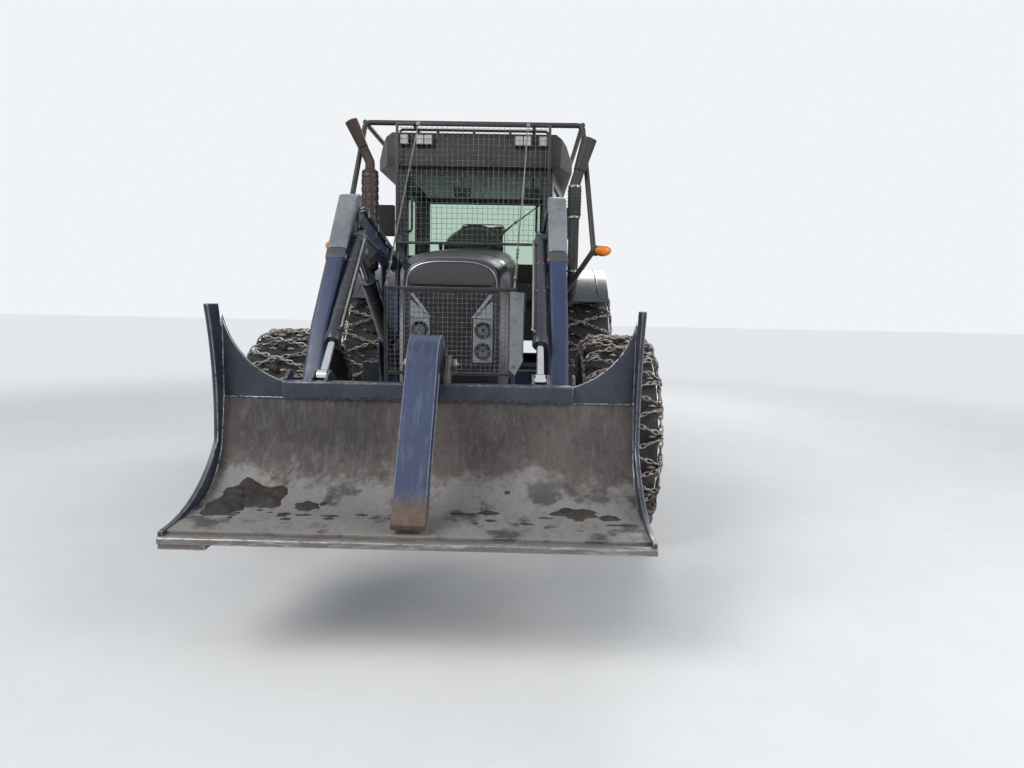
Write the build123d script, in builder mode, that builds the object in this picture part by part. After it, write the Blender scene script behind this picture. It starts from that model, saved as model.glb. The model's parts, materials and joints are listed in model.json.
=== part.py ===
from build123d import *
import os
from math import atan2, cos, degrees, hypot, radians, sin

os.makedirs("parts", exist_ok=True)

# Forestry tractor with a front loader, a log blade and a clamp arm, in millimetres.
# X runs across with the machine's left at +X, the front faces -Y, and the ground is z = 0.

# Main lengths
wheelbase = 2665
blade_reach = 2010  # from the front axle to the cutting edge
hitch_reach = 1045  # from the rear axle to the ends of the lower links
front_axle_y = (blade_reach - wheelbase - hitch_reach) / 2
rear_axle_y = front_axle_y + wheelbase
seat_gap = 0.3  # between pieces of one body that seat on each other
swing_gap = 6  # between pieces that move past each other
pin_play = 0.08  # radial play of a pin in its bore

# Tyres and rims
front_tyre_radius = 642
front_tyre_width = 440
front_rim_radius = 356
front_track = 2122
rear_tyre_radius = 873
rear_tyre_width = 600
rear_rim_radius = 483
rear_track = 1950
chain_height = 25  # how far the chains stand out of the tyre
front_axle_z = front_tyre_radius + chain_height
rear_axle_z = rear_tyre_radius + chain_height

# Cab
cab_floor_z = 1220
cab_waist_z = 1900  # where the cab widens over the fenders
cab_eaves_z = 2660
cab_wall = 50
cab_front_foot_y = front_axle_y + 1260
cab_front_top_y = front_axle_y + 1350
cab_rear_y = front_axle_y + 2980
cab_front_half = 655
cab_hinge_half = 800
cab_rear_half = 740
cab_lower_half = 600  # between the rear wheels
door_hinge_y = front_axle_y + 2420
arch_front_y = front_axle_y + 1715
roof_half = 833
roof_height = 270
glass_thickness = 8

# Loader
boom_pivot_y = front_axle_y + 1000
boom_pivot_z = 1850
boom_x = 635  # middle of each arm
boom_width = 100
knee_y = front_axle_y - 320
knee_z = 2175
carrier_pin_y = front_axle_y - 1250
carrier_pin_z = 800

# Blade
blade_half = 1000
blade_edge_z = 530
blade_plate = 20
flange_top_z = 1130
flange_size = 80
wing_top_z = 1490


def block(x, y, z, mode=Mode.ADD):
    """A box between two values on each axis."""
    with Locations(((x[0] + x[1]) / 2, (y[0] + y[1]) / 2, (z[0] + z[1]) / 2)):
        Box(x[1] - x[0], y[1] - y[0], z[1] - z[0], mode=mode)


def plate(points, x, mode=Mode.ADD):
    """A flat piece with a side outline of (y, z) points, between two x values."""
    with BuildSketch(Plane.YZ.offset(x[0])) as outline:
        with BuildLine():
            Polyline(*points, close=True)
        make_face()
    extrude(outline.sketch, amount=x[1] - x[0], mode=mode)


def panel(points, y, mode=Mode.ADD):
    """A flat piece with a front outline of (x, z) points, between two y values."""
    with BuildSketch(Plane.XZ.offset(-y[1])) as outline:
        with BuildLine():
            Polyline(*points, close=True)
        make_face()
    extrude(outline.sketch, amount=y[1] - y[0], mode=mode)


def slab(points, z, mode=Mode.ADD):
    """A flat piece with a plan outline of (x, y) points, between two z values."""
    with BuildSketch(Plane.XY.offset(z[0])) as outline:
        with BuildLine():
            Polyline(*points, close=True)
        make_face()
    extrude(outline.sketch, amount=z[1] - z[0], mode=mode)


def bar(start, end, radius, mode=Mode.ADD):
    """A round bar from one point to another."""
    run = Vector(*end) - Vector(*start)
    with BuildSketch(Plane(origin=start, z_dir=run)) as ring:
        Circle(radius)
    extrude(ring.sketch, amount=run.length, mode=mode)


def cross_bar(y, z, radius, x, mode=Mode.ADD):
    """A round bar that lies across the machine, between two x values."""
    bar((x[0], y, z), (x[1], y, z), radius, mode)


def bent_tube(points, bend, radius):
    """A round tube along straight runs that are joined by bends."""
    with BuildLine() as path:
        FilletPolyline(*points, radius=bend)
    with BuildSketch(Plane(origin=path.line @ 0, z_dir=path.line % 0)) as ring:
        Circle(radius)
    sweep(ring.sketch, path=path.line)


def both_sides(points):
    """A closed outline from its half at +X, given from one end on the axis to the other."""
    return points + [(-x, other) for x, other in reversed(points) if x]


# Wheels
rim_wall = 14
rim_lip = 22
disc_thickness = 20
hub_radius = 130
hub_length = 90
axle_stub_radius = 60


def wheel_section(x, y, z):
    """The plane through a wheel's axle, with its own x along the axle and y outwards."""
    return Plane(origin=(x, y, z), x_dir=(1, 0, 0), z_dir=(0, -1, 0))


tyre_flats = 24
lug_rows = 12
lug_height = 34
lug_lean = 28
chain_rungs = 24
chain_bar = 18
rung_step = 360 / chain_rungs


def ring_band(x, y, z, places, radii, mode=Mode.ADD):
    """A many-sided band about a wheel's axle, between two places along it with a radius each."""
    faces = []
    for place, radius in zip(places, radii):
        with BuildSketch(Plane(origin=(x + place, y, z), x_dir=(0, 1, 0), z_dir=(1, 0, 0))) as outline:
            RegularPolygon(radius, tyre_flats)
        faces.append(outline.sketch)
    loft(faces, ruled=True, mode=mode)


def tread_bars(x, y, z, angles, across, size, skew, top):
    """Bars on the tread at several angles about the axle, skewed on the tread's face."""
    corner = size[0] / 2 * sin(radians(abs(skew))) + size[1] / 2
    level = (top ** 2 - corner ** 2) ** 0.5
    places = []
    for angle in angles:
        out = Vector(0, sin(radians(angle)), cos(radians(angle)))
        face = Plane(origin=Vector(x, y, z) + out * (level - size[2] / 2), x_dir=(1, 0, 0), z_dir=out)
        places.append(face.location * Location((across, 0, 0), (0, 0, skew)))
    with Locations(*places):
        Box(*size)


def make_tyre(x, y, z, radius, width, rim_radius):
    """A tyre with leaning lugs and a chain, whose rungs lie between the lugs from ring to ring."""
    half = width / 2
    tread_half = half + chain_height
    bead_half = half * 0.80
    carcass = radius - lug_height
    bulge = rim_radius + (radius - rim_radius) * 0.5
    ground = radius + chain_height
    top = ground / cos(radians(rung_step / 2) - chain_bar / 2 / ground)  # it stands on two rungs
    with BuildPart() as tyre:
        ring_band(x, y, z, (-half * 0.86, half * 0.86), (carcass, carcass))
        for side in (1, -1):
            ring_band(x, y, z, (side * half * 0.86, side * half), (carcass, bulge))
        row_angle = 360 / lug_rows
        for side, lead in ((1, 0), (-1, row_angle / 2)):
            tread_bars(x, y, z, [lead + row_angle * row for row in range(lug_rows)],
                       side * half * 0.46, (half * 0.88, 44, lug_height + 20), side * lug_lean, radius)
        for side in (1, -1):
            place = sorted((side * half * 0.9, side * tread_half))
            ring_band(x, y, z, place, (top * 0.955, top * 0.955))
        tread_bars(x, y, z, [rung_step * (rung + 0.5) for rung in range(chain_rungs)], 0,
                   (2 * tread_half - 20, chain_bar, chain_height * 2.4), 0, top)
        for side in (1, -1):
            ring_band(x, y, z, (side * bead_half, side * (half + 1)),
                      ((rim_radius + rim_lip + 3) / cos(radians(180 / tyre_flats)), bulge * 0.97),
                      mode=Mode.SUBTRACT)
        bar((x - width, y, z), (x + width, y, z), rim_radius, mode=Mode.SUBTRACT)
    return tyre.part


def make_rim(side, x, y, z, width, rim_radius, disc_x):
    """A rim with a well, a dished disc with holes and a hub with a bore for the stub axle."""
    half = width * 0.40
    outer = rim_radius - seat_gap
    with BuildPart() as rim:
        with BuildSketch(wheel_section(x, y, z)):
            with BuildLine():
                Polyline(
                    (-half - rim_wall, outer + rim_lip),
                    (-half - seat_gap, outer + rim_lip),
                    (-half - seat_gap, outer),
                    (-half * 0.5, outer),
                    (-half * 0.35, outer - 30),
                    (half * 0.35, outer - 30),
                    (half * 0.5, outer),
                    (half + seat_gap, outer),
                    (half + seat_gap, outer + rim_lip),
                    (half + rim_wall, outer + rim_lip),
                    (half + rim_wall, outer - rim_wall),
                    (half * 0.5, outer - rim_wall),
                    (half * 0.35, outer - 30 - rim_wall),
                    (-half * 0.35, outer - 30 - rim_wall),
                    (-half * 0.5, outer - rim_wall),
                    (-half - rim_wall, outer - rim_wall),
                    close=True,
                )
            make_face()
        revolve(axis=Axis((x, y, z), (1, 0, 0)))
        disc_low = min(side * disc_x, side * (disc_x + disc_thickness))
        with BuildSketch(Plane(origin=(disc_low, y, z), x_dir=(0, 1, 0), z_dir=(1, 0, 0))):
            Circle(outer - 30 - rim_wall / 2)
            with PolarLocations(rim_radius * 0.68, 8):
                Circle(rim_radius * 0.10, mode=Mode.SUBTRACT)
            Circle(axle_stub_radius + pin_play, mode=Mode.SUBTRACT)
        extrude(amount=disc_thickness)
        cap_low = min(side * disc_x, side * (disc_x + hub_length))
        with BuildSketch(Plane(origin=(cap_low, y, z), x_dir=(0, 1, 0), z_dir=(1, 0, 0))):
            Circle(hub_radius)
            Circle(axle_stub_radius + pin_play, mode=Mode.SUBTRACT)
        extrude(amount=hub_length)
    return rim.part


front_disc_x = front_track / 2 + 40
rear_disc_x = rear_track / 2 - 60

front_left_tyre = make_tyre(front_track / 2, front_axle_y, front_axle_z,
                            front_tyre_radius, front_tyre_width, front_rim_radius)
rear_left_tyre = make_tyre(rear_track / 2, rear_axle_y, rear_axle_z,
                           rear_tyre_radius, rear_tyre_width, rear_rim_radius)

for side, hand in ((1, "left"), (-1, "right")):
    with BuildPart() as front_tyre:
        add(front_left_tyre if side > 0 else mirror(front_left_tyre, about=Plane.YZ, mode=Mode.PRIVATE))
    front_tyre.part.label = f"front_tyre_{hand}"
    export_step(front_tyre.part, f"parts/front_tyre_{hand}.step")

    with BuildPart() as front_rim:
        add(
            make_rim(
                side, side * front_track / 2, front_axle_y, front_axle_z,
                front_tyre_width, front_rim_radius, front_disc_x,
            )
        )
    front_rim.part.label = f"front_rim_{hand}"
    export_step(front_rim.part, f"parts/front_rim_{hand}.step")

    with BuildPart() as rear_tyre:
        add(rear_left_tyre if side > 0 else mirror(rear_left_tyre, about=Plane.YZ, mode=Mode.PRIVATE))
    rear_tyre.part.label = f"rear_tyre_{hand}"
    export_step(rear_tyre.part, f"parts/rear_tyre_{hand}.step")

    with BuildPart() as rear_rim:
        add(
            make_rim(
                side, side * rear_track / 2, rear_axle_y, rear_axle_z,
                rear_tyre_width, rear_rim_radius, rear_disc_x,
            )
        )
    rear_rim.part.label = f"rear_rim_{hand}"
    export_step(rear_rim.part, f"parts/rear_rim_{hand}.step")

# Front axle: a cast beam that rocks on two trunnions, with a steering knuckle at each end
kingpin_x = 800
kingpin_radius = 30
axle_boss_radius = 75
axle_boss_half = 85
knuckle_ear = 35
knuckle_face = kingpin_x + axle_boss_radius + 25
trunnion_radius = 45
cheek_inner = 190  # half of the space for the axle under the front support
cheek_thickness = 110

with BuildPart() as front_axle:
    panel(
        both_sides([(0, front_axle_z - 95), (kingpin_x - 120, front_axle_z - 60),
                    (kingpin_x, front_axle_z - 60), (kingpin_x, front_axle_z + 60),
                    (kingpin_x - 120, front_axle_z + 60), (0, front_axle_z + 95)]),
        (front_axle_y - 70, front_axle_y + 70),
    )
    bar((0, front_axle_y - 150, front_axle_z), (0, front_axle_y + 150, front_axle_z), 135)
    for side in (1, -1):
        low = front_axle_z - axle_boss_half
        bar((side * kingpin_x, front_axle_y, low),
            (side * kingpin_x, front_axle_y, front_axle_z + axle_boss_half), axle_boss_radius)
        bar((side * kingpin_x, front_axle_y, low - 10),
            (side * kingpin_x, front_axle_y, front_axle_z + axle_boss_half + 10),
            kingpin_radius + pin_play, mode=Mode.SUBTRACT)
    bar((0, front_axle_y - cheek_inner - cheek_thickness + 5, front_axle_z),
        (0, front_axle_y + cheek_inner + cheek_thickness - 5, front_axle_z), trunnion_radius)
    # Steering cylinder behind the beam
    cross_bar(front_axle_y + 105, front_axle_z + 35, 34, (-200, 200))
    cross_bar(front_axle_y + 105, front_axle_z + 35, 15, (-330, 330))
    block((-60, 60), (front_axle_y + 60, front_axle_y + 105), (front_axle_z, front_axle_z + 70))
front_axle.part.label = "front_axle"
export_step(front_axle.part, "parts/front_axle.step")

knuckle_rear = front_disc_x - 40
for side, hand in ((1, "left"), (-1, "right")):
    with BuildPart() as knuckle:
        for level in (1, -1):
            near = front_axle_z + level * (axle_boss_half + 1)
            far = near + level * knuckle_ear
            z_range = (min(near, far), max(near, far))
            block(sorted((side * (kingpin_x - 60), side * (knuckle_face + 20))),
                  (front_axle_y - 60, front_axle_y + 60), z_range)
        ear_top = axle_boss_half + 1 + knuckle_ear
        bar((side * kingpin_x, front_axle_y, front_axle_z - ear_top - 15),
            (side * kingpin_x, front_axle_y, front_axle_z + ear_top + 15), kingpin_radius)
        cross_bar(front_axle_y, front_axle_z, ear_top,
                  (side * knuckle_face, side * (knuckle_face + 60)))
        cross_bar(front_axle_y, front_axle_z, 150,
                  (side * (knuckle_face + 60), side * (front_disc_x - swing_gap)))
        cross_bar(front_axle_y, front_axle_z, axle_stub_radius,
                  (side * (front_disc_x - swing_gap), side * (front_disc_x + 80)))
        plate([(front_axle_y + 40, front_axle_z + 20), (front_axle_y + 230, front_axle_z + 20),
               (front_axle_y + 230, front_axle_z + 50), (front_axle_y + 40, front_axle_z + 50)],
              sorted((side * (knuckle_face + 5), side * (knuckle_face + 55))))
    knuckle.part.label = f"knuckle_{hand}"
    export_step(knuckle.part, f"parts/knuckle_{hand}.step")

# Front support: the casting that carries the axle, the radiator and the grille guard
support_half = 230
support_front_y = front_axle_y - 430
support_top_z = 1010
engine_front_y = front_axle_y + 320

with BuildPart() as front_support:
    cheek_y = cheek_inner + cheek_thickness
    plate(
        [(support_front_y, front_axle_z - 60), (support_front_y, support_top_z),
         (engine_front_y - seat_gap, support_top_z), (engine_front_y - seat_gap, front_axle_z - 90),
         (front_axle_y + cheek_inner, front_axle_z - 90),
         (front_axle_y + cheek_inner, front_axle_z + 150),
         (front_axle_y - cheek_inner, front_axle_z + 150),
         (front_axle_y - cheek_inner, front_axle_z - 90),
         (front_axle_y - cheek_y, front_axle_z - 90)],
        (-support_half, support_half),
    )
    bar((0, front_axle_y - cheek_y - 20, front_axle_z),
        (0, front_axle_y + cheek_y + 5, front_axle_z),
        trunnion_radius + pin_play, mode=Mode.SUBTRACT)
front_support.part.label = "front_support"
export_step(front_support.part, "parts/front_support.step")

# Engine and transmission
engine_rear_y = front_axle_y + 1080
engine_half = 240
engine_top_z = 1500
gearbox_half = 290
trumpet_radius = 130
trumpet_end = rear_disc_x - 120

with BuildPart() as engine_block:
    block((-engine_half, engine_half), (engine_front_y, engine_rear_y - seat_gap),
          (front_axle_z + 20, engine_top_z))
    block((-engine_half + 60, engine_half - 60), (engine_front_y, engine_rear_y - seat_gap),
          (front_axle_z - 130, front_axle_z + 20))
engine_block.part.label = "engine_block"
export_step(engine_block.part, "parts/engine_block.step")

with BuildPart() as transmission:
    plate(
        [(engine_rear_y, 440), (engine_rear_y, 1120), (rear_axle_y - 250, 1160),
         (rear_axle_y + 330, 1160), (rear_axle_y + 330, 520), (rear_axle_y - 350, 520),
         (engine_rear_y + 350, 440)],
        (-gearbox_half, gearbox_half),
    )
    for side in (1, -1):
        cross_bar(rear_axle_y, rear_axle_z, trumpet_radius + 30, (0, side * (gearbox_half + 120)))
        cross_bar(rear_axle_y, rear_axle_z, trumpet_radius, (0, side * trumpet_end))
        cross_bar(rear_axle_y, rear_axle_z, axle_stub_radius, (0, side * (rear_disc_x + 80)))
    # Propeller shaft to the front axle, under the engine
    bar((0, engine_rear_y + 10, 490), (0, front_axle_y + 160, front_axle_z - 172), 30)
transmission.part.label = "transmission"
export_step(transmission.part, "parts/transmission.step")

# Cab shell: hollow, raked in front, wide above the fenders and narrow between the rear wheels
door_slope = (cab_hinge_half - cab_front_half) / (door_hinge_y - cab_front_foot_y)
door_angle = atan2(cab_hinge_half - cab_front_half, door_hinge_y - cab_front_foot_y)


def side_x(y):
    """Half the cab's width at a place ahead of the door hinges."""
    return cab_front_half + (y - cab_front_foot_y) * door_slope


def cab_plan(inset):
    """The plan of the cab above its waist."""
    return both_sides([
        (side_x(cab_front_foot_y) - inset, cab_front_foot_y + inset),
        (cab_hinge_half - inset, door_hinge_y),
        (cab_rear_half - inset, cab_rear_y - inset),
    ])


def cab_foot_plan(inset):
    """The plan of the cab below its waist, cut away for the rear wheels."""
    return both_sides([
        (side_x(cab_front_foot_y) - inset, cab_front_foot_y + inset),
        (side_x(arch_front_y) - inset, arch_front_y - inset),
        (cab_lower_half - inset, arch_front_y - inset),
        (cab_lower_half - inset, cab_rear_y - inset),
    ])


def pillar_front(z):
    """Where the cab's raked front stands at a height."""
    rake = (cab_front_top_y - cab_front_foot_y) / (cab_eaves_z - cab_floor_z)
    return cab_front_foot_y + rake * (z - cab_floor_z)


def raked(inset, top, base):
    """The side outline that cuts the cab's front to its rake."""
    return [
        (pillar_front(base) + inset, base),
        (pillar_front(top) + inset, top),
        (cab_rear_y, top),
        (cab_rear_y, base),
    ]


# The left door's outline on its own plane: distance ahead of the hinge, and height
door_run = hypot(cab_hinge_half - side_x(cab_front_foot_y + 150), door_hinge_y - cab_front_foot_y - 150)
door_top_z = cab_eaves_z - 50
door_outline = [
    (0, cab_waist_z + 40), (door_run * 0.50, cab_waist_z - 80), (door_run * 0.64, cab_waist_z - 210),
    (door_run * 0.72, cab_floor_z + 140), (door_run * 0.78, cab_floor_z + 70),
    (door_run - 35, cab_floor_z + 70), (door_run - 5, cab_waist_z - 100), (door_run - 40, door_top_z),
    (0, door_top_z),
]


def door_plane(side):
    """The plane of a door, from its hinge towards its front edge, facing inwards."""
    ahead = Vector(-side * sin(door_angle), -cos(door_angle), 0)
    return Plane(origin=(side * cab_hinge_half, door_hinge_y, 0), x_dir=ahead,
                 z_dir=ahead.cross(Vector(0, 0, 1)))


def door_prism(side, inset, depth, mode=Mode.ADD):
    """The door's outline, drawn in by an inset, between two depths measured inwards."""
    face = door_plane(side)
    low, high = depth if side > 0 else (-depth[1], -depth[0])
    with BuildSketch(face.offset(low)) as outline:
        with BuildLine():
            Polyline(*door_outline, close=True)
        make_face()
        if inset:
            offset(amount=-inset, kind=Kind.INTERSECTION)
    extrude(outline.sketch, amount=high - low, mode=mode)


windscreen_half = 588
windscreen_foot_z = 1700
windscreen_top_z = cab_eaves_z - 60
rear_window_half = 600
rear_window_foot_z = 1960
quarter_front_y = door_hinge_y + 70
quarter_rear_y = cab_rear_y - 90
quarter_foot_z = rear_window_foot_z + 20
door_pin_radius = 7
door_knuckle_radius = 14
door_pin_x = cab_hinge_half + door_knuckle_radius
door_hinge_levels = (cab_waist_z + 150, door_top_z - 130)  # middles of the hinges
door_knuckle_half = 30  # half the height of a door's own knuckle

with BuildPart() as cab_inside:
    slab(cab_plan(cab_wall), (cab_waist_z + cab_wall, cab_eaves_z + 10))
    slab(cab_foot_plan(cab_wall), (cab_floor_z + cab_wall, cab_waist_z + cab_wall))
    plate(raked(cab_wall, cab_eaves_z + 10, cab_floor_z), (-900, 900), mode=Mode.INTERSECT)

with BuildPart() as cab_frame:
    slab(cab_plan(0), (cab_waist_z, cab_eaves_z))
    slab(cab_foot_plan(0), (cab_floor_z, cab_waist_z))
    plate(raked(0, cab_eaves_z, cab_floor_z), (-900, 900), mode=Mode.INTERSECT)
    add(cab_inside.part, mode=Mode.SUBTRACT)
    panel([(-windscreen_half, windscreen_foot_z), (windscreen_half, windscreen_foot_z),
           (windscreen_half, windscreen_top_z), (-windscreen_half, windscreen_top_z)],
          (cab_front_foot_y - 50, cab_front_foot_y + 300), mode=Mode.SUBTRACT)
    panel([(-rear_window_half, rear_window_foot_z), (rear_window_half, rear_window_foot_z),
           (rear_window_half, windscreen_top_z), (-rear_window_half, windscreen_top_z)],
          (cab_rear_y - 200, cab_rear_y + 50), mode=Mode.SUBTRACT)
    block((-900, 900), (quarter_front_y, quarter_rear_y),
          (quarter_foot_z, windscreen_top_z), mode=Mode.SUBTRACT)
    for side in (1, -1):
        door_prism(side, -swing_gap, (-60, 90), mode=Mode.SUBTRACT)
        # Each hinge has a pin between two arms from the pillar
        for level in door_hinge_levels:
            bar((side * door_pin_x, door_hinge_y, level - door_knuckle_half - 16),
                (side * door_pin_x, door_hinge_y, level + door_knuckle_half + 16), door_pin_radius)
            for low in (level - door_knuckle_half - 14, level + door_knuckle_half + 2):
                block(sorted((side * (cab_hinge_half - 12), side * (door_pin_x + door_knuckle_radius))),
                      (door_hinge_y + 8, door_hinge_y + 50), (low, low + 12))
                block(sorted((side * (door_pin_x - 9), side * (door_pin_x + door_knuckle_radius))),
                      (door_hinge_y - 9, door_hinge_y + 8), (low, low + 12))
cab_frame.part.label = "cab_frame"
export_step(cab_frame.part, "parts/cab_frame.step")

roof_front_y = cab_front_top_y - 90
roof_rear_y = cab_rear_y + 60
roof_top_z = cab_eaves_z + roof_height
fascia_foot_z = cab_eaves_z + 80
fascia_lean = 20  # how far the front fascia leans back

with BuildPart() as cab_roof:
    plate([(roof_front_y, cab_eaves_z + seat_gap), (roof_front_y, fascia_foot_z),
           (roof_front_y + fascia_lean, roof_top_z), (roof_rear_y - 300, roof_top_z),
           (roof_rear_y - 30, roof_top_z - 60), (roof_rear_y, fascia_foot_z),
           (roof_rear_y, cab_eaves_z + seat_gap)], (-roof_half, roof_half))
    panel(both_sides([(roof_half, cab_eaves_z), (roof_half, fascia_foot_z),
                      (roof_half - 60, roof_top_z - 70), (roof_half - 150, roof_top_z)]),
          (roof_front_y, roof_rear_y), mode=Mode.INTERSECT)
    slab(both_sides([(roof_half - 110, roof_front_y), (roof_half, roof_front_y + 240),
                     (roof_half, roof_rear_y - 250), (roof_half - 110, roof_rear_y)]),
         (cab_eaves_z, roof_top_z), mode=Mode.INTERSECT)
cab_roof.part.label = "cab_roof"
export_step(cab_roof.part, "parts/cab_roof.step")

# Fixed window panes, seated in their openings with a small gap all round
pane_inset = 15  # how far the panes stand behind the frame's face
with BuildPart() as cab_glass:
    screen_foot_y = pillar_front(windscreen_foot_z) + pane_inset
    screen_top_y = pillar_front(windscreen_top_z) + pane_inset
    plate([(screen_foot_y, windscreen_foot_z + seat_gap), (screen_top_y, windscreen_top_z - seat_gap),
           (screen_top_y + glass_thickness, windscreen_top_z - seat_gap),
           (screen_foot_y + glass_thickness, windscreen_foot_z + seat_gap)],
          (seat_gap - windscreen_half, windscreen_half - seat_gap))
    block((seat_gap - rear_window_half, rear_window_half - seat_gap),
          (cab_rear_y - pane_inset - glass_thickness, cab_rear_y - pane_inset),
          (rear_window_foot_z + seat_gap, windscreen_top_z - seat_gap))
    rear_slope = (cab_hinge_half - cab_rear_half) / (cab_rear_y - door_hinge_y)
    for side in (1, -1):
        front_x = cab_hinge_half - rear_slope * (quarter_front_y + seat_gap - door_hinge_y) - pane_inset
        rear_x = cab_hinge_half - rear_slope * (quarter_rear_y - seat_gap - door_hinge_y) - pane_inset
        slab([(side * front_x, quarter_front_y + seat_gap),
              (side * rear_x, quarter_rear_y - seat_gap),
              (side * (rear_x - glass_thickness), quarter_rear_y - seat_gap),
              (side * (front_x - glass_thickness), quarter_front_y + seat_gap)],
             (quarter_foot_z + seat_gap, windscreen_top_z - seat_gap))
cab_glass.part.label = "cab_glass"
export_step(cab_glass.part, "parts/cab_glass.step")

# Doors: a frame as thick as the cab's wall, a pane and a handle
door_rim = 45
for side, hand in ((1, "left"), (-1, "right")):
    with BuildPart() as door:
        door_prism(side, 0, (2, 42))
        door_prism(side, door_rim, (-10, 60), mode=Mode.SUBTRACT)
        with Locations(door_plane(side)):
            with Locations((door_run - 28, cab_waist_z - 30, -side * 20)):
                Box(24, 120, 50)
        for level in door_hinge_levels:
            low, high = level - door_knuckle_half, level + door_knuckle_half
            block(sorted((side * (cab_hinge_half - 16), side * door_pin_x)),
                  (door_hinge_y - 40, door_hinge_y - 8), (low, high))
            bar((side * door_pin_x, door_hinge_y, low), (side * door_pin_x, door_hinge_y, high),
                door_knuckle_radius)
            bar((side * door_pin_x, door_hinge_y, low - 5), (side * door_pin_x, door_hinge_y, high + 5),
                door_pin_radius + pin_play, mode=Mode.SUBTRACT)
    door.part.label = f"door_{hand}"
    export_step(door.part, f"parts/door_{hand}.step")

    with BuildPart() as door_glass:
        door_prism(side, door_rim + seat_gap, (18, 18 + glass_thickness))
    door_glass.part.label = f"door_glass_{hand}"
    export_step(door_glass.part, f"parts/door_glass_{hand}.step")

# Seat, steering column and console
seat_y = door_hinge_y + 120
with BuildPart() as seat:
    block((-180, 180), (seat_y - 200, seat_y + 200), (cab_floor_z + cab_wall + seat_gap, 1700))
    block((-250, 250), (seat_y - 260, seat_y + 260), (1700, 1730))
    block((-30, 30), (seat_y + 210, seat_y + 250), (1730, 2300))
seat.part.label = "seat_base"
export_step(seat.part, "parts/seat_base.step")

with BuildPart() as seat_cushion:
    block((-250, 250), (seat_y - 270, seat_y + 190), (1730 + seat_gap, 1840))
seat_cushion.part.label = "seat_cushion"
export_step(seat_cushion.part, "parts/seat_cushion.step")

with BuildPart() as seat_back:
    block((-240, 240), (seat_y + 100, seat_y + 210 - seat_gap), (1850, 2360))
seat_back.part.label = "seat_back"
export_step(seat_back.part, "parts/seat_back.step")

wheel_centre = Vector(0, cab_front_foot_y + 430, 2080)
column_foot = Vector(0, cab_front_foot_y + 180, cab_floor_z + cab_wall + seat_gap)
with BuildPart() as console:
    block((-170, 170), (cab_front_foot_y + 110, cab_front_foot_y + 260), (column_foot.Z, 1990))
    bar((0, cab_front_foot_y + 200, 1850), tuple(wheel_centre), 32)
console.part.label = "console"
export_step(console.part, "parts/console.step")

steering_wheel_radius = 200
with BuildPart() as steering_wheel:
    tilt = wheel_centre - Vector(0, cab_front_foot_y + 200, 1850)
    disc = Plane(origin=wheel_centre + tilt.normalized() * seat_gap, z_dir=tilt)
    with BuildSketch(disc):
        Circle(steering_wheel_radius)
        Circle(steering_wheel_radius - 30, mode=Mode.SUBTRACT)
        Circle(40)
        Rectangle(2 * steering_wheel_radius - 30, 28)
        with Locations((0, -steering_wheel_radius / 2)):
            Rectangle(28, steering_wheel_radius - 20)
    extrude(amount=24)
steering_wheel.part.label = "steering_wheel"
export_step(steering_wheel.part, "parts/steering_wheel.step")

# Rear fenders: an arched sheet over each rear wheel with a deep outer lip
fender_radius = cab_waist_z - rear_axle_z - seat_gap
fender_outer_x = 1240
fender_sheet = 14
fender_start = 42
fender_sweep = 108


def fender_arc(radius, angle):
    """A point on an arc about the rear axle, with the angle measured up from ahead."""
    return (rear_axle_y - radius * cos(radians(angle)), rear_axle_z + radius * sin(radians(angle)))


def fender_band(outer, inner, x):
    """An arched band over the rear wheel, between two radii and two x values."""
    last = fender_start + fender_sweep
    middle = fender_start + fender_sweep / 2
    with BuildSketch(Plane.YZ.offset(x[0])) as band:
        with BuildLine():
            ThreePointArc(fender_arc(outer, fender_start), fender_arc(outer, middle), fender_arc(outer, last))
            Line(fender_arc(outer, last), fender_arc(inner, last))
            ThreePointArc(fender_arc(inner, last), fender_arc(inner, middle), fender_arc(inner, fender_start))
            Line(fender_arc(inner, fender_start), fender_arc(outer, fender_start))
        make_face()
    extrude(band.sketch, amount=x[1] - x[0])


with BuildPart() as rear_fenders:
    for side in (1, -1):
        fender_band(fender_radius, fender_radius - fender_sheet,
                    sorted((side * (cab_lower_half + seat_gap), side * fender_outer_x)))
        fender_band(fender_radius, fender_radius - 60,
                    sorted((side * (fender_outer_x - fender_sheet), side * fender_outer_x)))
rear_fenders.part.label = "rear_fenders"
export_step(rear_fenders.part, "parts/rear_fenders.step")

# Hood: a domed shell that hinges at its rear, with the grille and the headlamps in its nose
hood_wall = 18
hood_base_z = support_top_z + seat_gap
hood_split_front_z = 1600
hood_split_rear_z = 1720
hood_rear_y = front_axle_y + 1200
nose_y = front_axle_y - 370
hood_rise = 200  # from the shoulders to the crown
hood_bulge = 3.2  # the higher, the squarer the crown's shoulders
crown_chords = 7  # on each half of the crown
# columns: y, half width, crown height
hood_sections = [
    (nose_y, 300, 1790),
    (nose_y + 170, 350, 1845),
    (hood_rear_y, 370, 1985),
]


def crown_points(half, crown, inset):
    """Half of the crown as chords, from a shoulder to the middle."""
    points = []
    for step in range(crown_chords + 1):
        angle = radians(90 * step / crown_chords)
        across = cos(angle) ** (2 / hood_bulge) if step < crown_chords else 0
        points.append(((half - inset) * across,
                       crown - hood_rise + (hood_rise - inset) * sin(angle) ** (2 / hood_bulge)))
    return points


def hood_outline(y, half, crown, inset=0):
    """One upright section of the hood, drawn in by an inset on its sides and crown."""
    with BuildSketch(Plane.XZ.offset(-y)) as outline:
        with BuildLine():
            Polyline(*both_sides([(0, hood_base_z - inset), (half - inset, hood_base_z - inset),
                                  *crown_points(half, crown, inset)]), close=True)
        make_face()
    return outline.sketch


hood_pin = (hood_rear_y - 20, 1880)  # y and z of the hinge
hood_pin_radius = 9
hood_ear_x = (140, 155)
bulkhead_y = (hood_pin[0] - 36, hood_pin[0] - 24)
bulkhead_foot_z = 1165

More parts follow.
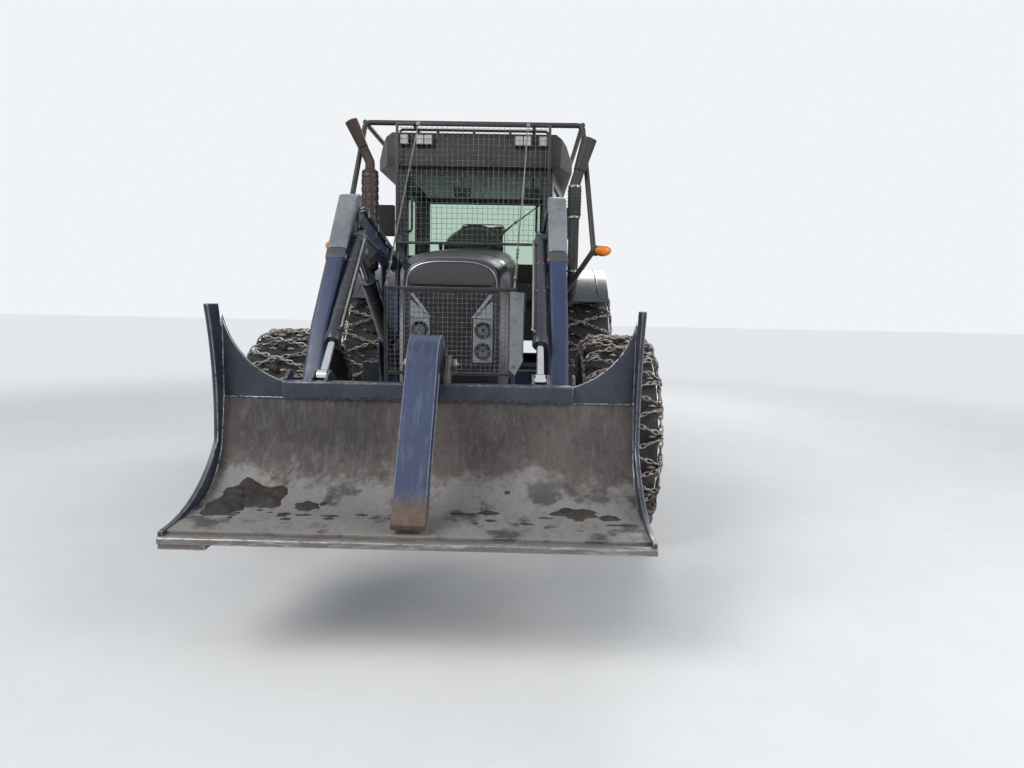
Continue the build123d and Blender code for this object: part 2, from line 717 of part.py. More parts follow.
nose_foot_z = 1150
nose_top_z = hood_split_front_z - 15
nose_half = 262
nose_opening = both_sides([(0, nose_top_z), (nose_half - 62, nose_top_z - 15),
                           (nose_half, nose_top_z - 65), (nose_half, nose_foot_z), (0, nose_foot_z)])
with BuildPart() as hood_shell:
    loft([hood_outline(*hood_sections[0]), hood_outline(*hood_sections[1])], ruled=True)
    loft([hood_outline(*hood_sections[1]), hood_outline(*hood_sections[2])], ruled=True)

with BuildPart() as hood_inside:
    loft([hood_outline(*hood_sections[0], inset=hood_wall).moved(Location((0, hood_wall, 0))),
          hood_outline(*hood_sections[1], inset=hood_wall)], ruled=True)
    loft([hood_outline(*hood_sections[1], inset=hood_wall),
          hood_outline(*hood_sections[2], inset=hood_wall).moved(Location((0, 20, 0)))], ruled=True)


def above_split(gap):
    """The side outline of all that lies above the line where the hood opens."""
    return [(nose_y - 50, hood_split_front_z + gap), (nose_y - 50, 2100),
            (hood_rear_y + 50, 2100), (hood_rear_y + 50, hood_split_rear_z + gap)]


with BuildPart() as hood:
    add(hood_shell.part)
    add(hood_inside.part, mode=Mode.SUBTRACT)
    plate(above_split(swing_gap), (-500, 500), mode=Mode.INTERSECT)
    for side in (1, -1):
        ear_x = sorted((side * hood_ear_x[0], side * hood_ear_x[1]))
        plate([(hood_pin[0] - 18, hood_pin[1] + 5), (hood_pin[0] - 18, hood_pin[1] + 82),
               (hood_pin[0] + 18, hood_pin[1] + 86), (hood_pin[0] + 18, hood_pin[1] + 5)], ear_x)
        cross_bar(*hood_pin, hood_pin_radius + 9, ear_x)
        cross_bar(*hood_pin, hood_pin_radius + pin_play, (ear_x[0] - 5, ear_x[1] + 5), mode=Mode.SUBTRACT)
hood.part.label = "hood"
export_step(hood.part, "parts/hood.step")

with BuildPart() as hood_lower:
    add(hood_shell.part)
    add(hood_inside.part, mode=Mode.SUBTRACT)
    plate(above_split(0), (-500, 500), mode=Mode.SUBTRACT)
    panel(nose_opening, (nose_y - 20, nose_y + hood_wall + 20), mode=Mode.SUBTRACT)
    # Bulkhead under the hood's rear end, which carries its hinge
    panel(both_sides([(0, bulkhead_foot_z), (355, bulkhead_foot_z), (355, hood_split_rear_z - 25),
                      (330, hood_split_rear_z - 15), (290, 1790), (215, hood_pin[1] - 15),
                      (175, hood_pin[1] + 12), (0, hood_pin[1] + 12)]), bulkhead_y)
    for side in (1, -1):
        for low, high in ((hood_ear_x[0] - 14, hood_ear_x[0] - 2), (hood_ear_x[1] + 2, hood_ear_x[1] + 14)):
            ear_x = sorted((side * low, side * high))
            plate([(bulkhead_y[0] + 2, hood_pin[1] - 40), (bulkhead_y[0] + 2, hood_pin[1] + 12),
                   (hood_pin[0], hood_pin[1] + 16), (hood_pin[0] + 14, hood_pin[1]),
                   (hood_pin[0] + 5, hood_pin[1] - 18)], ear_x)
        cross_bar(*hood_pin, hood_pin_radius,
                  sorted((side * (hood_ear_x[0] - 14), side * (hood_ear_x[1] + 14))))
hood_lower.part.label = "hood_lower"
export_step(hood_lower.part, "parts/hood_lower.step")

lamp_half = 62
headlamp_x = 196
lamp_top_z = 1427
with BuildPart() as grille:
    panel(both_sides([(0, nose_top_z - seat_gap), (nose_half - 62 - seat_gap, nose_top_z - 15 - seat_gap),
                      (nose_half - seat_gap, nose_top_z - 65 - seat_gap),
                      (nose_half - seat_gap, lamp_top_z + seat_gap),
                      (headlamp_x - lamp_half - seat_gap, lamp_top_z + seat_gap),
                      (headlamp_x - lamp_half - 12, nose_foot_z + seat_gap), (0, nose_foot_z + seat_gap)]),
          (nose_y + 6, nose_y + 14))
grille.part.label = "grille"
export_step(grille.part, "parts/grille.step")

with BuildPart() as headlamps:
    for side in (1, -1):
        x = side * headlamp_x
        block((x - lamp_half, x + lamp_half), (nose_y + 4, nose_y + 50),
              (nose_foot_z + seat_gap, lamp_top_z))
        bar((x, nose_y + 4, 1355), (x, nose_y - 8, 1355), 50)
        bar((x, nose_y + 4, 1225), (x, nose_y - 8, 1225), 50)
headlamps.part.label = "headlamps"
export_step(headlamps.part, "parts/headlamps.step")

# Loader frame: a tower each side on a bracket and a rail along the chassis
tower_plate = 14
tower_inner = boom_x - boom_width / 2 - swing_gap - tower_plate
tower_outer = boom_x + boom_width / 2 + swing_gap + tower_plate
boom_pin_radius = 30
lift_base_y = boom_pivot_y - 120
lift_base_z = 1180
cylinder_pin_radius = 20
rail_x = (gearbox_half + seat_gap, gearbox_half + 35)
rail_z = (support_top_z - 150, support_top_z - 10)
tower_foot_z = rail_z[0] + 20

with BuildPart() as loader_frame:
    for side in (1, -1):
        tower_outline = [
            (boom_pivot_y - 90, tower_foot_z), (boom_pivot_y - 190, lift_base_z - 60),
            (boom_pivot_y - 190, lift_base_z + 60), (boom_pivot_y - 100, lift_base_z + 130),
            (boom_pivot_y - 80, boom_pivot_z + 30), (boom_pivot_y - 40, boom_pivot_z + 75),
            (boom_pivot_y + 40, boom_pivot_z + 75), (boom_pivot_y + 85, boom_pivot_z + 20),
            (boom_pivot_y + 90, tower_foot_z),
        ]
        for low in (tower_inner, tower_outer - tower_plate):
            plate(tower_outline, sorted((side * low, side * (low + tower_plate))))
        block(sorted((side * tower_inner, side * tower_outer)),
              (boom_pivot_y - 40, boom_pivot_y + 85), (tower_foot_z, boom_pivot_z - 200))
        block(sorted((side * rail_x[0], side * tower_inner)),
              (boom_pivot_y - 70, boom_pivot_y + 70), (rail_z[0] + 10, rail_z[1] - 10))
        block(sorted((side * rail_x[0], side * rail_x[1])),
              (front_axle_y - 300, engine_rear_y + 60), rail_z)
        block(sorted((side * (support_half + seat_gap), side * rail_x[0])),
              (front_axle_y - 300, front_axle_y - 100), (rail_z[0] + 10, rail_z[1] - 10))
        cross_bar(boom_pivot_y, boom_pivot_z, boom_pin_radius,
                  sorted((side * (tower_inner - 12), side * (tower_outer + 12))))
        cross_bar(lift_base_y, lift_base_z, cylinder_pin_radius,
                  sorted((side * tower_inner, side * tower_outer)))
loader_frame.part.label = "loader_frame"
export_step(loader_frame.part, "parts/loader_frame.step")

# Boom: two bent arms joined by a cross tube
tilt_base = (knee_y - 150, knee_z - 275)
lift_eye = (front_axle_y - 100, boom_pivot_z - 20)
ear_thickness = 12
eye_half = 28
leg_rear_bends = [(knee_y - 650, knee_z - 1055), (knee_y - 565, knee_z - 845)]  # ahead of the steered tyres
leg_front_bend = (knee_y - 670, knee_z - 775)
cross_tube = (front_axle_y - 985, 1010)
cross_tube_radius = 60
knee_cover = 5  # how far the knee covers stand out
tilt_x = boom_x - boom_width / 2 - 49

with BuildPart() as boom:
    for side in (1, -1):
        arm_x = sorted((side * (boom_x - boom_width / 2), side * (boom_x + boom_width / 2)))
        plate([(boom_pivot_y, boom_pivot_z - 70), (boom_pivot_y + 50, boom_pivot_z - 50),
               (boom_pivot_y + 50, boom_pivot_z + 50), (boom_pivot_y, boom_pivot_z + 70),
               (knee_y + 40, knee_z), (knee_y - 60, knee_z - 20), (knee_y - 130, knee_z - 110),
               leg_front_bend,
               (carrier_pin_y - 55, carrier_pin_z + 35), (carrier_pin_y - 45, carrier_pin_z - 35),
               (carrier_pin_y, carrier_pin_z - 55), (carrier_pin_y + 60, carrier_pin_z - 10),
               *leg_rear_bends, (knee_y + 30, knee_z - 270), (knee_y + 130, knee_z - 230)], arm_x)
        # A plate on each leg's inner face reaches back to the cross tube
        plate([(cross_tube[0] - 145, cross_tube[1] - 50), (cross_tube[0] - 115, cross_tube[1] + 90),
               (cross_tube[0] + 10, cross_tube[1] + 75), (cross_tube[0] + 62, cross_tube[1] + 20),
               (cross_tube[0] + 62, cross_tube[1] - 20), (cross_tube[0] + 10, cross_tube[1] - 68)],
              sorted((side * (boom_x - boom_width / 2 - ear_thickness), side * (boom_x - boom_width / 2))))
        for low in (boom_x - boom_width / 2, boom_x + boom_width / 2 - ear_thickness):
            plate([(lift_eye[0] + 420, lift_eye[1] + 60), (lift_eye[0] - 160, lift_eye[1] + 160),
                   (knee_y - 160, knee_z - 300), (knee_y - 20, knee_z - 420),
                   (lift_eye[0] - 50, lift_eye[1] - 45), (lift_eye[0] + 50, lift_eye[1] - 45)],
                  sorted((side * low, side * (low + ear_thickness))))
        for low, high in ((boom_x - boom_width / 2 - 10, boom_x - boom_width / 2),
                          (boom_x + boom_width / 2, boom_x + boom_width / 2 + 10)):
            cross_bar(lift_eye[0], lift_eye[1], 30, sorted((side * low, side * high)))
        cross_bar(tilt_base[0], tilt_base[1], 18,
                  sorted((side * (tilt_x - 34), side * (boom_x - boom_width / 2))))
        cross_bar(boom_pivot_y, boom_pivot_z, boom_pin_radius + pin_play,
                  sorted((side * (boom_x - 80), side * (boom_x + 80))), mode=Mode.SUBTRACT)
        cross_bar(carrier_pin_y, carrier_pin_z, 25 + pin_play,
                  sorted((side * (boom_x - 80), side * (boom_x + 80))), mode=Mode.SUBTRACT)
    cross_bar(cross_tube[0], cross_tube[1], cross_tube_radius,
              (boom_width / 2 - boom_x, boom_x - boom_width / 2))
    # Covers over the knees and the side plates behind them
    for side in (1, -1):
        cover_x = sorted((side * (boom_x - boom_width / 2 - knee_cover), side * (boom_x + boom_width / 2 + knee_cover)))
        plate([(knee_y + 90, knee_z - 5), (knee_y + 40, knee_z + knee_cover),
               (knee_y - 62, knee_z - 20 + knee_cover), (knee_y - 130 - knee_cover, knee_z - 105),
               (knee_y - 330, knee_z - 355), (knee_y - 300, knee_z - 372),
               (knee_y - 110, knee_z - 175), (knee_y + 60, knee_z - 160)], cover_x)
boom.part.label = "boom"
export_step(boom.part, "parts/boom.step")


rod_share = 0.52  # a rod's radius as a share of its barrel's


def cylinder_barrel(base, eye, x, radius, pin, length, bore_from, eye_width):
    """A cylinder's barrel with a bored eye at its base, aimed at the rod's eye."""
    aim = Vector(0, eye[0] - base[0], eye[1] - base[1]).normalized()
    start = Vector(x, base[0], base[1])
    bar(tuple(start + aim * pin), tuple(start + aim * length), radius)
    cross_bar(base[0], base[1], pin + 22, (x - eye_width / 2, x + eye_width / 2))
    cross_bar(base[0], base[1], pin + pin_play, (x - eye_width, x + eye_width), mode=Mode.SUBTRACT)
    bar(tuple(start + aim * bore_from), tuple(start + aim * (length + 10)),
        radius * rod_share + pin_play, mode=Mode.SUBTRACT)


def cylinder_rod(base, eye, x, radius, pin, inside, eye_width, stub_width):
    """A cylinder's rod, which starts inside the barrel and ends in an eye with its pin."""
    aim = Vector(0, eye[0] - base[0], eye[1] - base[1]).normalized()
    start = Vector(x, base[0], base[1])
    end = Vector(x, eye[0], eye[1])
    cross_bar(eye[0], eye[1], pin + 20, (x - eye_width / 2, x + eye_width / 2))
    cross_bar(eye[0], eye[1], pin, (x - stub_width / 2, x + stub_width / 2))
    bar(tuple(start + aim * inside), tuple(end - aim * (pin + 5)), radius * rod_share)


# Each rod's strokes from rest are (in, out); its hidden end stays between the bore's floor and the gland
rod_grip = 40  # what stays inside the barrel at full stroke
bore_floor_gap = 12
lift_strokes = (109, 645)
tilt_strokes = (111, 390)
clamp_strokes = (98, 0)
lift_radius = 50
lift_base = (lift_base_y, lift_base_z)
lift_length = hypot(lift_eye[0] - lift_base[0], lift_eye[1] - lift_base[1])
lift_barrel_length = lift_length - lift_strokes[0] - 175
lift_inside = lift_barrel_length - lift_strokes[1] - rod_grip
with BuildPart() as lift_barrels:
    for side in (1, -1):
        cylinder_barrel(lift_base, lift_eye, side * boom_x, lift_radius, cylinder_pin_radius,
                        lift_barrel_length, lift_inside - lift_strokes[0] - bore_floor_gap, boom_width - 4)
lift_barrels.part.label = "lift_barrels"
export_step(lift_barrels.part, "parts/lift_barrels.step")

with BuildPart() as lift_rods:
    for side in (1, -1):
        cylinder_rod(lift_base, lift_eye, side * boom_x, lift_radius, cylinder_pin_radius,
                     lift_inside, 2 * eye_half, boom_width - 2 * ear_thickness - 2)
lift_rods.part.label = "lift_rods"
export_step(lift_rods.part, "parts/lift_rods.step")

tilt_eye = (carrier_pin_y - 30, carrier_pin_z + 340)
tilt_radius = 38
tilt_length = hypot(tilt_eye[0] - tilt_base[0], tilt_eye[1] - tilt_base[1])
tilt_barrel_length = tilt_length - tilt_strokes[0] - 129
tilt_inside = tilt_barrel_length - tilt_strokes[1] - rod_grip
with BuildPart() as tilt_barrels:
    for side in (1, -1):
        cylinder_barrel(tilt_base, tilt_eye, side * tilt_x, tilt_radius, 18,
                        tilt_barrel_length, tilt_inside - tilt_strokes[0] - bore_floor_gap, 60)
tilt_barrels.part.label = "tilt_barrels"
export_step(tilt_barrels.part, "parts/tilt_barrels.step")

with BuildPart() as tilt_rods:
    for side in (1, -1):
        cylinder_rod(tilt_base, tilt_eye, side * tilt_x, tilt_radius, 16,
                     tilt_inside, 48, 58)
tilt_rods.part.label = "tilt_rods"
export_step(tilt_rods.part, "parts/tilt_rods.step")

# Blade: a curved mouldboard on a flange tube, with side plates, wings and hinge ears
edge_y = front_axle_y - blade_reach
lip_z = blade_edge_z + 30
crease = (front_axle_y - 1760, blade_edge_z + 60)
board_knee = (front_axle_y - 1530, blade_edge_z + 145)
board_rise = (front_axle_y - 1430, blade_edge_z + 330)
board_top = (front_axle_y - 1400, flange_top_z - flange_size)
side_inner = blade_half - blade_plate
wing_inner = 693
clamp_half = 70
clamp_pivot = (front_axle_y - 1295, 1215)
clamp_base = (carrier_pin_y + 20, carrier_pin_z - 95)
clamp_eye = (clamp_pivot[0] + 105, clamp_pivot[1] - 25)

with BuildPart() as blade:
    with BuildSketch(Plane.YZ.offset(-side_inner)):
        with BuildLine():
            Polyline((edge_y + 40, lip_z + seat_gap), (edge_y + 40, lip_z + 14), crease)
            ThreePointArc(crease, board_knee, board_rise)
            Polyline(board_rise, board_top, (board_top[0] + blade_plate, board_top[1]),
                     (board_rise[0] + blade_plate, board_rise[1]))
            ThreePointArc((board_rise[0] + blade_plate, board_rise[1]),
                          (board_knee[0] + blade_plate * 0.7, board_knee[1] - blade_plate * 0.7),
                          (crease[0] + 4, crease[1] - blade_plate))
            Polyline((crease[0] + 4, crease[1] - blade_plate), (edge_y + 150, lip_z + seat_gap),
                     (edge_y + 40, lip_z + seat_gap))
        make_face()
    extrude(amount=2 * side_inner)
    # Flange tube along the top
    block((-wing_inner, wing_inner), (board_top[0] - 20, board_top[0] + flange_size - 20),
          (board_top[1], flange_top_z))
    # Torsion tube across the back
    block((-side_inner, side_inner), (front_axle_y - 1480, front_axle_y - 1345),
          (blade_edge_z + 70, blade_edge_z + 170))
    for side in (1, -1):
        with BuildSketch(Plane.YZ.offset(side_inner if side > 0 else -blade_half)):
            with BuildLine():
                Line((edge_y + 5, lip_z + seat_gap), (edge_y + 5, lip_z + 20))
                ThreePointArc((edge_y + 5, lip_z + 20), (front_axle_y - 1650, lip_z + 120),
                              (front_axle_y - 1474, lip_z + 290))
                ThreePointArc((front_axle_y - 1474, lip_z + 290), (front_axle_y - 1478, 1170),
                              (front_axle_y - 1546, wing_top_z))
                Polyline((front_axle_y - 1546, wing_top_z), (front_axle_y - 1430, wing_top_z),
                         (front_axle_y - 1345, 1130), (front_axle_y - 1345, 690),
                         (front_axle_y - 1620, lip_z + seat_gap), (edge_y + 5, lip_z + seat_gap))
            make_face()
        extrude(amount=blade_plate)
        with BuildSketch(Plane.XZ.offset(-board_top[0] - 15)):
            with BuildLine():
                start = (side * wing_inner, flange_top_z)
                end = (side * side_inner, wing_top_z - 50)
                Polyline(end, (side * side_inner, board_top[1]), (side * wing_inner, board_top[1]), start)
                ThreePointArc(start, (side * (wing_inner + 170), flange_top_z + 100), end)
            make_face()
        extrude(amount=15)
    # Hinge ears for the boom and the tilt cylinders
    boom_low = boom_x - boom_width / 2
    boom_high = boom_x + boom_width / 2
    ear_outline = [
        (board_rise[0] + 10, board_top[1] + 20), (tilt_eye[0] - 20, tilt_eye[1] + 35),
        (tilt_eye[0] + 25, tilt_eye[1] + 30), (carrier_pin_y + 50, carrier_pin_z + 60),
        (carrier_pin_y + 55, carrier_pin_z - 30), (carrier_pin_y - 20, carrier_pin_z - 60),
        (board_knee[0] + 60, blade_edge_z + 90), (board_rise[0] + 5, board_rise[1] - 50),
    ]
    for side in (1, -1):
        for low, high in ((tilt_x - 42, tilt_x - 30), (boom_low - 18, boom_low - 5),
                          (boom_high + 5, boom_high + 18)):
            plate(ear_outline, sorted((side * low, side * high)))
        cross_bar(carrier_pin_y, carrier_pin_z, 25,
                  sorted((side * (boom_low - 18), side * (boom_high + 30))))
blade.part.label = "blade"
export_step(blade.part, "parts/blade.step")

with BuildPart() as clamp_bracket:
    for side in (1, -1):
        plate([(board_top[0] + 10, board_top[1] + 10), (board_top[0] - 5, flange_top_z + 30),
               (clamp_pivot[0] - 40, clamp_pivot[1] + 45), (clamp_pivot[0] + 40, clamp_pivot[1] + 40),
               (clamp_pivot[0] + 45, clamp_pivot[1] - 45), (board_top[0] + 55, board_rise[1])],
              sorted((side * (clamp_half + swing_gap), side * (clamp_half + swing_gap + 20))))
        plate([(front_axle_y - 1350, blade_edge_z + 80), (front_axle_y - 1350, blade_edge_z + 170),
               (clamp_base[0] + 10, clamp_base[1] + 35), (clamp_base[0] + 35, clamp_base[1]),
               (clamp_base[0] + 10, clamp_base[1] - 35)], sorted((side * 38, side * 50)))
    cross_bar(clamp_pivot[0], clamp_pivot[1], 25,
              (-clamp_half - swing_gap - 40, clamp_half + swing_gap + 40))
    cross_bar(clamp_base[0], clamp_base[1], 14, (-50, 50))
    add(blade.part, mode=Mode.SUBTRACT)
clamp_bracket.part.label = "clamp_bracket"
export_step(clamp_bracket.part, "parts/clamp_bracket.step")

with BuildPart() as cutting_edge:
    plate([(edge_y, blade_edge_z), (edge_y, lip_z - 6), (edge_y + 12, lip_z),
           (edge_y + 150, lip_z), (edge_y + 150, blade_edge_z)], (-blade_half, blade_half))
    block((-blade_half, -blade_half + 190), (edge_y + 10, edge_y + 120), (blade_edge_z - 25, blade_edge_z))
cutting_edge.part.label = "cutting_edge"
export_step(cutting_edge.part, "parts/cutting_edge.step")

clamp_outline = [
    (-1240, 1165), (-1155, 1165), (-1150, 1205), (-1215, 1250), (-1300, 1310), (-1390, 1352),
    (-1470, 1360), (-1545, 1325), (-1630, 1215), (-1830, 870), (-1975, 618), (-1960, 594),
    (-1905, 602), (-1745, 880), (-1555, 1170), (-1490, 1225), (-1420, 1245), (-1345, 1175),
]
with BuildPart() as clamp_arm:
    plate([(front_axle_y + ahead, height) for ahead, height in clamp_outline], (-clamp_half, clamp_half))
    cross_bar(clamp_pivot[0], clamp_pivot[1], 60, (-clamp_half, clamp_half))
    cross_bar(clamp_pivot[0], clamp_pivot[1], 25 + pin_play, (-100, 100), mode=Mode.SUBTRACT)
    # Slot for the cylinder's rod eye
    block((-32, 32), (clamp_eye[0] - 62, clamp_eye[0] + 75), (clamp_eye[1] - 75, clamp_eye[1] + 62),
          mode=Mode.SUBTRACT)
clamp_arm.part.label = "clamp_arm"
export_step(clamp_arm.part, "parts/clamp_arm.step")

clamp_radius = 32
clamp_length = hypot(clamp_eye[0] - clamp_base[0], clamp_eye[1] - clamp_base[1])
clamp_barrel_length = clamp_length - clamp_strokes[0] - 47
clamp_inside = clamp_barrel_length - clamp_strokes[1] - 3 * rod_grip
with BuildPart() as clamp_barrel:
    cylinder_barrel(clamp_base, clamp_eye, 0, clamp_radius, 14, clamp_barrel_length,
                    clamp_inside - clamp_strokes[0] - bore_floor_gap, 64)
clamp_barrel.part.label = "clamp_barrel"
export_step(clamp_barrel.part, "parts/clamp_barrel.step")

with BuildPart() as clamp_rod:
    cylinder_rod(clamp_base, clamp_eye, 0, clamp_radius, 12, clamp_inside, 44, 52)
clamp_rod.part.label = "clamp_rod"
export_step(clamp_rod.part, "parts/clamp_rod.step")

# Guards
guard_half = 389
guard_top_z = 1616
guard_y = support_front_y - 22
guard_bar = 28
mesh_wire = 6
guard_wire_pitch = 58
screen_wire_pitch = 75
guard_plate = 6


def wire_mesh(x, y, z, pitch):
    """Upright wires behind level ones, 1 mm apart, as long as the frame is high and wide."""
    columns = int((x[1] - x[0]) / pitch)
    rows = int((z[1] - z[0]) / pitch)
    for column in range(1, columns):
        centre = x[0] + (x[1] - x[0]) * column / columns
        block((centre - mesh_wire / 2, centre + mesh_wire / 2), (y + 0.5, y + 0.5 + mesh_wire), z)
    for row in range(1, rows):
        level = z[0] + (z[1] - z[0]) * row / rows
        block(x, (y - 0.5 - mesh_wire, y - 0.5), (level - mesh_wire / 2, level + mesh_wire / 2))


with BuildPart() as grille_guard:
    half_bar = guard_bar / 2
    for side in (1, -1):
        block(sorted((side * (guard_half - half_bar), side * (guard_half + half_bar))),
              (guard_y - half_bar, guard_y + half_bar), (940, guard_top_z))
    for level in (guard_top_z - half_bar, 1090, 958):
        block((-guard_half, guard_half), (guard_y - half_bar, guard_y + half_bar),
              (level - half_bar, level + half_bar))
    block((-support_half, support_half), (guard_y + half_bar, support_front_y - seat_gap), (940, 976))
    wire_mesh((-guard_half + half_bar, guard_half - half_bar), guard_y,
              (1090 + half_bar, guard_top_z - guard_bar), guard_wire_pitch)
    # Folded plate on the left post, which narrows to a point at its foot
    panel([(guard_half - 25, guard_top_z - 24), (guard_half + 60, guard_top_z - 30),
           (guard_half + 60, 1180), (guard_half + 10, 1085), (guard_half - 25, 1120)],
          (guard_y - half_bar - guard_plate, guard_y - half_bar))
grille_guard.part.label = "grille_guard"
export_step(grille_guard.part, "parts/grille_guard.step")

roof_guard_y = front_axle_y + 1239
roof_guard_half = 895
roof_guard_z = roof_top_z + 65
tube_radius = 21
roof_guard_rear_y = roof_rear_y - 40
elbow = (975, front_axle_y + 800, 1950)

with BuildPart() as roof_guard:
    cross_bar(roof_guard_y, roof_guard_z, tube_radius, (-roof_guard_half + 60, roof_guard_half - 60))
    cross_bar(roof_guard_rear_y, roof_guard_z, tube_radius, (-roof_guard_half, roof_guard_half))
    for side in (1, -1):
        bent_tube([(side * (roof_guard_half - 60), roof_guard_y, roof_guard_z),
                   (side * roof_guard_half, roof_guard_y, roof_guard_z),
                   (side * elbow[0], elbow[1], elbow[2]),
                   (side * (tower_outer + 22), boom_pivot_y - 40, 1560)], 50, tube_radius)
        bar((side * roof_guard_half, roof_guard_y - 12, roof_guard_z),
            (side * roof_guard_half, roof_guard_rear_y + tube_radius, roof_guard_z), tube_radius)
        block(sorted((side * (tower_outer + seat_gap), side * (tower_outer + 26))),
              (boom_pivot_y - 75, boom_pivot_y + 5), (1500, 1620))
        for y in (roof_guard_y + 300, roof_rear_y - 400):
            bar((side * 500, y, roof_top_z + seat_gap), (side * 500, y, roof_guard_z), 16)
        bar((side * 500, roof_guard_y, roof_guard_z), (side * 500, roof_guard_rear_y, roof_guard_z), 16)
        block(sorted((side * (elbow[0] - 20), side * (elbow[0] + 30))),
              (elbow[1] - 5, elbow[1] + 25), (elbow[2] - 40, elbow[2] + 40))
roof_guard.part.label = "roof_guard"
export_step(roof_guard.part, "parts/roof_guard.step")

screen_guard_half = 640
screen_guard_foot_z = cab_waist_z + 110
screen_guard_y = roof_guard_y - tube_radius - seat_gap - 12
with BuildPart() as screen_guard:
    for side in (1, -1):
        block(sorted((side * (screen_guard_half - 24), side * screen_guard_half)),
              (screen_guard_y - 12, screen_guard_y + 12), (screen_guard_foot_z, roof_guard_z))
        lug_z = screen_guard_foot_z + 40
        lug_y = pillar_front(lug_z)
        block(sorted((side * (windscreen_half + 14), side * (screen_guard_half - 4))),
              (screen_guard_y + 12, lug_y - 8), (lug_z - 30, lug_z + 30))
    for level in (screen_guard_foot_z + 12, roof_guard_z - 12):
        block((-screen_guard_half, screen_guard_half), (screen_guard_y - 12, screen_guard_y + 12),
              (level - 12, level + 12))
    wire_mesh((24 - screen_guard_half, screen_guard_half - 24), screen_guard_y,
              (screen_guard_foot_z + 24, roof_guard_z - 24), screen_wire_pitch)
screen_guard.part.label = "screen_guard"
export_step(screen_guard.part, "parts/screen_guard.step")

# Taut cables that lift branches from the grille guard to the roof guard
with BuildPart() as limb_risers:
    for side in (1, -1):
        foot = (side * guard_half, guard_y, guard_top_z + 8)
        block((foot[0] - 10, foot[0] + 10), (guard_y - 10, guard_y + 10),
              (guard_top_z + seat_gap, guard_top_z + 24))
        head = (side * 450, screen_guard_y - 12 - 9, roof_guard_z - 12)
        bar(foot, head, 5)
        aim = (Vector(*head) - Vector(*foot)).normalized()
        bar(tuple(Vector(*foot) + aim * 40), tuple(Vector(*foot) + aim * 240), 11)
        block((head[0] - 15, head[0] + 15), (head[1] - 4, screen_guard_y - 12 - seat_gap),
              (roof_guard_z - 30, roof_guard_z))
limb_risers.part.label = "limb_risers"
export_step(limb_risers.part, "parts/limb_risers.step")

# Exhaust and air intake: stacks beside the cab's front corners, fed from the hood's sides
stack_pipe_radius = 38
stack_foot_z = 1560
stack_foot_y = front_axle_y + 1165
hood_side_x = 370 + seat_gap
exhaust_x = -820
exhaust_y = front_axle_y + 1060
muffler_radius = 65
with BuildPart() as exhaust:
    bent_tube([(-hood_side_x, stack_foot_y, stack_foot_z), (exhaust_x, stack_foot_y, stack_foot_z),
               (exhaust_x, exhaust_y, stack_foot_z + 130), (exhaust_x, exhaust_y, 2640),
               (exhaust_x - 150, exhaust_y, 2960)], 55, stack_pipe_radius)
    bar((exhaust_x, exhaust_y, 1800), (exhaust_x, exhaust_y, 2560), muffler_radius)
exhaust.part.label = "exhaust"
export_step(exhaust.part, "parts/exhaust.step")

intake_x = 830
intake_y = front_axle_y + 1010
with BuildPart() as air_intake:
    bent_tube([(hood_side_x, stack_foot_y, stack_foot_z), (intake_x, stack_foot_y, stack_foot_z),
               (intake_x, intake_y, stack_foot_z + 160), (intake_x, intake_y, 2480),
               (intake_x + 105, intake_y, 2840)], 60, stack_pipe_radius + 4)
    for level in (2320, 2350, 2380, 2410, 2440):
        bar((intake_x, intake_y, level), (intake_x, intake_y, level + 15), stack_pipe_radius + 14)
air_intake.part.label = "air_intake"
export_step(air_intake.part, "parts/air_intake.step")

# Fuel tank on the left and battery box on the right, each with steps to its door
tank_y = (hood_rear_y + 10, rear_axle_y - rear_tyre_radius - chain_height - 77)
tank_z = (430, support_top_z - 10)
tank_outer_x = 780
step_levels = (470, 720, 970)
step_tread = 30
for side, label in ((1, "fuel_tank"), (-1, "battery_box")):
    with BuildPart() as side_box:
        block(sorted((side * (gearbox_half + seat_gap), side * tank_outer_x)), tank_y, tank_z)
        for level in step_levels:
            block(sorted((side * tank_outer_x, side * (tank_outer_x + 190))),
                  (tank_y[0] + 200, tank_y[1] - 20), (level, level + step_tread))
        for y in (tank_y[0] + 200, tank_y[1] - 30):
            block(sorted((side * tank_outer_x, side * (tank_outer_x + 190))),
                  (y, y + 10), (step_levels[0], step_levels[-1] + step_tread))
    side_box.part.label = label
    export_step(side_box.part, f"parts/{label}.step")

# Lamps
lamp_low_z = roof_top_z - 110
lamp_high_z = roof_top_z - 22


def fascia_y(z):
    """Where the roof's leaning front fascia stands at a height."""
    return roof_front_y + fascia_lean * (z - fascia_foot_z) / (roof_top_z - fascia_foot_z)


with BuildPart() as work_lamps:
    # columns: middle of the lamp, half its width
    for middle, half in ((410, 74), (575, 42)):
        for side in (1, -1):
            plate([(roof_front_y - 34, lamp_low_z), (roof_front_y - 34, lamp_high_z),
                   (fascia_y(lamp_high_z) - seat_gap, lamp_high_z),
                   (fascia_y(lamp_low_z) - seat_gap, lamp_low_z)],
                  (side * middle - half, side * middle + half))
    for side in (1, -1):
        block((side * 560 - 70, side * 560 + 70), (roof_rear_y + seat_gap, roof_rear_y + 45),
              (cab_eaves_z + 4, fascia_foot_z - 4))
work_lamps.part.label = "work_lamps"
export_step(work_lamps.part, "parts/work_lamps.step")

with BuildPart() as marker_lamps:
    for side in (1, -1):
        low = elbow[0] + 30 + seat_gap
        block(sorted((side * low, side * (low + 70))), (elbow[1] - 25, elbow[1] + 25),
              (elbow[2] - 38, elbow[2] + 38))
        block(sorted((side * (rear_window_half + 15), side * (cab_rear_half - 10))),
              (cab_rear_y + seat_gap, cab_rear_y + 50), (cab_waist_z + 5, cab_waist_z + 105))
marker_lamps.part.label = "marker_lamps"
export_step(marker_lamps.part, "parts/marker_lamps.step")

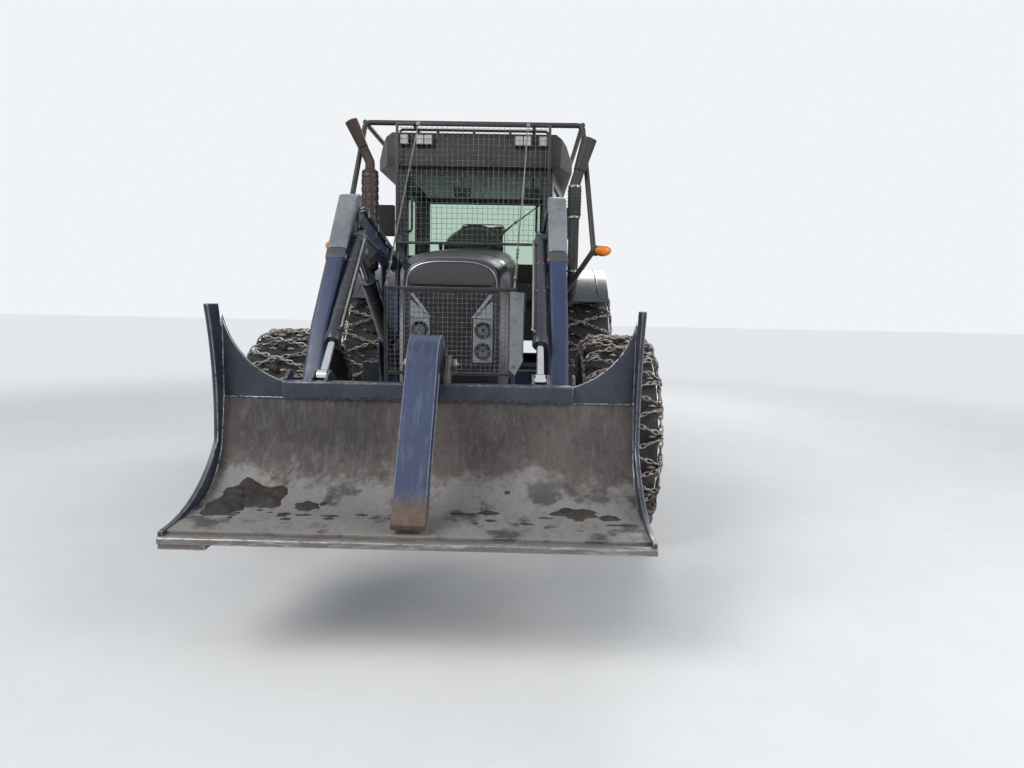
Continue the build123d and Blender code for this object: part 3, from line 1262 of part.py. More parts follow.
mirror_arm_z = 2200
foot_z = (mirror_arm_z - 25, mirror_arm_z + 25)
with BuildPart() as mirrors:
    for side in (1, -1):
        pillar_y = pillar_front(mirror_arm_z)
        plate([(pillar_y - 24, foot_z[0]), (pillar_y - 24, foot_z[1]),
               (pillar_front(foot_z[1]) - seat_gap, foot_z[1]),
               (pillar_front(foot_z[0]) - seat_gap, foot_z[0])], sorted((side * 605, side * 640)))
        bar((side * 690, pillar_y - 40, mirror_arm_z), (side * 622, pillar_y - 16, mirror_arm_z), 10)
        block(sorted((side * 660, side * 820)), (pillar_y - 75, pillar_y - 40),
              (mirror_arm_z - 120, mirror_arm_z + 130))
mirrors.part.label = "mirrors"
export_step(mirrors.part, "parts/mirrors.step")

# Rear linkage: lower links, lift arms and rods, a stowed top link and a drawbar
hitch_plate_y = rear_axle_y + 330 + seat_gap
link_eye_y = rear_axle_y + hitch_reach - 45
link_x = 435
link_bore = 18.75
link_ball_half = 22.5
drawbar_eye_y = rear_axle_y + 640
with BuildPart() as rear_hitch:
    block((-345, 345), (hitch_plate_y, hitch_plate_y + 40), (480, 1150))
    for side in (1, -1):
        bar((side * 300, hitch_plate_y + 20, 580), (side * link_x, link_eye_y - 30, 610), 26)
        cross_bar(link_eye_y, 610, 45, (side * link_x - link_ball_half, side * link_x + link_ball_half))
        cross_bar(link_eye_y, 610, link_bore, (side * link_x - 60, side * link_x + 60), mode=Mode.SUBTRACT)
        bar((side * 330, hitch_plate_y + 20, 1110), (side * 385, rear_axle_y + 700, 1190), 32)
        bar((side * 385, rear_axle_y + 690, 1200), (side * 385, rear_axle_y + 700, 600), 18)
    bar((0, hitch_plate_y + 90, 960), (0, hitch_plate_y + 90, 1480), 24)
    block((-40, 40), (hitch_plate_y + 30, hitch_plate_y + 110), (920, 970))
    block((-50, 50), (hitch_plate_y + 30, drawbar_eye_y + 60), (490, 530))
    bar((0, drawbar_eye_y, 480), (0, drawbar_eye_y, 540), 16.5, mode=Mode.SUBTRACT)
rear_hitch.part.label = "rear_hitch"
export_step(rear_hitch.part, "parts/rear_hitch.step")
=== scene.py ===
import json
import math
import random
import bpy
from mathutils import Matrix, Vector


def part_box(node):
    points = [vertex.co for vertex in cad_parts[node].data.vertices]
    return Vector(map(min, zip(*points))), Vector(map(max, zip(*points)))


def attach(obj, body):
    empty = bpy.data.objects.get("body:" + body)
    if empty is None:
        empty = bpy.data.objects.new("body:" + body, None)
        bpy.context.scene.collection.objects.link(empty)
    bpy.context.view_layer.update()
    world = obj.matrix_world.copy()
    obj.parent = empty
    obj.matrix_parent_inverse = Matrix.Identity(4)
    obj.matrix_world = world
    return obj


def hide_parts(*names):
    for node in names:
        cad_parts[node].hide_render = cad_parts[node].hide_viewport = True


bl_info = {
    "name": "Forestry Tractor with Log Blade",
    "version": (1, 0, 0),
    "blender": (4, 5, 0),
    "location": "View3D > Sidebar > Forestry Tractor",
    "description": "Dresses the packed tractor with chains, guards, cab fittings and worn finishes",
    "category": "Object",
}

import bmesh
import bpy
from bpy.props import FloatProperty, FloatVectorProperty, IntProperty, PointerProperty
from mathutils import Matrix, Vector, noise
from mathutils.bvhtree import BVHTree

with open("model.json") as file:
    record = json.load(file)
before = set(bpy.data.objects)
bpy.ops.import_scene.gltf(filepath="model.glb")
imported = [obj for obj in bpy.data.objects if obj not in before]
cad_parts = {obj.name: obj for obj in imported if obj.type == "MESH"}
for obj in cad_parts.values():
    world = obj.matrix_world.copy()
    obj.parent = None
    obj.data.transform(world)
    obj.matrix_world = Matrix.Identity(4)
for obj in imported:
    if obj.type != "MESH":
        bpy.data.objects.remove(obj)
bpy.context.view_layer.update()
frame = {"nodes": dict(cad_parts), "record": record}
SIDES = ((1, "left"), (-1, "right"))
BOX = {name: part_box(name) for name in frame["nodes"]}


# Node trees

class Tree:
    """Adds nodes to a tree and sets or links their inputs."""

    def __init__(self, tree):
        self.tree = tree

    def add(self, kind, inputs=None, **settings):
        node = self.tree.nodes.new(kind)
        for name, value in settings.items():
            setattr(node, name, value)
        for name, value in (inputs or {}).items():
            self.set(node.inputs[name], value)
        return node

    def set(self, socket, value):
        if isinstance(value, bpy.types.NodeSocket):
            self.tree.links.new(value, socket)
        else:
            socket.default_value = value

    def math(self, operation, *values):
        node = self.add("ShaderNodeMath", operation=operation)
        for index, value in enumerate(values):
            self.set(node.inputs[index], value)
        return node.outputs[0]

    def mix(self, factor, first, second, blend="MIX"):
        node = self.add("ShaderNodeMix", data_type="RGBA", blend_type=blend)
        self.set(node.inputs[0], factor)
        self.set(node.inputs[6], first)
        self.set(node.inputs[7], second)
        return node.outputs[2]

    def ramp(self, value, low, high):
        """Zero below one value, one above another, and smooth between them."""
        node = self.add("ShaderNodeMapRange", interpolation_type="SMOOTHSTEP")
        self.set(node.inputs["Value"], value)
        node.inputs["From Min"].default_value = low
        node.inputs["From Max"].default_value = high
        return node.outputs["Result"]

    def noise(self, vector, scale, detail=4.0, roughness=0.6):
        node = self.add("ShaderNodeTexNoise", {"Vector": vector, "Scale": scale, "Detail": detail,
                                               "Roughness": roughness})
        return node.outputs["Fac"]


GROUPS = {}


def shader_group(name, sockets_in, sockets_out, build):
    """Makes a shader node group once. Sockets are (name, type, default)."""
    tree = bpy.data.node_groups.new(name, "ShaderNodeTree")
    for label, kind, value in sockets_in:
        socket = tree.interface.new_socket(label, in_out="INPUT", socket_type=kind)
        if value is not None:
            socket.default_value = value
    for label, kind in sockets_out:
        tree.interface.new_socket(label, in_out="OUTPUT", socket_type=kind)
    made = Tree(tree)
    results = build(made, made.add("NodeGroupInput").outputs)
    output = made.add("NodeGroupOutput")
    for label, value in results.items():
        made.set(output.inputs[label], value)
    GROUPS[name] = tree


FLOAT, COLOUR, VECTOR = "NodeSocketFloat", "NodeSocketColor", "NodeSocketVector"


def build_mottle(t, given):
    """Two colours mixed by broad and fine noise."""
    place = t.add("ShaderNodeTexCoord").outputs["Object"]
    broad = t.noise(place, given["Scale"], 5.0)
    fine = t.noise(place, t.math("MULTIPLY", given["Scale"], 9.0), 3.0)
    both = t.math("ADD", t.math("MULTIPLY", broad, 0.7), t.math("MULTIPLY", fine, 0.3))
    mask = t.math("MULTIPLY", t.ramp(both, 0.38, 0.62), given["Amount"])
    return {"Colour": t.mix(mask, given["First"], given["Second"]), "Mask": mask}


def build_edge_wear(t, given):
    """A mask along edges, broken up by noise, and a normal that rounds them."""
    rounded = t.add("ShaderNodeBevel", {"Radius": given["Radius"]}, samples=4).outputs[0]
    flat = t.add("ShaderNodeNewGeometry").outputs["Normal"]
    turn = t.add("ShaderNodeVectorMath", operation="DOT_PRODUCT")
    t.set(turn.inputs[0], rounded)
    t.set(turn.inputs[1], flat)
    place = t.add("ShaderNodeTexCoord").outputs["Object"]
    chips = t.noise(place, 38.0, 5.0, 0.7)
    edge = t.math("SUBTRACT", 1.0, turn.outputs["Value"])
    strength = t.math("MULTIPLY", edge, t.math("MULTIPLY", given["Amount"], t.ramp(chips, 0.36, 0.6)))
    return {"Mask": t.ramp(strength, 0.01, 0.07), "Normal": rounded}


def build_dirt(t, given):
    """Dried mud and dust: thick near the ground and in noisy patches above it."""
    place = t.add("ShaderNodeTexCoord").outputs["Object"]
    height = t.add("ShaderNodeSeparateXYZ", {"Vector": place}).outputs["Z"]
    low = t.math("SUBTRACT", 1.0, t.math("DIVIDE", height, given["Level"]))
    low = t.math("MAXIMUM", low, 0.0)
    patches = t.noise(place, given["Scale"], 6.0, 0.65)
    grains = t.noise(place, t.math("MULTIPLY", given["Scale"], 14.0), 3.0, 0.7)
    cover = t.math("ADD", t.math("MULTIPLY", low, 0.5), t.math("MULTIPLY", given["Amount"], 0.5))
    mask = t.ramp(t.math("ADD", patches, t.math("SUBTRACT", cover, 0.55)), 0.45, 0.62)
    speckle = t.math("MULTIPLY", t.ramp(grains, 0.56, 0.72), t.math("MULTIPLY", cover, 0.7))
    mask = t.math("MAXIMUM", mask, speckle)
    shade = t.mix(grains, (0.030, 0.022, 0.016, 1), (0.105, 0.082, 0.062, 1))
    return {"Mask": mask, "Colour": shade, "Height": t.math("MULTIPLY", mask, t.math("ADD", 0.6, grains))}


def build_scratches(t, given):
    """Fine lines that run mostly one way, for rubbed steel."""
    place = t.add("ShaderNodeTexCoord").outputs["Object"]
    stretched = t.add("ShaderNodeMapping", {"Vector": place, "Scale": given["Stretch"]}).outputs[0]
    lines = t.noise(stretched, 6.0, 8.0, 0.75)
    return {"Mask": t.ramp(lines, 0.5, 0.66), "Height": lines}


def build_grain(t, given):
    """Small unevenness of cast, moulded or brushed surfaces."""
    place = t.add("ShaderNodeTexCoord").outputs["Object"]
    fine = t.noise(place, given["Scale"], 3.0, 0.6)
    broad = t.noise(place, t.math("MULTIPLY", given["Scale"], 0.06), 3.0, 0.5)
    sway = t.math("MULTIPLY", t.math("SUBTRACT", broad, 0.5), given["Spread"])
    level = t.math("ADD", given["Middle"], sway)
    return {"Roughness": level, "Height": fine}


def make_groups():
    """The shader groups that the finishes share."""
    shader_group("Mottle",
                 [("First", COLOUR, (0.2, 0.2, 0.2, 1)), ("Second", COLOUR, (0.3, 0.3, 0.3, 1)),
                  ("Scale", FLOAT, 4.0), ("Amount", FLOAT, 1.0)],
                 [("Colour", COLOUR), ("Mask", FLOAT)], build_mottle)
    shader_group("Edge Wear", [("Radius", FLOAT, 0.004), ("Amount", FLOAT, 1.0)],
                 [("Mask", FLOAT), ("Normal", VECTOR)], build_edge_wear)
    shader_group("Dirt", [("Level", FLOAT, 1.0), ("Scale", FLOAT, 5.0), ("Amount", FLOAT, 0.3)],
                 [("Mask", FLOAT), ("Colour", COLOUR), ("Height", FLOAT)], build_dirt)
    shader_group("Scratches", [("Stretch", VECTOR, (1.0, 1.0, 12.0))],
                 [("Mask", FLOAT), ("Height", FLOAT)], build_scratches)
    shader_group("Grain", [("Scale", FLOAT, 400.0), ("Middle", FLOAT, 0.5), ("Spread", FLOAT, 0.3)],
                 [("Roughness", FLOAT), ("Height", FLOAT)], build_grain)


# Materials

class Finish:
    """A material with one Principled shader, and the shared groups that feed it."""

    def __init__(self, name, **plain):
        self.material = bpy.data.materials.new(name)
        self.material.use_nodes = True
        self.tree = Tree(self.material.node_tree)
        self.shader = self.material.node_tree.nodes["Principled BSDF"]
        for label, value in plain.items():
            self.shader.inputs[label.replace("_", " ")].default_value = value

    def group(self, name, **inputs):
        node = self.tree.add("ShaderNodeGroup", node_tree=GROUPS[name])
        for label, value in inputs.items():
            self.tree.set(node.inputs[label], value)
        return node.outputs

    def feed(self, **values):
        for label, value in values.items():
            self.tree.set(self.shader.inputs[label.replace("_", " ")], value)

    def bump(self, height, distance, strength=0.5, normal=None):
        inputs = {"Height": height, "Distance": distance, "Strength": strength}
        if normal is not None:
            inputs["Normal"] = normal
        return self.tree.add("ShaderNodeBump", inputs).outputs[0]


def rgba(colour):
    """An opaque colour from three channels."""
    return (*colour, 1.0)


def painted(name, paint, second, steel=(0.30, 0.30, 0.31), wear=1.0, radius=0.005, dirt=0.3,
            level=1.2, roughness=0.42, coat=0.0, mottle_scale=3.0):
    """Paint that is worn to steel along its edges and muddy towards the ground."""
    made = Finish(name, Coat_Weight=coat, Coat_Roughness=0.25)
    t = made.tree
    base = made.group("Mottle", First=rgba(paint), Second=rgba(second), Scale=mottle_scale)
    edge = made.group("Edge Wear", Radius=radius, Amount=wear)
    mud = made.group("Dirt", Level=level, Amount=dirt, Scale=5.0)
    grain = made.group("Grain", Scale=320.0, Middle=roughness, Spread=0.35)
    colour = t.mix(edge["Mask"], base["Colour"], rgba(steel))
    colour = t.mix(mud["Mask"], colour, mud["Colour"])
    bare = t.math("MULTIPLY", edge["Mask"], t.math("SUBTRACT", 1.0, mud["Mask"]))
    rough = t.math("MAXIMUM", grain["Roughness"], t.math("MULTIPLY", mud["Mask"], 0.92))
    height = t.math("ADD", t.math("MULTIPLY", grain["Height"], 0.08), mud["Height"])
    made.feed(Base_Color=colour, Metallic=bare, Roughness=rough,
              Normal=made.bump(height, 0.004, 0.45, edge["Normal"]))
    return made.material


def rubbed_steel(name, dark, bright, rust, stretch, rust_amount=0.7, dirt=0.4, level=0.9,
                 roughness=0.45):
    """Bare steel with rust, rubbed streaks and mud."""
    made = Finish(name)
    t = made.tree
    base = made.group("Mottle", First=rgba(dark), Second=rgba(rust), Scale=3.5, Amount=rust_amount)
    lines = made.group("Scratches", Stretch=stretch)
    edge = made.group("Edge Wear", Radius=0.007, Amount=1.6)
    mud = made.group("Dirt", Level=level, Amount=dirt, Scale=3.2)
    rubbed = t.math("MAXIMUM", t.math("MULTIPLY", lines["Mask"], 0.75), edge["Mask"])
    colour = t.mix(rubbed, base["Colour"], rgba(bright))
    colour = t.mix(mud["Mask"], colour, mud["Colour"])
    clean = t.math("SUBTRACT", 1.0, mud["Mask"])
    metallic = t.math("MULTIPLY", t.math("ADD", 0.35, t.math("MULTIPLY", rubbed, 0.6)), clean)
    rough = t.math("ADD", roughness, t.math("MULTIPLY", mud["Mask"], 0.4))
    rough = t.math("SUBTRACT", rough, t.math("MULTIPLY", rubbed, 0.12))
    height = t.math("ADD", t.math("MULTIPLY", lines["Height"], 0.25),
                    t.math("MULTIPLY", mud["Height"], 1.2))
    made.feed(Base_Color=colour, Metallic=metallic, Roughness=rough,
              Normal=made.bump(height, 0.006, 0.5, edge["Normal"]))
    return made.material


def moulded(name, colour, second, roughness=0.6, dirt=0.2, level=1.0, grain_scale=700.0, metallic=0.0,
            specular=0.5):
    """Plastic or rubber with a fine grain and dust."""
    made = Finish(name, Metallic=metallic, Specular_IOR_Level=specular)
    t = made.tree
    base = made.group("Mottle", First=rgba(colour), Second=rgba(second), Scale=6.0)
    edge = made.group("Edge Wear", Radius=0.003, Amount=0.3)
    mud = made.group("Dirt", Level=level, Amount=dirt, Scale=6.0)
    grain = made.group("Grain", Scale=grain_scale, Middle=roughness, Spread=0.3)
    rough = t.math("MAXIMUM", grain["Roughness"], t.math("MULTIPLY", mud["Mask"], 0.9))
    height = t.math("ADD", t.math("MULTIPLY", grain["Height"], 0.2), mud["Height"])
    made.feed(Base_Color=t.mix(mud["Mask"], base["Colour"], mud["Colour"]), Roughness=rough,
              Normal=made.bump(height, 0.002, 0.5, edge["Normal"]))
    return made.material


def tinted_glass(name, tint, dust=0.10):
    """Clear glass with a tint and a film of dust."""
    made = Finish(name, Transmission_Weight=1.0, IOR=1.12, Specular_IOR_Level=0.5)
    t = made.tree
    film = made.group("Dirt", Level=0.5, Amount=dust, Scale=9.0)
    haze = t.math("MULTIPLY", film["Mask"], 0.3)
    place = t.add("ShaderNodeTexCoord").outputs["Object"]
    smear = t.noise(place, 2.2, 4.0)
    colour = t.mix(t.math("MULTIPLY", smear, 0.35), rgba(tint), (0.62, 0.66, 0.60, 1))
    made.feed(Base_Color=t.mix(haze, colour, (0.30, 0.27, 0.22, 1)),
              Roughness=t.math("ADD", 0.015, t.math("MULTIPLY", haze, 0.5)))
    return made.material


def shiny(name, colour, second, roughness=0.12, metallic=1.0, coat=0.0):
    """Chrome, silver trim or a bright lens rim."""
    made = Finish(name, Metallic=metallic, Coat_Weight=coat)
    grain = made.group("Grain", Scale=260.0, Middle=roughness, Spread=0.12)
    base = made.group("Mottle", First=rgba(colour), Second=rgba(second), Scale=9.0, Amount=0.8)
    mud = made.group("Dirt", Level=0.4, Amount=0.1, Scale=8.0)
    t = made.tree
    rough = t.math("ADD", grain["Roughness"], t.math("MULTIPLY", mud["Mask"], 0.5))
    made.feed(Base_Color=t.mix(mud["Mask"], base["Colour"], mud["Colour"]), Roughness=rough,
              Normal=made.bump(grain["Height"], 0.0006, 0.2))
    return made.material


def cloth(name, colour, second):
    """Woven seat cloth."""
    made = Finish(name, Sheen_Weight=0.35, Sheen_Roughness=0.5)
    t = made.tree
    place = t.add("ShaderNodeTexCoord").outputs["Object"]
    threads = []
    for axis in ("X", "Z"):
        wave = t.add("ShaderNodeTexWave", {"Vector": place, "Scale": 210.0, "Distortion": 0.6},
                     bands_direction=axis)
        threads.append(wave.outputs["Fac"])
    weave = t.math("MULTIPLY", threads[0], threads[1])
    base = made.group("Mottle", First=rgba(colour), Second=rgba(second), Scale=8.0)
    grain = made.group("Grain", Scale=900.0, Middle=0.9, Spread=0.1)
    made.feed(Base_Color=t.mix(t.math("MULTIPLY", weave, 0.5), base["Colour"], rgba(second)),
              Roughness=grain["Roughness"], Normal=made.bump(weave, 0.0012, 0.6))
    return made.material


def mouldboard(name):
    """The blade's face: brown scratched steel, with pale dried mud towards its foot."""
    made = Finish(name)
    t = made.tree
    place = t.add("ShaderNodeTexCoord").outputs["Object"]
    height = t.add("ShaderNodeSeparateXYZ", {"Vector": place}).outputs["Z"]
    base = made.group("Mottle", First=(0.040, 0.033, 0.031, 1), Second=(0.088, 0.072, 0.064, 1), Scale=2.6)
    lines = made.group("Scratches", Stretch=(5.0, 1.2, 1.6))
    short = made.group("Scratches", Stretch=(9.0, 2.2, 2.6))
    rubbed = t.math("MULTIPLY", t.math("MAXIMUM", lines["Mask"], short["Mask"]), 0.42)
    colour = t.mix(rubbed, base["Colour"], (0.150, 0.145, 0.150, 1))
    smears = t.noise(place, 3.4, 7.0, 0.72)
    low = t.math("MULTIPLY", t.ramp(t.math("MULTIPLY", height, -1.0), -0.86, -0.60), 0.42)
    pale = t.ramp(t.math("ADD", smears, low), 0.70, 0.86)
    grit = t.noise(place, 42.0, 4.0, 0.7)
    dry = t.mix(grit, (0.145, 0.140, 0.138, 1), (0.31, 0.295, 0.27, 1))
    colour = t.mix(t.math("MULTIPLY", pale, 0.8), colour, dry)
    dark = t.ramp(t.noise(place, 6.5, 5.0, 0.6), 0.52, 0.64)
    colour = t.mix(t.math("MULTIPLY", dark, t.math("MULTIPLY", low, 1.9)), colour, (0.024, 0.019, 0.016, 1))
    edge = made.group("Edge Wear", Radius=0.006, Amount=1.6)
    colour = t.mix(edge["Mask"], colour, (0.30, 0.29, 0.28, 1))
    rise = t.math("ADD", t.math("MULTIPLY", lines["Height"], 0.2), t.math("MULTIPLY", pale, grit))
    made.feed(Base_Color=colour, Metallic=t.math("MULTIPLY", rubbed, 0.9),
              Roughness=t.math("SUBTRACT", 0.72, t.math("MULTIPLY", rubbed, 0.5)),
              Normal=made.bump(rise, 0.005, 0.5, edge["Normal"]))
    return made.material


def rusty_tip(name, paint):
    """Loader paint that has worn off and rusted towards the clamp's tip."""
    made = Finish(name)
    t = made.tree
    place = t.add("ShaderNodeTexCoord").outputs["Object"]
    height = t.add("ShaderNodeSeparateXYZ", {"Vector": place}).outputs["Z"]
    base = made.group("Mottle", First=rgba(paint), Second=rgba([c * 1.3 for c in paint]), Scale=3.0)
    edge = made.group("Edge Wear", Radius=0.008, Amount=2.4)
    lines = made.group("Scratches", Stretch=(6.0, 1.0, 1.0))
    patches = t.math("ADD", t.math("MULTIPLY", t.noise(place, 12.0, 6.0, 0.7), 0.6),
                     t.math("MULTIPLY", t.noise(place, 55.0, 4.0, 0.7), 0.55))
    worn = t.math("ADD", patches, t.ramp(t.math("MULTIPLY", height, -1.0), -0.86, -0.56))
    rust = t.ramp(worn, 0.86, 1.30)
    colour = t.mix(edge["Mask"], base["Colour"], (0.28, 0.29, 0.31, 1))
    colour = t.mix(t.math("MULTIPLY", lines["Mask"], 0.35), colour, (0.12, 0.14, 0.17, 1))
    brown = t.mix(t.noise(place, 30.0, 4.0, 0.6), (0.055, 0.032, 0.022, 1), (0.155, 0.105, 0.080, 1))
    colour = t.mix(rust, colour, brown)
    grain = made.group("Grain", Scale=320.0, Middle=0.42, Spread=0.35)
    rough = t.math("ADD", grain["Roughness"], t.math("MULTIPLY", rust, 0.35))
    rise = t.math("ADD", t.math("MULTIPLY", grain["Height"], 0.1), rust)
    made.feed(Base_Color=colour, Roughness=rough, Normal=made.bump(rise, 0.003, 0.4, edge["Normal"]))
    return made.material


def muddy_rubber(name):
    """Tyre rubber with dried mud between its lugs."""
    made = Finish(name, Specular_IOR_Level=0.3)
    t = made.tree
    base = made.group("Mottle", First=(0.018, 0.017, 0.017, 1), Second=(0.040, 0.037, 0.034, 1), Scale=7.0)
    mud = made.group("Dirt", Level=1.9, Amount=0.42, Scale=7.0)
    grain = made.group("Grain", Scale=240.0, Middle=0.75, Spread=0.3)
    edge = made.group("Edge Wear", Radius=0.006, Amount=0.5)
    colour = t.mix(edge["Mask"], base["Colour"], (0.070, 0.066, 0.062, 1))
    colour = t.mix(t.math("MULTIPLY", mud["Mask"], 0.85), colour, mud["Colour"])
    height = t.math("ADD", t.math("MULTIPLY", grain["Height"], 0.25),
                    t.math("MULTIPLY", mud["Height"], 1.4))
    made.feed(Base_Color=colour, Roughness=t.math("MAXIMUM", grain["Roughness"], 0.6),
              Normal=made.bump(height, 0.006, 0.7, edge["Normal"]))
    return made.material


MATERIALS = {}


def make_materials(colours):
    """Every finish, by the name of its slot or look."""
    loader = tuple(colours.loader)
    M = MATERIALS
    M["loader_steel"] = painted("Worn Loader Paint", loader, tuple(c * 1.35 for c in loader),
                                steel=(0.33, 0.35, 0.38), wear=2.2, radius=0.007, dirt=0.22,
                                level=0.8, roughness=0.36)
    M["blade_steel"] = mouldboard("Scratched Mouldboard")
    M["blade_paint"] = painted("Blade Frame Paint", (0.014, 0.019, 0.032), (0.034, 0.040, 0.055),
                               steel=(0.42, 0.44, 0.47), wear=2.6, radius=0.008, dirt=0.30, level=0.85,
                               roughness=0.38, mottle_scale=5.0)
    M["clamp_steel"] = rusty_tip("Clamp Paint", loader)
    M["arm_plate"] = painted("Arm Plate", (0.050, 0.062, 0.066), (0.075, 0.088, 0.090),
                             steel=(0.33, 0.35, 0.38), wear=1.8, radius=0.006, dirt=0.22, level=0.8,
                             roughness=0.42)
    M["wet_mud"] = moulded("Clods of Mud", (0.011, 0.009, 0.007), (0.027, 0.021, 0.017), roughness=0.75,
                           dirt=0.08, level=2.0, grain_scale=120.0)
    M["edge_steel"] = rubbed_steel("Worn Cutting Edge", (0.16, 0.155, 0.15), (0.46, 0.45, 0.43),
                                   (0.12, 0.075, 0.05), (1.0, 9.0, 9.0), rust_amount=0.4, dirt=0.25)
    M["body_paint"] = painted("Dark Hood Paint", tuple(colours.body), (0.012, 0.014, 0.020), wear=0.5,
                              radius=0.008, dirt=0.05, level=0.9, roughness=0.33, coat=0.35)
    M["cab_paint"] = painted("Black Cab Paint", (0.013, 0.014, 0.017), (0.024, 0.025, 0.028), wear=0.6,
                             dirt=0.15, level=1.0, roughness=0.35)
    M["roof_paint"] = painted("Roof Paint", (0.015, 0.010, 0.010), (0.028, 0.019, 0.017), wear=0.3,
                              radius=0.012, dirt=0.2, level=0.8, roughness=0.5)
    M["guard_paint"] = painted("Guard Paint", (0.011, 0.012, 0.015), (0.024, 0.022, 0.021), wear=1.0,
                               dirt=0.15, level=0.9, roughness=0.5)
    M["plate_paint"] = painted("Guard Side Plate", (0.17, 0.19, 0.20), (0.22, 0.24, 0.25), wear=0.8,
                               dirt=0.3, level=1.2, roughness=0.45)
    M["gloss_black"] = painted("Gloss Black Panel", (0.007, 0.007, 0.009), (0.012, 0.012, 0.014), wear=0.3,
                               dirt=0.12, level=0.9, roughness=0.16, coat=0.7)
    M["cover_steel"] = painted("Knee Cover Steel", (0.115, 0.125, 0.14), (0.19, 0.20, 0.21),
                               steel=(0.45, 0.46, 0.47), wear=2.4, radius=0.009, dirt=0.2, level=0.8,
                               roughness=0.34)
    M["fender_paint"] = painted("Fender Paint", (0.014, 0.020, 0.032), (0.026, 0.033, 0.044), wear=0.7,
                                dirt=0.30, level=1.5, roughness=0.30, coat=0.3)
    M["cast_metal"] = painted("Greasy Casting", (0.030, 0.030, 0.032), (0.055, 0.050, 0.046), wear=0.6,
                              dirt=0.5, level=1.3, roughness=0.55)
    M["rim_paint"] = painted("Rim Paint", (0.10, 0.105, 0.11), (0.15, 0.15, 0.15), wear=1.0, dirt=0.45,
                             level=1.6, roughness=0.5)
    M["tyre_rubber"] = muddy_rubber("Muddy Tyre")
    M["chain_steel"] = rubbed_steel("Chain Steel", (0.10, 0.085, 0.075), (0.42, 0.40, 0.38),
                                    (0.11, 0.065, 0.045), (9.0, 9.0, 9.0), dirt=0.3, level=1.4)
    M["glass"] = tinted_glass("Green Glass", (0.72, 0.84, 0.76))
    M["lamp_lens"] = tinted_glass("Lamp Lens", (0.95, 0.96, 0.97), dust=0.02)
    M["ribbed_lens"] = moulded("Ribbed Lamp Glass", (0.55, 0.53, 0.48), (0.42, 0.40, 0.36), roughness=0.22,
                               dirt=0.12, grain_scale=120.0)
    M["amber_lens"] = moulded("Amber Lens", (0.75, 0.22, 0.02), (0.60, 0.15, 0.01),
                              roughness=0.15, dirt=0.05)
    M["red_lens"] = moulded("Red Lens", (0.45, 0.015, 0.01), (0.35, 0.01, 0.01), roughness=0.15, dirt=0.05)
    M["trim_plastic"] = moulded("Black Plastic", (0.014, 0.014, 0.015), (0.024, 0.024, 0.025))
    M["soft_rubber"] = moulded("Hose Rubber", (0.010, 0.010, 0.010), (0.020, 0.019, 0.018), roughness=0.7,
                               dirt=0.25, grain_scale=350.0)
    M["grey_plastic"] = moulded("Grey Plastic", (0.10, 0.115, 0.13), (0.13, 0.145, 0.16), roughness=0.45,
                                dirt=0.1)
    M["seat_fabric"] = cloth("Seat Cloth", (0.022, 0.023, 0.026), (0.060, 0.062, 0.068))
    M["lamp_panel"] = painted("Headlamp Panel", (0.36, 0.38, 0.40), (0.44, 0.46, 0.47), wear=0.2, dirt=0.12,
                              level=1.0, roughness=0.28, coat=0.4)
    M["headliner"] = moulded("Pale Headliner", (0.40, 0.42, 0.39), (0.48, 0.50, 0.46), roughness=0.8,
                             dirt=0.05, grain_scale=200.0)
    M["cylinder_paint"] = painted("Cylinder Paint", (0.012, 0.015, 0.022), (0.026, 0.030, 0.038), wear=1.0,
                                  dirt=0.25, level=0.8, roughness=0.34)
    M["chrome_rod"] = shiny("Chromed Rod", (0.62, 0.63, 0.65), (0.50, 0.51, 0.53), 0.10)
    M["silver_trim"] = shiny("Silver Trim", (0.42, 0.45, 0.48), (0.34, 0.36, 0.39), 0.3)
    M["reflector"] = shiny("Lamp Reflector", (0.82, 0.83, 0.84), (0.70, 0.71, 0.72), 0.08)
    M["mirror_glass"] = shiny("Mirror Glass", (0.70, 0.72, 0.74), (0.62, 0.64, 0.66), 0.04)
    M["zinc"] = shiny("Zinc Fitting", (0.34, 0.33, 0.30), (0.22, 0.21, 0.19), 0.38)
    M["exhaust_steel"] = rubbed_steel("Rusty Exhaust", (0.028, 0.020, 0.017), (0.080, 0.060, 0.050),
                                      (0.060, 0.031, 0.020), (4.0, 4.0, 2.0), dirt=0.1, level=0.2,
                                      roughness=0.6)
    M["cable_steel"] = rubbed_steel("Wire Rope", (0.09, 0.09, 0.09), (0.30, 0.30, 0.30),
                                    (0.10, 0.07, 0.05), (60.0, 60.0, 60.0), dirt=0.05, level=0.3)


def dress_nodes():
    """Gives every CAD node the finish of its material slot."""
    for entry in frame["record"]["subparts"]:
        kind = "cylinder_paint" if "barrel" in entry["node"] else entry["material_slot"]
        made = MATERIALS[kind]
        mesh = frame["nodes"][entry["node"]].data
        mesh.materials.clear()
        mesh.materials.append(made)


# Meshes

MERGE_DISTANCE = 0.00002


def blanks(count):
    """Several new bmeshes."""
    return [bmesh.new() for _ in range(count)]


def clean(bm):
    """Merges points that coincide and turns every face outwards."""
    bmesh.ops.remove_doubles(bm, verts=bm.verts, dist=MERGE_DISTANCE)
    bmesh.ops.recalc_face_normals(bm, faces=bm.faces)


def mesh_from(name, bm):
    """A mesh from a bmesh, which is freed."""
    mesh = bpy.data.meshes.new(name)
    bm.to_mesh(mesh)
    bm.free()
    return mesh


def add_object(name, data):
    """A new object in the scene."""
    obj = bpy.data.objects.new(name, data)
    bpy.context.scene.collection.objects.link(obj)
    return obj


def place_mesh(name, mesh, material, smooth_angle=40):
    """A mesh as an object with one material, smooth below an angle."""
    obj = add_object(name, mesh)
    mesh.materials.clear()
    mesh.materials.append(MATERIALS[material])
    mesh.shade_smooth()
    mesh.set_sharp_from_angle(angle=math.radians(smooth_angle))
    return obj


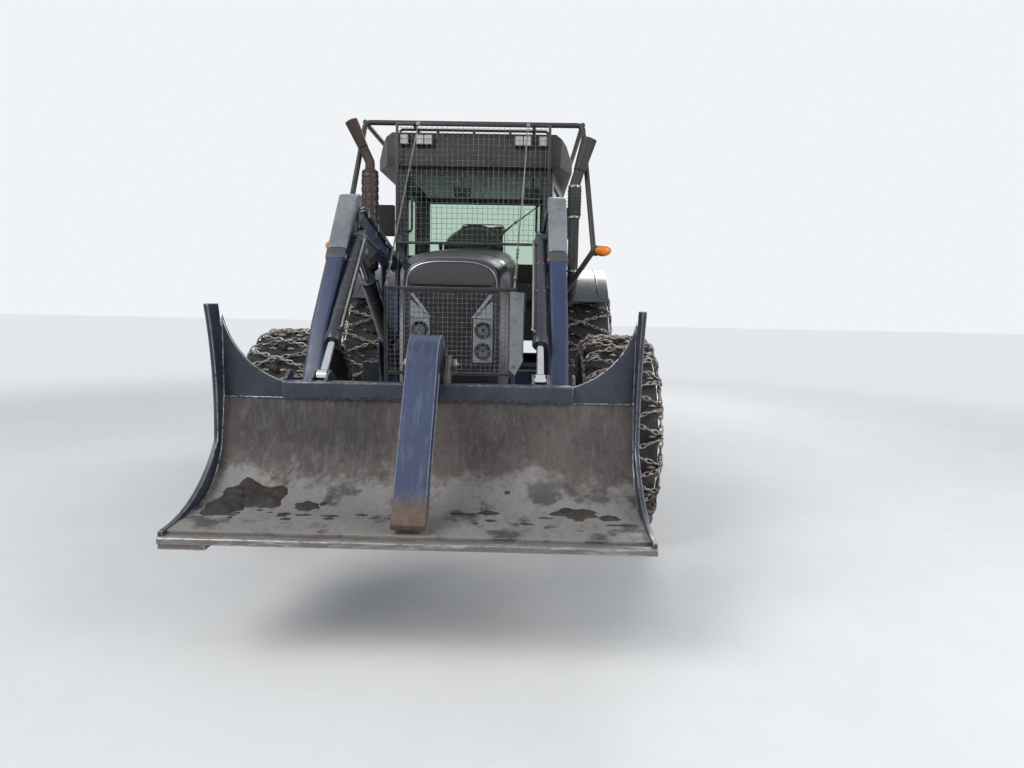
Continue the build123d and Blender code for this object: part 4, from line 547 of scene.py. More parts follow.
def link(name, bm, material, smooth_angle=40):
    """An object from a bmesh, with its normals outwards and smooth shading below an angle."""
    clean(bm)
    return place_mesh(name, mesh_from(name, bm), material, smooth_angle)


def settle(obj, body, slot, *nodes):
    """Lets a piece ride on its body and hides the nodes that it stands for. Its slot is not used."""
    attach(obj, body)
    if nodes:
        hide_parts(*nodes)
    return obj


def fit(name, bm, material, body, slot, *nodes, smooth_angle=40):
    """Makes a bmesh a piece that rides on its body."""
    return settle(link(name, bm, material, smooth_angle), body, slot, *nodes)


def evaluated_mesh(obj):
    """A plain mesh of an object with its modifiers."""
    evaluated = obj.evaluated_get(bpy.context.evaluated_depsgraph_get())
    return bpy.data.meshes.new_from_object(evaluated)


def apply_modifiers(obj):
    """Turns an object and its modifiers into a plain mesh."""
    mesh = evaluated_mesh(obj)
    obj.modifiers.clear()
    obj.data = mesh


def around(count):
    """The angles of even steps around a circle."""
    return [2 * math.pi * step / count for step in range(count)]


def span(side, first, second):
    """The low and the high end of a stretch of x on one side of the machine."""
    return sorted((side * first, side * second))


def bridge(bm, first, second, closed=True):
    """Faces between two rows of points, which may close to rings."""
    for k in range(len(first) if closed else len(first) - 1):
        after = (k + 1) % len(first)
        bm.faces.new((first[k], first[after], second[after], second[k]))


def pillar_y(z):
    """The front face of the cab's leaning front pillars at a height."""
    return 0.410 + (z - 1.220) * 0.0625


def add_box(bm, low, high, turn=None):
    """A box between two corners, turned about its middle if asked."""
    low, high = Vector(low), Vector(high)
    size = Matrix.Diagonal((*(high - low), 1))
    matrix = Matrix.Translation((low + high) / 2) @ (turn or Matrix.Identity(4)) @ size
    return bmesh.ops.create_cube(bm, size=1, matrix=matrix)["verts"]


def add_block(bm, middle, half, turn=None):
    """A box about its middle, from its half size."""
    add_box(bm, middle - Vector(half), middle + Vector(half), turn)


def frame_along(direction):
    """A rotation that turns +Z to a direction."""
    return Vector(direction).to_track_quat("Z", "Y").to_matrix().to_4x4()


def add_rod(bm, start, end, radius, sides=16, end_radius=None):
    """A round bar or cone from one point to another."""
    start, end = Vector(start), Vector(end)
    run = end - start
    matrix = Matrix.Translation((start + end) / 2) @ frame_along(run)
    bmesh.ops.create_cone(bm, cap_ends=True, segments=sides, radius1=radius,
                          radius2=radius if end_radius is None else end_radius, depth=run.length,
                          matrix=matrix)


def add_turned(bm, profile, origin, axis, sides=48, closed=False):
    """A turned shape from (radius, distance) points about an axis."""
    matrix = Matrix.Translation(origin) @ frame_along(axis)
    rings = []
    for radius, along_axis in profile:
        circle = [(radius * math.cos(a), radius * math.sin(a), along_axis) for a in around(sides)]
        rings.append([bm.verts.new(matrix @ Vector(point)) for point in circle])
    pairs = list(zip(rings, rings[1:]))
    if closed:
        pairs.append((rings[-1], rings[0]))
    for first, second in pairs:
        bridge(bm, first, second)
    if not closed:
        for ring in (rings[0], rings[-1]):
            bm.faces.new(ring)


def rounded_path(points, bend, steps=6):
    """The points of a path with its corners rounded."""
    points = [Vector(p) for p in points]
    out = [points[0]]
    for before, corner, after in zip(points, points[1:], points[2:]):
        into, away = before - corner, after - corner
        reach = min(bend, into.length * 0.45, away.length * 0.45)
        start, end = corner + into.normalized() * reach, corner + away.normalized() * reach
        for step in range(steps + 1):
            share = step / steps
            out.append(start.lerp(corner, share).lerp(corner.lerp(end, share), share))
    out.append(points[-1])
    return out


def add_tube(bm, points, radius, sides=10, bend=0.05, ribs=None):
    """A tube along a path. Ribs gives (pitch, height) of a ribbed hose."""
    path = rounded_path(points, bend) if bend else [Vector(p) for p in points]
    path = path[:1] + [p for last, p in zip(path, path[1:]) if (p - last).length > 1e-6]
    if ribs:
        path = even_path(path, ribs[0] / 2)
    side = None
    rings = []
    for index, here in enumerate(path):
        ahead = (path[min(index + 1, len(path) - 1)] - path[max(index - 1, 0)]).normalized()
        if side is None:
            side = ahead.orthogonal().normalized()
        side = (side - ahead * side.dot(ahead)).normalized()
        up = ahead.cross(side)
        size = radius + (ribs[1] if ribs and index % 2 else 0.0)
        rings.append([bm.verts.new(here + (side * math.cos(a) + up * math.sin(a)) * size)
                      for a in around(sides)])
    for first, second in zip(rings, rings[1:]):
        bridge(bm, first, second)
    bm.faces.new(list(reversed(rings[0])))
    bm.faces.new(rings[-1])


def even_path(path, pitch):
    """Points at an even distance along a path."""
    out, carry = [path[0]], 0.0
    for start, end in zip(path, path[1:]):
        length = (end - start).length
        at = pitch - carry
        while at <= length:
            out.append(start.lerp(end, at / length))
            at += pitch
        carry = length - (at - pitch)
    return out


def add_extruded(bm, outline, axis, low, high):
    """A flat piece whose outline lies across an axis, between two values on that axis."""
    order = {"X": (2, 0, 1), "Y": (0, 2, 1), "Z": (0, 1, 2)}[axis]
    first, second = ([bm.verts.new([(a, b, level)[k] for k in order]) for a, b in outline]
                     for level in (low, high))
    bm.faces.new(first)
    bm.faces.new(list(reversed(second)))
    for index in range(len(outline)):
        after = (index + 1) % len(outline)
        bm.faces.new((first[index], second[index], second[after], first[after]))


def round_edges(bm, width, segments=2, angle=30):
    """Rounds every edge that is sharper than an angle."""
    clean(bm)
    edges = [e for e in bm.edges if len(e.link_faces) == 2 and e.calc_face_angle(0) > math.radians(angle)]
    bmesh.ops.bevel(bm, geom=edges, offset=width, segments=segments, affect="EDGES", profile=0.6,
                    clamp_overlap=True)


# Geometry Nodes

def geometry_tree(name, sockets, build):
    """A Geometry Nodes tree that ends in Realize Instances and Set Material."""
    tree = bpy.data.node_groups.new(name, "GeometryNodeTree")
    tree.interface.new_socket("Geometry", in_out="INPUT", socket_type="NodeSocketGeometry")
    for label, kind, value in sockets:
        socket = tree.interface.new_socket(label, in_out="INPUT", socket_type=kind)
        if value is not None:
            socket.default_value = value
    tree.interface.new_socket("Material", in_out="INPUT", socket_type="NodeSocketMaterial")
    tree.interface.new_socket("Geometry", in_out="OUTPUT", socket_type="NodeSocketGeometry")
    made = Tree(tree)
    given = made.add("NodeGroupInput").outputs
    shape = build(made, given)
    real = made.add("GeometryNodeRealizeInstances", {"Geometry": shape}).outputs[0]
    done = made.add("GeometryNodeSetMaterial", {"Geometry": real, "Material": given["Material"]})
    made.set(made.add("NodeGroupOutput").inputs[0], done.outputs[0])
    GROUPS[name] = tree


def build_ring(t, given):
    """Copies of a part around the X axis. The part is made at the top of the ring."""
    points = t.add("GeometryNodePoints", {"Count": given["Count"], "Position": (0, 0, 0)})
    index = t.add("GeometryNodeInputIndex").outputs[0]
    step = t.math("DIVIDE", 2 * math.pi, given["Count"])
    angle = t.math("ADD", t.math("MULTIPLY", index, step), given["Start"])
    turn = t.add("ShaderNodeCombineXYZ", {"X": angle}).outputs[0]
    part = t.add("GeometryNodeObjectInfo", {"Object": given["Part"]})
    return t.add("GeometryNodeInstanceOnPoints", {
        "Points": points.outputs[0], "Instance": part.outputs["Geometry"], "Rotation": turn}).outputs[0]


def build_chain(t, given):
    """Links along a path, each turned a quarter from the one before."""
    even = t.add("GeometryNodeResampleCurve", {"Curve": given["Geometry"], "Length": given["Pitch"]},
                 mode="LENGTH").outputs[0]
    index = t.add("GeometryNodeInputIndex").outputs[0]
    quarter = t.math("MULTIPLY", t.math("MODULO", index, 2.0), math.pi / 2)
    tangent = t.add("GeometryNodeInputTangent").outputs[0]
    align = t.add("FunctionNodeAlignRotationToVector", {"Vector": tangent}, axis="X").outputs[0]
    roll = t.add("FunctionNodeRotateRotation", {"Rotation": align}, rotation_space="LOCAL")
    made = t.add("FunctionNodeAxisAngleToRotation", {"Axis": (1, 0, 0), "Angle": quarter}).outputs[0]
    t.set(roll.inputs[1], made)
    part = t.add("GeometryNodeObjectInfo", {"Object": given["Part"]})
    return t.add("GeometryNodeInstanceOnPoints", {
        "Points": even, "Instance": part.outputs["Geometry"], "Rotation": roll.outputs[0]}).outputs[0]


def build_wires(t, given):
    """Woven wires across a flat frame: level wires and upright ones that pass over each other."""
    shapes = []
    for across, along in (("Width", "Height"), ("Height", "Width")):
        count = t.math("ROUND", t.math("DIVIDE", given[across], given["Pitch"]))
        gap = t.math("DIVIDE", given[across], count)
        beats = t.math("ROUND", t.math("DIVIDE", given[along], given["Pitch"]))
        half = t.math("MULTIPLY", given[along], 0.5)
        upright = across == "Width"
        ends = [t.add("ShaderNodeCombineXYZ", {"Z" if upright else "X": value}).outputs[0]
                for value in (t.math("MULTIPLY", half, -1.0), half)]
        wire = t.add("GeometryNodeCurvePrimitiveLine", {"Start": ends[0], "End": ends[1]}).outputs[0]
        wire = t.add("GeometryNodeResampleCurve", {
            "Curve": wire, "Count": t.math("ADD", beats, 1.0)}).outputs[0]
        start = t.math("MULTIPLY", t.math("SUBTRACT", gap, given[across]), 0.5)
        place_at = t.add("ShaderNodeCombineXYZ", {"X" if upright else "Z": start}).outputs[0]
        step = t.add("ShaderNodeCombineXYZ", {"X" if upright else "Z": gap}).outputs[0]
        rows = t.add("GeometryNodeMeshLine", {
            "Count": count, "Start Location": place_at, "Offset": step}).outputs[0]
        number = t.add("GeometryNodeInputIndex").outputs[0]
        kept = t.add("GeometryNodeStoreNamedAttribute", {"Geometry": rows, "Name": "row", "Value": number},
                     data_type="INT", domain="POINT").outputs[0]
        many = t.add("GeometryNodeInstanceOnPoints", {"Points": kept, "Instance": wire}).outputs[0]
        many = t.add("GeometryNodeRealizeInstances", {"Geometry": many}).outputs[0]
        row = t.add("GeometryNodeInputNamedAttribute", {"Name": "row"},
                    data_type="INT").outputs["Attribute"]
        spot = t.add("GeometryNodeSplineParameter").outputs["Index"]
        parity = t.math("MODULO", t.math("ADD", row, t.math("ADD", spot, 0.0 if upright else 1.0)), 2.0)
        depth = t.math("MULTIPLY", t.math("SUBTRACT", parity, 0.5), t.math("MULTIPLY", given["Wire"], 2.0))
        shift = t.add("ShaderNodeCombineXYZ", {"Y": depth}).outputs[0]
        bent = t.add("GeometryNodeSetPosition", {"Geometry": many, "Offset": shift}).outputs[0]
        shapes.append(bent)
    whole = t.add("GeometryNodeJoinGeometry")
    for shape in shapes:
        t.tree.links.new(shape, whole.inputs[0])
    ring = t.add("GeometryNodeCurvePrimitiveCircle",
                 {"Resolution": 6, "Radius": given["Wire"]}).outputs[0]
    tube = t.add("GeometryNodeCurveToMesh", {"Curve": whole.outputs[0], "Profile Curve": ring}).outputs[0]
    return t.add("GeometryNodeTransform", {"Geometry": tube, "Translation": given["Centre"]}).outputs[0]


def make_geometry_trees():
    """The trees that copy parts in rings and along paths, and that weave wires."""
    geometry_tree("Ring of Copies", [("Part", "NodeSocketObject", None), ("Count", "NodeSocketInt", 12),
                                     ("Start", "NodeSocketFloat", 0.0)], build_ring)
    geometry_tree("Chain on Path", [("Part", "NodeSocketObject", None), ("Pitch", "NodeSocketFloat", 0.04)],
                  build_chain)
    geometry_tree("Woven Wire", [("Width", "NodeSocketFloat", 0.8), ("Height", "NodeSocketFloat", 0.5),
                                 ("Pitch", "NodeSocketFloat", 0.03), ("Wire", "NodeSocketFloat", 0.0018),
                                 ("Centre", "NodeSocketVector", (0, 0, 0))], build_wires)


def grow(name, tree, material, source=None, smooth_angle=50, **inputs):
    """Runs a Geometry Nodes tree and returns its result as a plain mesh object."""
    obj = add_object(name, source or bpy.data.meshes.new(name))
    modifier = obj.modifiers.new(tree, "NODES")
    modifier.node_group = GROUPS[tree]
    inputs["Material"] = MATERIALS[material]
    for item in GROUPS[tree].interface.items_tree:
        if item.in_out == "INPUT" and item.name in inputs:
            modifier[item.identifier] = inputs[item.name]
    mesh = evaluated_mesh(obj)
    bpy.data.objects.remove(obj)
    return place_mesh(name, mesh, material, smooth_angle)


def prototype(name, bm):
    """A source object for Geometry Nodes to copy."""
    bmesh.ops.recalc_face_normals(bm, faces=bm.faces)
    return add_object(name, mesh_from(name, bm))


def ring_of(name, material, bm, count, start=0.0):
    """Copies of a bmesh, made at the top of a ring, around the X axis."""
    source = prototype(f"{name} source", bm)
    made = grow(name, "Ring of Copies", material, Part=source, Count=count, Start=start)
    bpy.data.objects.remove(source)
    return made


def joined(name, objects):
    """One object from several that share a material and a body."""
    bm = bmesh.new()
    for obj in objects:
        bm.from_mesh(obj.data)
    mesh = mesh_from(name, bm)
    mesh.materials.append(objects[0].data.materials[0])
    for obj in objects:
        bpy.data.objects.remove(obj)
    return add_object(name, mesh)


# Settings

class TractorSizes(bpy.types.PropertyGroup):
    """Sizes of the tractor's small repeated forms."""

    lug_count: IntProperty(name="Lugs", description="Tread lugs on each side of a tyre", default=19, min=8)
    lug_height: FloatProperty(name="Lug height", description="How far the lugs stand out of the carcass",
                              default=0.040, unit="LENGTH")
    chain_pitch: FloatProperty(name="Chain pitch", description="Distance between chain links",
                               default=0.043, unit="LENGTH")
    chain_wire: FloatProperty(name="Chain wire", description="Radius of the chain's wire",
                              default=0.0050, unit="LENGTH")
    screen_pitch: FloatProperty(name="Screen mesh", description="Pitch of the mesh before the windscreen",
                                default=0.042, unit="LENGTH")
    grille_pitch: FloatProperty(name="Grille mesh", description="Pitch of the mesh before the grille",
                                default=0.029, unit="LENGTH")
    wire_radius: FloatProperty(name="Mesh wire", description="Radius of the guards' wires",
                               default=0.0017, unit="LENGTH")
    arm_round: FloatProperty(name="Arm rounding", description="Radius of the loader arms' long edges",
                             default=0.024, unit="LENGTH")
    mud_height: FloatProperty(name="Mud", description="Thickness of the mud lumps on the mouldboard",
                              default=0.022, unit="LENGTH")
    guard_bar: FloatProperty(name="Guard bar", description="Thickness of the mesh guards' frames",
                             default=0.022, unit="LENGTH")


class TractorColours(bpy.types.PropertyGroup):
    """Paint colours that can be changed."""

    loader: FloatVectorProperty(name="Loader", description="Blue-grey paint of the loader",
                                default=(0.013, 0.024, 0.066), subtype="COLOR", size=3)
    body: FloatVectorProperty(name="Hood", description="Dark paint of the hood",
                              default=(0.012, 0.014, 0.020), subtype="COLOR", size=3)
    floor: FloatVectorProperty(name="Floor", description="Pale colour of the floor",
                               default=(0.72, 0.72, 0.71), subtype="COLOR", size=3)


# Stage

CAMERA_PLACE = (0.454, -5.518, 1.495)
CAMERA_YAW, CAMERA_PITCH, CAMERA_ROLL = (math.radians(v) for v in (0.952, 6.254, 1.115))
CAMERA_LENS = 24.38
STAGE_HALF = 60.0
# The floor's own colour takes over between these distances from the middle.
LAMPLIT_RADIUS, FAR_RADIUS = 5.0, 12.0
FAR_FLOOR = (0.74, 0.76, 0.79, 1)


def make_camera():
    """The photograph's viewpoint, with its small roll."""
    turned = Matrix.Rotation(CAMERA_YAW, 3, "Z")
    ahead = turned @ Vector((0, math.cos(CAMERA_PITCH), -math.sin(CAMERA_PITCH)))
    right = turned @ Vector((1, 0, 0))
    up = right.cross(ahead)
    rolled_right = right * math.cos(CAMERA_ROLL) + up * math.sin(CAMERA_ROLL)
    rolled_up = up * math.cos(CAMERA_ROLL) - right * math.sin(CAMERA_ROLL)
    axes = Matrix((rolled_right, rolled_up, -ahead)).transposed().to_4x4()
    camera = add_object("Camera", bpy.data.cameras.new("Camera"))
    camera.data.lens = CAMERA_LENS
    camera.data.sensor_width = 36.0
    camera.data.clip_end = 300.0
    camera.matrix_world = Matrix.Translation(CAMERA_PLACE) @ axes
    bpy.context.scene.camera = camera


def seen_rays(t):
    """One for rays that show a thing to the camera, straight, mirrored or through glass."""
    path = t.add("ShaderNodeLightPath").outputs
    mirrored = t.math("MAXIMUM", path["Is Glossy Ray"], path["Is Transmission Ray"])
    return t.math("MAXIMUM", path["Is Camera Ray"], mirrored)


def make_floor(colour):
    """A wide pale floor."""
    bm = bmesh.new()
    bmesh.ops.create_grid(bm, x_segments=1, y_segments=1, size=STAGE_HALF)
    floor = add_object("Floor", mesh_from("Floor", bm))
    made = Finish("Pale Floor", Roughness=0.9, Specular_IOR_Level=0.1)
    base = made.group("Mottle", First=rgba(colour), Second=rgba([c * 0.96 for c in colour]), Scale=0.7)
    # Far from the object, where the lamps don't reach, the floor shows its own pale colour.
    t = made.tree
    spot = t.add("ShaderNodeTexCoord").outputs["Object"]
    reach = t.add("ShaderNodeVectorMath", {0: spot}, operation="LENGTH").outputs["Value"]
    far = t.math("MULTIPLY", t.ramp(reach, LAMPLIT_RADIUS, FAR_RADIUS), seen_rays(t))
    made.feed(Base_Color=t.mix(far, base["Colour"], (0, 0, 0, 1)),
              Emission_Color=t.mix(far, (0, 0, 0, 1), FAR_FLOOR), Emission_Strength=1.0)
    floor.data.materials.append(made.material)


def make_lights():
    """Three area lamps and a pale world that lights less than it shows."""
    # columns: name, place, what it looks at, size, power
    lamps = (
        ("Key", (-5.5, -6.5, 7.5), (0, -1.0, 1.0), 5.0, 620),
        ("Fill", (6.5, -5.0, 4.0), (0, -0.5, 1.2), 5.0, 300),
        ("Back", (3.0, 7.5, 6.5), (0, 1.0, 1.5), 4.0, 420),
    )
    for name, spot, target, size, power in lamps:
        data = bpy.data.lights.new(name, "AREA")
        data.size = size
        data.energy = power
        lamp = add_object(name, data)
        lamp.matrix_world = Matrix.Translation(spot) @ frame_along(Vector(spot) - Vector(target))
    world = bpy.data.worlds.new("Soft Studio")
    bpy.context.scene.world = world
    world.use_nodes = True
    t = Tree(world.node_tree)
    world.node_tree.nodes.clear()
    light = t.add("ShaderNodeBackground", {"Color": (0.80, 0.86, 0.95, 1), "Strength": 0.55}).outputs[0]
    pale = t.add("ShaderNodeBackground", {"Color": (0.88, 0.90, 0.92, 1), "Strength": 1.0}).outputs[0]
    both = t.add("ShaderNodeMixShader", {0: seen_rays(t), 1: light, 2: pale}).outputs[0]
    t.add("ShaderNodeOutputWorld", {"Surface": both})


class BuildStage(bpy.types.Operator):
    """Makes the floor, the lights and the camera at the photograph's viewpoint"""

    bl_idname = "tractor.stage"
    bl_label = "Stage"

    def execute(self, context):
        make_camera()
        make_floor(context.scene.tractor_colours.floor)
        make_lights()
        context.scene.view_settings.view_transform = "Standard"
        return {"FINISHED"}


class BuildFinishes(bpy.types.Operator):
    """Makes the shared shader groups, the Geometry Nodes trees and every material"""

    bl_idname = "tractor.finishes"
    bl_label = "Finishes"

    def execute(self, context):
        make_groups()
        make_materials(context.scene.tractor_colours)
        make_geometry_trees()
        dress_nodes()
        return {"FINISHED"}


# Wheels

# columns: end, tyre radius, tyre width, rim radius, how far the disc stands out
AXLES = (("front", 0.642, 0.440, 0.356, 1.101), ("rear", 0.873, 0.600, 0.483, 0.915))
TREAD_FLAT = 0.70
CHAIN_LIFT, CHAIN_TURNS, LEG_STEPS, SIDE_RING_STEPS = 0.010, 11, 14, 72
LINK_SIDES, WIRE_SIDES = 10, 5
LUG_STEPS = 8
HUB_CAP = [(0.118, 0.0), (0.118, 0.012), (0.100, 0.030), (0.060, 0.038), (0.055, 0.052), (0.0001, 0.054)]


def box_middle(node):
    """The middle of a CAD node's box."""
    low, high = BOX[node]
    return (low + high) / 2


def at_top(x, radius, angle):
    """A point of the wheel: its x, its radius and its angle from the top."""
    return Vector((x, -radius * math.sin(angle), radius * math.cos(angle)))


def tread_point(radius, width, across, lift=0.0):
    """Where the tyre's outline over its lugs lies: (x, r) for a place from -1 to 1 across the tread."""
    half = width / 2
    side = 1 if across >= 0 else -1
    share = abs(across)
    if share <= TREAD_FLAT:
        return (side * half * share / TREAD_FLAT * 0.80,
                radius + lift - 0.010 * (share / TREAD_FLAT) ** 2)
    turn = (share - TREAD_FLAT) / (1 - TREAD_FLAT) * math.radians(115)
    bend = half * 0.20
    drop = radius * 0.10
    return (side * (half * 0.80 + (bend + lift) * math.sin(min(turn, math.pi / 2))),
            radius - 0.010 + lift * math.cos(turn) - drop * (1 - math.cos(turn)))


def carcass(bm, radius, width, rim, lug, centre):
    """The tyre without its lugs: beads, bulging sidewalls and a slightly round tread."""
    half = width / 2
    foot = radius - lug
    # columns: share of the way from bead to tread, share of the half width
    walls = ((0.0, 0.80), (0.06, 0.83), (0.09, 0.80), (0.14, 0.86), (0.30, 0.95), (0.48, 0.985),
             (0.52, 1.0), (0.56, 0.985), (0.72, 0.965), (0.88, 0.90), (0.96, 0.82), (1.0, 0.60),
             (1.02, 0.25))
    side = [(rim + (foot - rim) * up, half * out) for up, out in walls]
    profile = side + [(r, -x) for r, x in reversed(side)]
    add_turned(bm, profile + [(rim, -half * 0.78), (rim, half * 0.78)], centre, (1, 0, 0), 96, closed=True)


def lug_mesh(radius, width, lug, side):
    """One tread bar at the top of the wheel, from the middle of the tread down over the shoulder."""
    bm = bmesh.new()
    rings = []
    for step in range(LUG_STEPS + 1):
        share = step / LUG_STEPS
        x, r = tread_point(radius, width, side * (share - 0.03))
        sweep = -(0.30 * share + 0.05 * share * share) * width / radius
        thick = (0.036 + 0.014 * share) / radius / 2
        fade = max(0.0, share - 0.8) / 0.2
        height = lug * (1.0 - 0.35 * fade) + 0.012
        ring = []
        for angle, level in ((-thick * 1.55, -height), (-thick, 0.0), (thick, 0.0),
                             (thick * 1.55, -height)):
            turn = max(0.0, (share - 0.7) / 0.3) * math.radians(80)
            ring.append(bm.verts.new(at_top(x + side * level * math.sin(turn), r + level * math.cos(turn),
                                            sweep + angle)))
        rings.append(ring)
    for first, second in zip(rings, rings[1:]):
        bridge(bm, first, second)
    bm.faces.new(rings[0])
    bm.faces.new(rings[-1])
    round_edges(bm, 0.004, 1)
    return bm


def chain_paths(radius, width, centre):
    """Two zigzags that cross to diamonds over the tread, and a ring on each sidewall."""
    paths = []
    width -= 0.004
    for start in (0, 1):
        points = []
        for leg in range(2 * CHAIN_TURNS):
            for step in range(LEG_STEPS):
                share = step / LEG_STEPS
                across = (1 - 2 * share) * (1 if (leg + start) % 2 else -1)
                x, r = tread_point(radius, width, across, CHAIN_LIFT)
                points.append(centre + at_top(x, r, (leg + share) * math.pi / CHAIN_TURNS))
        paths.append(points)
    for side in (1, -1):
        x, r = tread_point(radius, width, side, CHAIN_LIFT)
        paths.append([centre + at_top(x, r, a) for a in around(SIDE_RING_STEPS)])
    return paths


def link_mesh(pitch, wire):
    """One long link along X, with few faces."""
    bm = bmesh.new()
    length, width = pitch * 0.5 + wire * 2.0, wire * 3.3
    outline = [Vector((length * math.cos(a) * (1.0 if abs(math.cos(a)) > 0.9 else 0.92),
                       (width - wire) * math.sin(a), 0)) for a in around(LINK_SIDES)]
    up = Vector((0, 0, 1))
    rings = []
    for index, here in enumerate(outline):
        ahead = (outline[(index + 1) % LINK_SIDES] - outline[index - 1]).normalized()
        out = ahead.cross(up)
        rings.append([bm.verts.new(here + (out * math.cos(b) + up * math.sin(b)) * wire)
                      for b in around(WIRE_SIDES)])
    for first, second in zip(rings, rings[1:] + rings[:1]):
        bridge(bm, first, second)
    return bm


def stud_mesh(radius, width):
    """Hardened studs in a row across the tread, at the top of the wheel."""
    bm = bmesh.new()
    for across in (-0.62, -0.22, 0.22, 0.62):
        x, r = tread_point(radius, width, across)
        add_rod(bm, (x, 0, r - 0.002), (x, 0, r + 0.020), 0.010, 8, 0.006)
        add_rod(bm, (x - 0.020, 0, r + 0.008), (x + 0.020, 0, r + 0.008), 0.0075, 8)
    return bm


def bolt_mesh(radius, height, across):
    """A hexagonal nut on a stud, at the top of a ring, pointing along +X or -X."""
    bm = bmesh.new()
    add_rod(bm, (0, 0, radius), (across * height, 0, radius), height * 0.85, 6)
    add_rod(bm, (across * height, 0, radius), (across * height * 1.7, 0, radius), height * 0.45, 8)
    return bm


def to_centre(obj, centre):
    """Moves a ring that was made about the origin to the middle of its wheel."""
    obj.data.transform(Matrix.Translation(centre))
    return obj


def chain_curve(points):
    """A closed curve for the chain's links to follow."""
    curve = bpy.data.curves.new("chain path", "CURVE")
    curve.dimensions = "3D"
    spline = curve.splines.new("POLY")
    spline.points.add(len(points) - 1)
    for point, spot in zip(spline.points, points):
        point.co = (*spot, 1)
    spline.use_cyclic_u = True
    return curve


class BuildTyres(bpy.types.Operator):
    """Makes the tyres with their lugs and the forestry chains over them"""

    bl_idname = "tractor.tyres"
    bl_label = "Tyres and Chains"

    def execute(self, context):
        sizes = context.scene.tractor_sizes
        chain_link = prototype("link source", link_mesh(sizes.chain_pitch, sizes.chain_wire))
        for _, hand in SIDES:
            for end, radius, width, rim, _ in AXLES:
                node, body = f"{end}_tyre_{hand}", f"{end}_wheel_{hand}"
                centre = box_middle(node)
                bm = bmesh.new()
                carcass(bm, radius, width, rim, sizes.lug_height, centre)
                pieces = [link("carcass", bm, "tyre_rubber", 60)]
                for half, start in ((1, 0.0), (-1, math.pi / sizes.lug_count)):
                    lug = lug_mesh(radius, width, sizes.lug_height, half)
                    lugs = ring_of("lugs", "tyre_rubber", lug, sizes.lug_count, start)
                    pieces.append(to_centre(lugs, centre))
                settle(joined(f"tyre_{end}_{hand}", pieces), body, "tyre_rubber", node)
                chains = [grow("chain", "Chain on Path", "chain_steel", source=chain_curve(points),
                               Part=chain_link, Pitch=sizes.chain_pitch)
                          for points in chain_paths(radius, width, centre)]
                studs = ring_of("studs", "chain_steel", stud_mesh(radius, width), 2 * CHAIN_TURNS)
                chains.append(to_centre(studs, centre))
                settle(joined(f"chains_{end}_{hand}", chains), body, "tyre_rubber")
        bpy.data.objects.remove(chain_link)
        return {"FINISHED"}


class BuildWheelFittings(bpy.types.Operator):
    """Makes the wheel nuts, the hub caps and their screws"""

    bl_idname = "tractor.wheel_fittings"
    bl_label = "Wheel Fittings"

    def execute(self, context):
        for side, hand in SIDES:
            for end, _, _, _, disc in AXLES:
                name, body = f"{end}_{hand}", f"{end}_wheel_{hand}"
                centre = box_middle(f"{end}_tyre_{hand}")
                face, cap = side * (disc + 0.022), side * (disc + 0.090)
                nuts = ring_of(f"wheel_nuts_{name}", "zinc", bolt_mesh(0.165, 0.018, side), 10)
                settle(to_centre(nuts, (face, centre.y, centre.z)), body, "rim_paint")
                bm = bmesh.new()
                add_turned(bm, HUB_CAP, (cap, centre.y, centre.z), (side, 0, 0), 40)
                fit(f"hub_cap_{name}", bm, "cast_metal", body, "cast_metal", smooth_angle=35)
                screws = ring_of(f"hub_screws_{name}", "zinc", bolt_mesh(0.088, 0.010, side), 12)
                settle(to_centre(screws, (cap + side * 0.022, centre.y, centre.z)), body, "rim_paint")
        return {"FINISHED"}


# Small forms

TREES = {}


def surface(node, start, direction):
    """Where a ray from outside first meets a CAD node."""
    if node not in TREES:
        TREES[node] = BVHTree.FromObject(frame["nodes"][node], bpy.context.evaluated_depsgraph_get())
    return TREES[node].ray_cast(Vector(start), Vector(direction))[0]


def add_bolt(bm, spot, out, size):
    """A hexagonal head on its washer, standing on a surface."""
    spot, out = Vector(spot), Vector(out).normalized()
    add_rod(bm, spot - out * 0.001, spot + out * size * 0.22, size * 1.2, 14)
    add_rod(bm, spot, spot + out * size * 0.9, size * 0.95, 6)


def bolts(name, places, out, size):
    """Bolt heads on the chassis, all facing one way."""
    bm = bmesh.new()
    for spot in places:
        add_bolt(bm, spot, out, size)
    fit(name, bm, "zinc", "chassis", "cast_metal", smooth_angle=30)


def add_rope(bm, start, end, radius, lay=0.085, strands=6):
    """A wire rope of twisted strands between two points."""
    run = Vector(end) - Vector(start)
    matrix = Matrix.Translation(start) @ frame_along(run)
    steps = int(run.length / lay * 8)
    for strand in range(strands):
        points = []
        for step in range(steps + 1):
            along = run.length * step / steps
            a = 2 * math.pi * (strand / strands + along / lay)
            point = (radius * 0.62 * math.cos(a), radius * 0.62 * math.sin(a), along)
            points.append(matrix @ Vector(point))
        add_tube(bm, points, radius * 0.42, sides=5, bend=0)


def rounded_rect(half_width, half_height, radius, centre=(0, 0), steps=5):
    """The corner points of an upright rounded rectangle."""
    points = []
    for quarter, (sx, sy) in enumerate(((1, 1), (-1, 1), (-1, -1), (1, -1))):
        for step in range(steps + 1):
            a = math.pi / 2 * (quarter + step / steps)
            points.append((centre[0] + sx * (half_width - radius) + radius * math.cos(a),
                           centre[1] + sy * (half_height - radius) + radius * math.sin(a)))
    return points


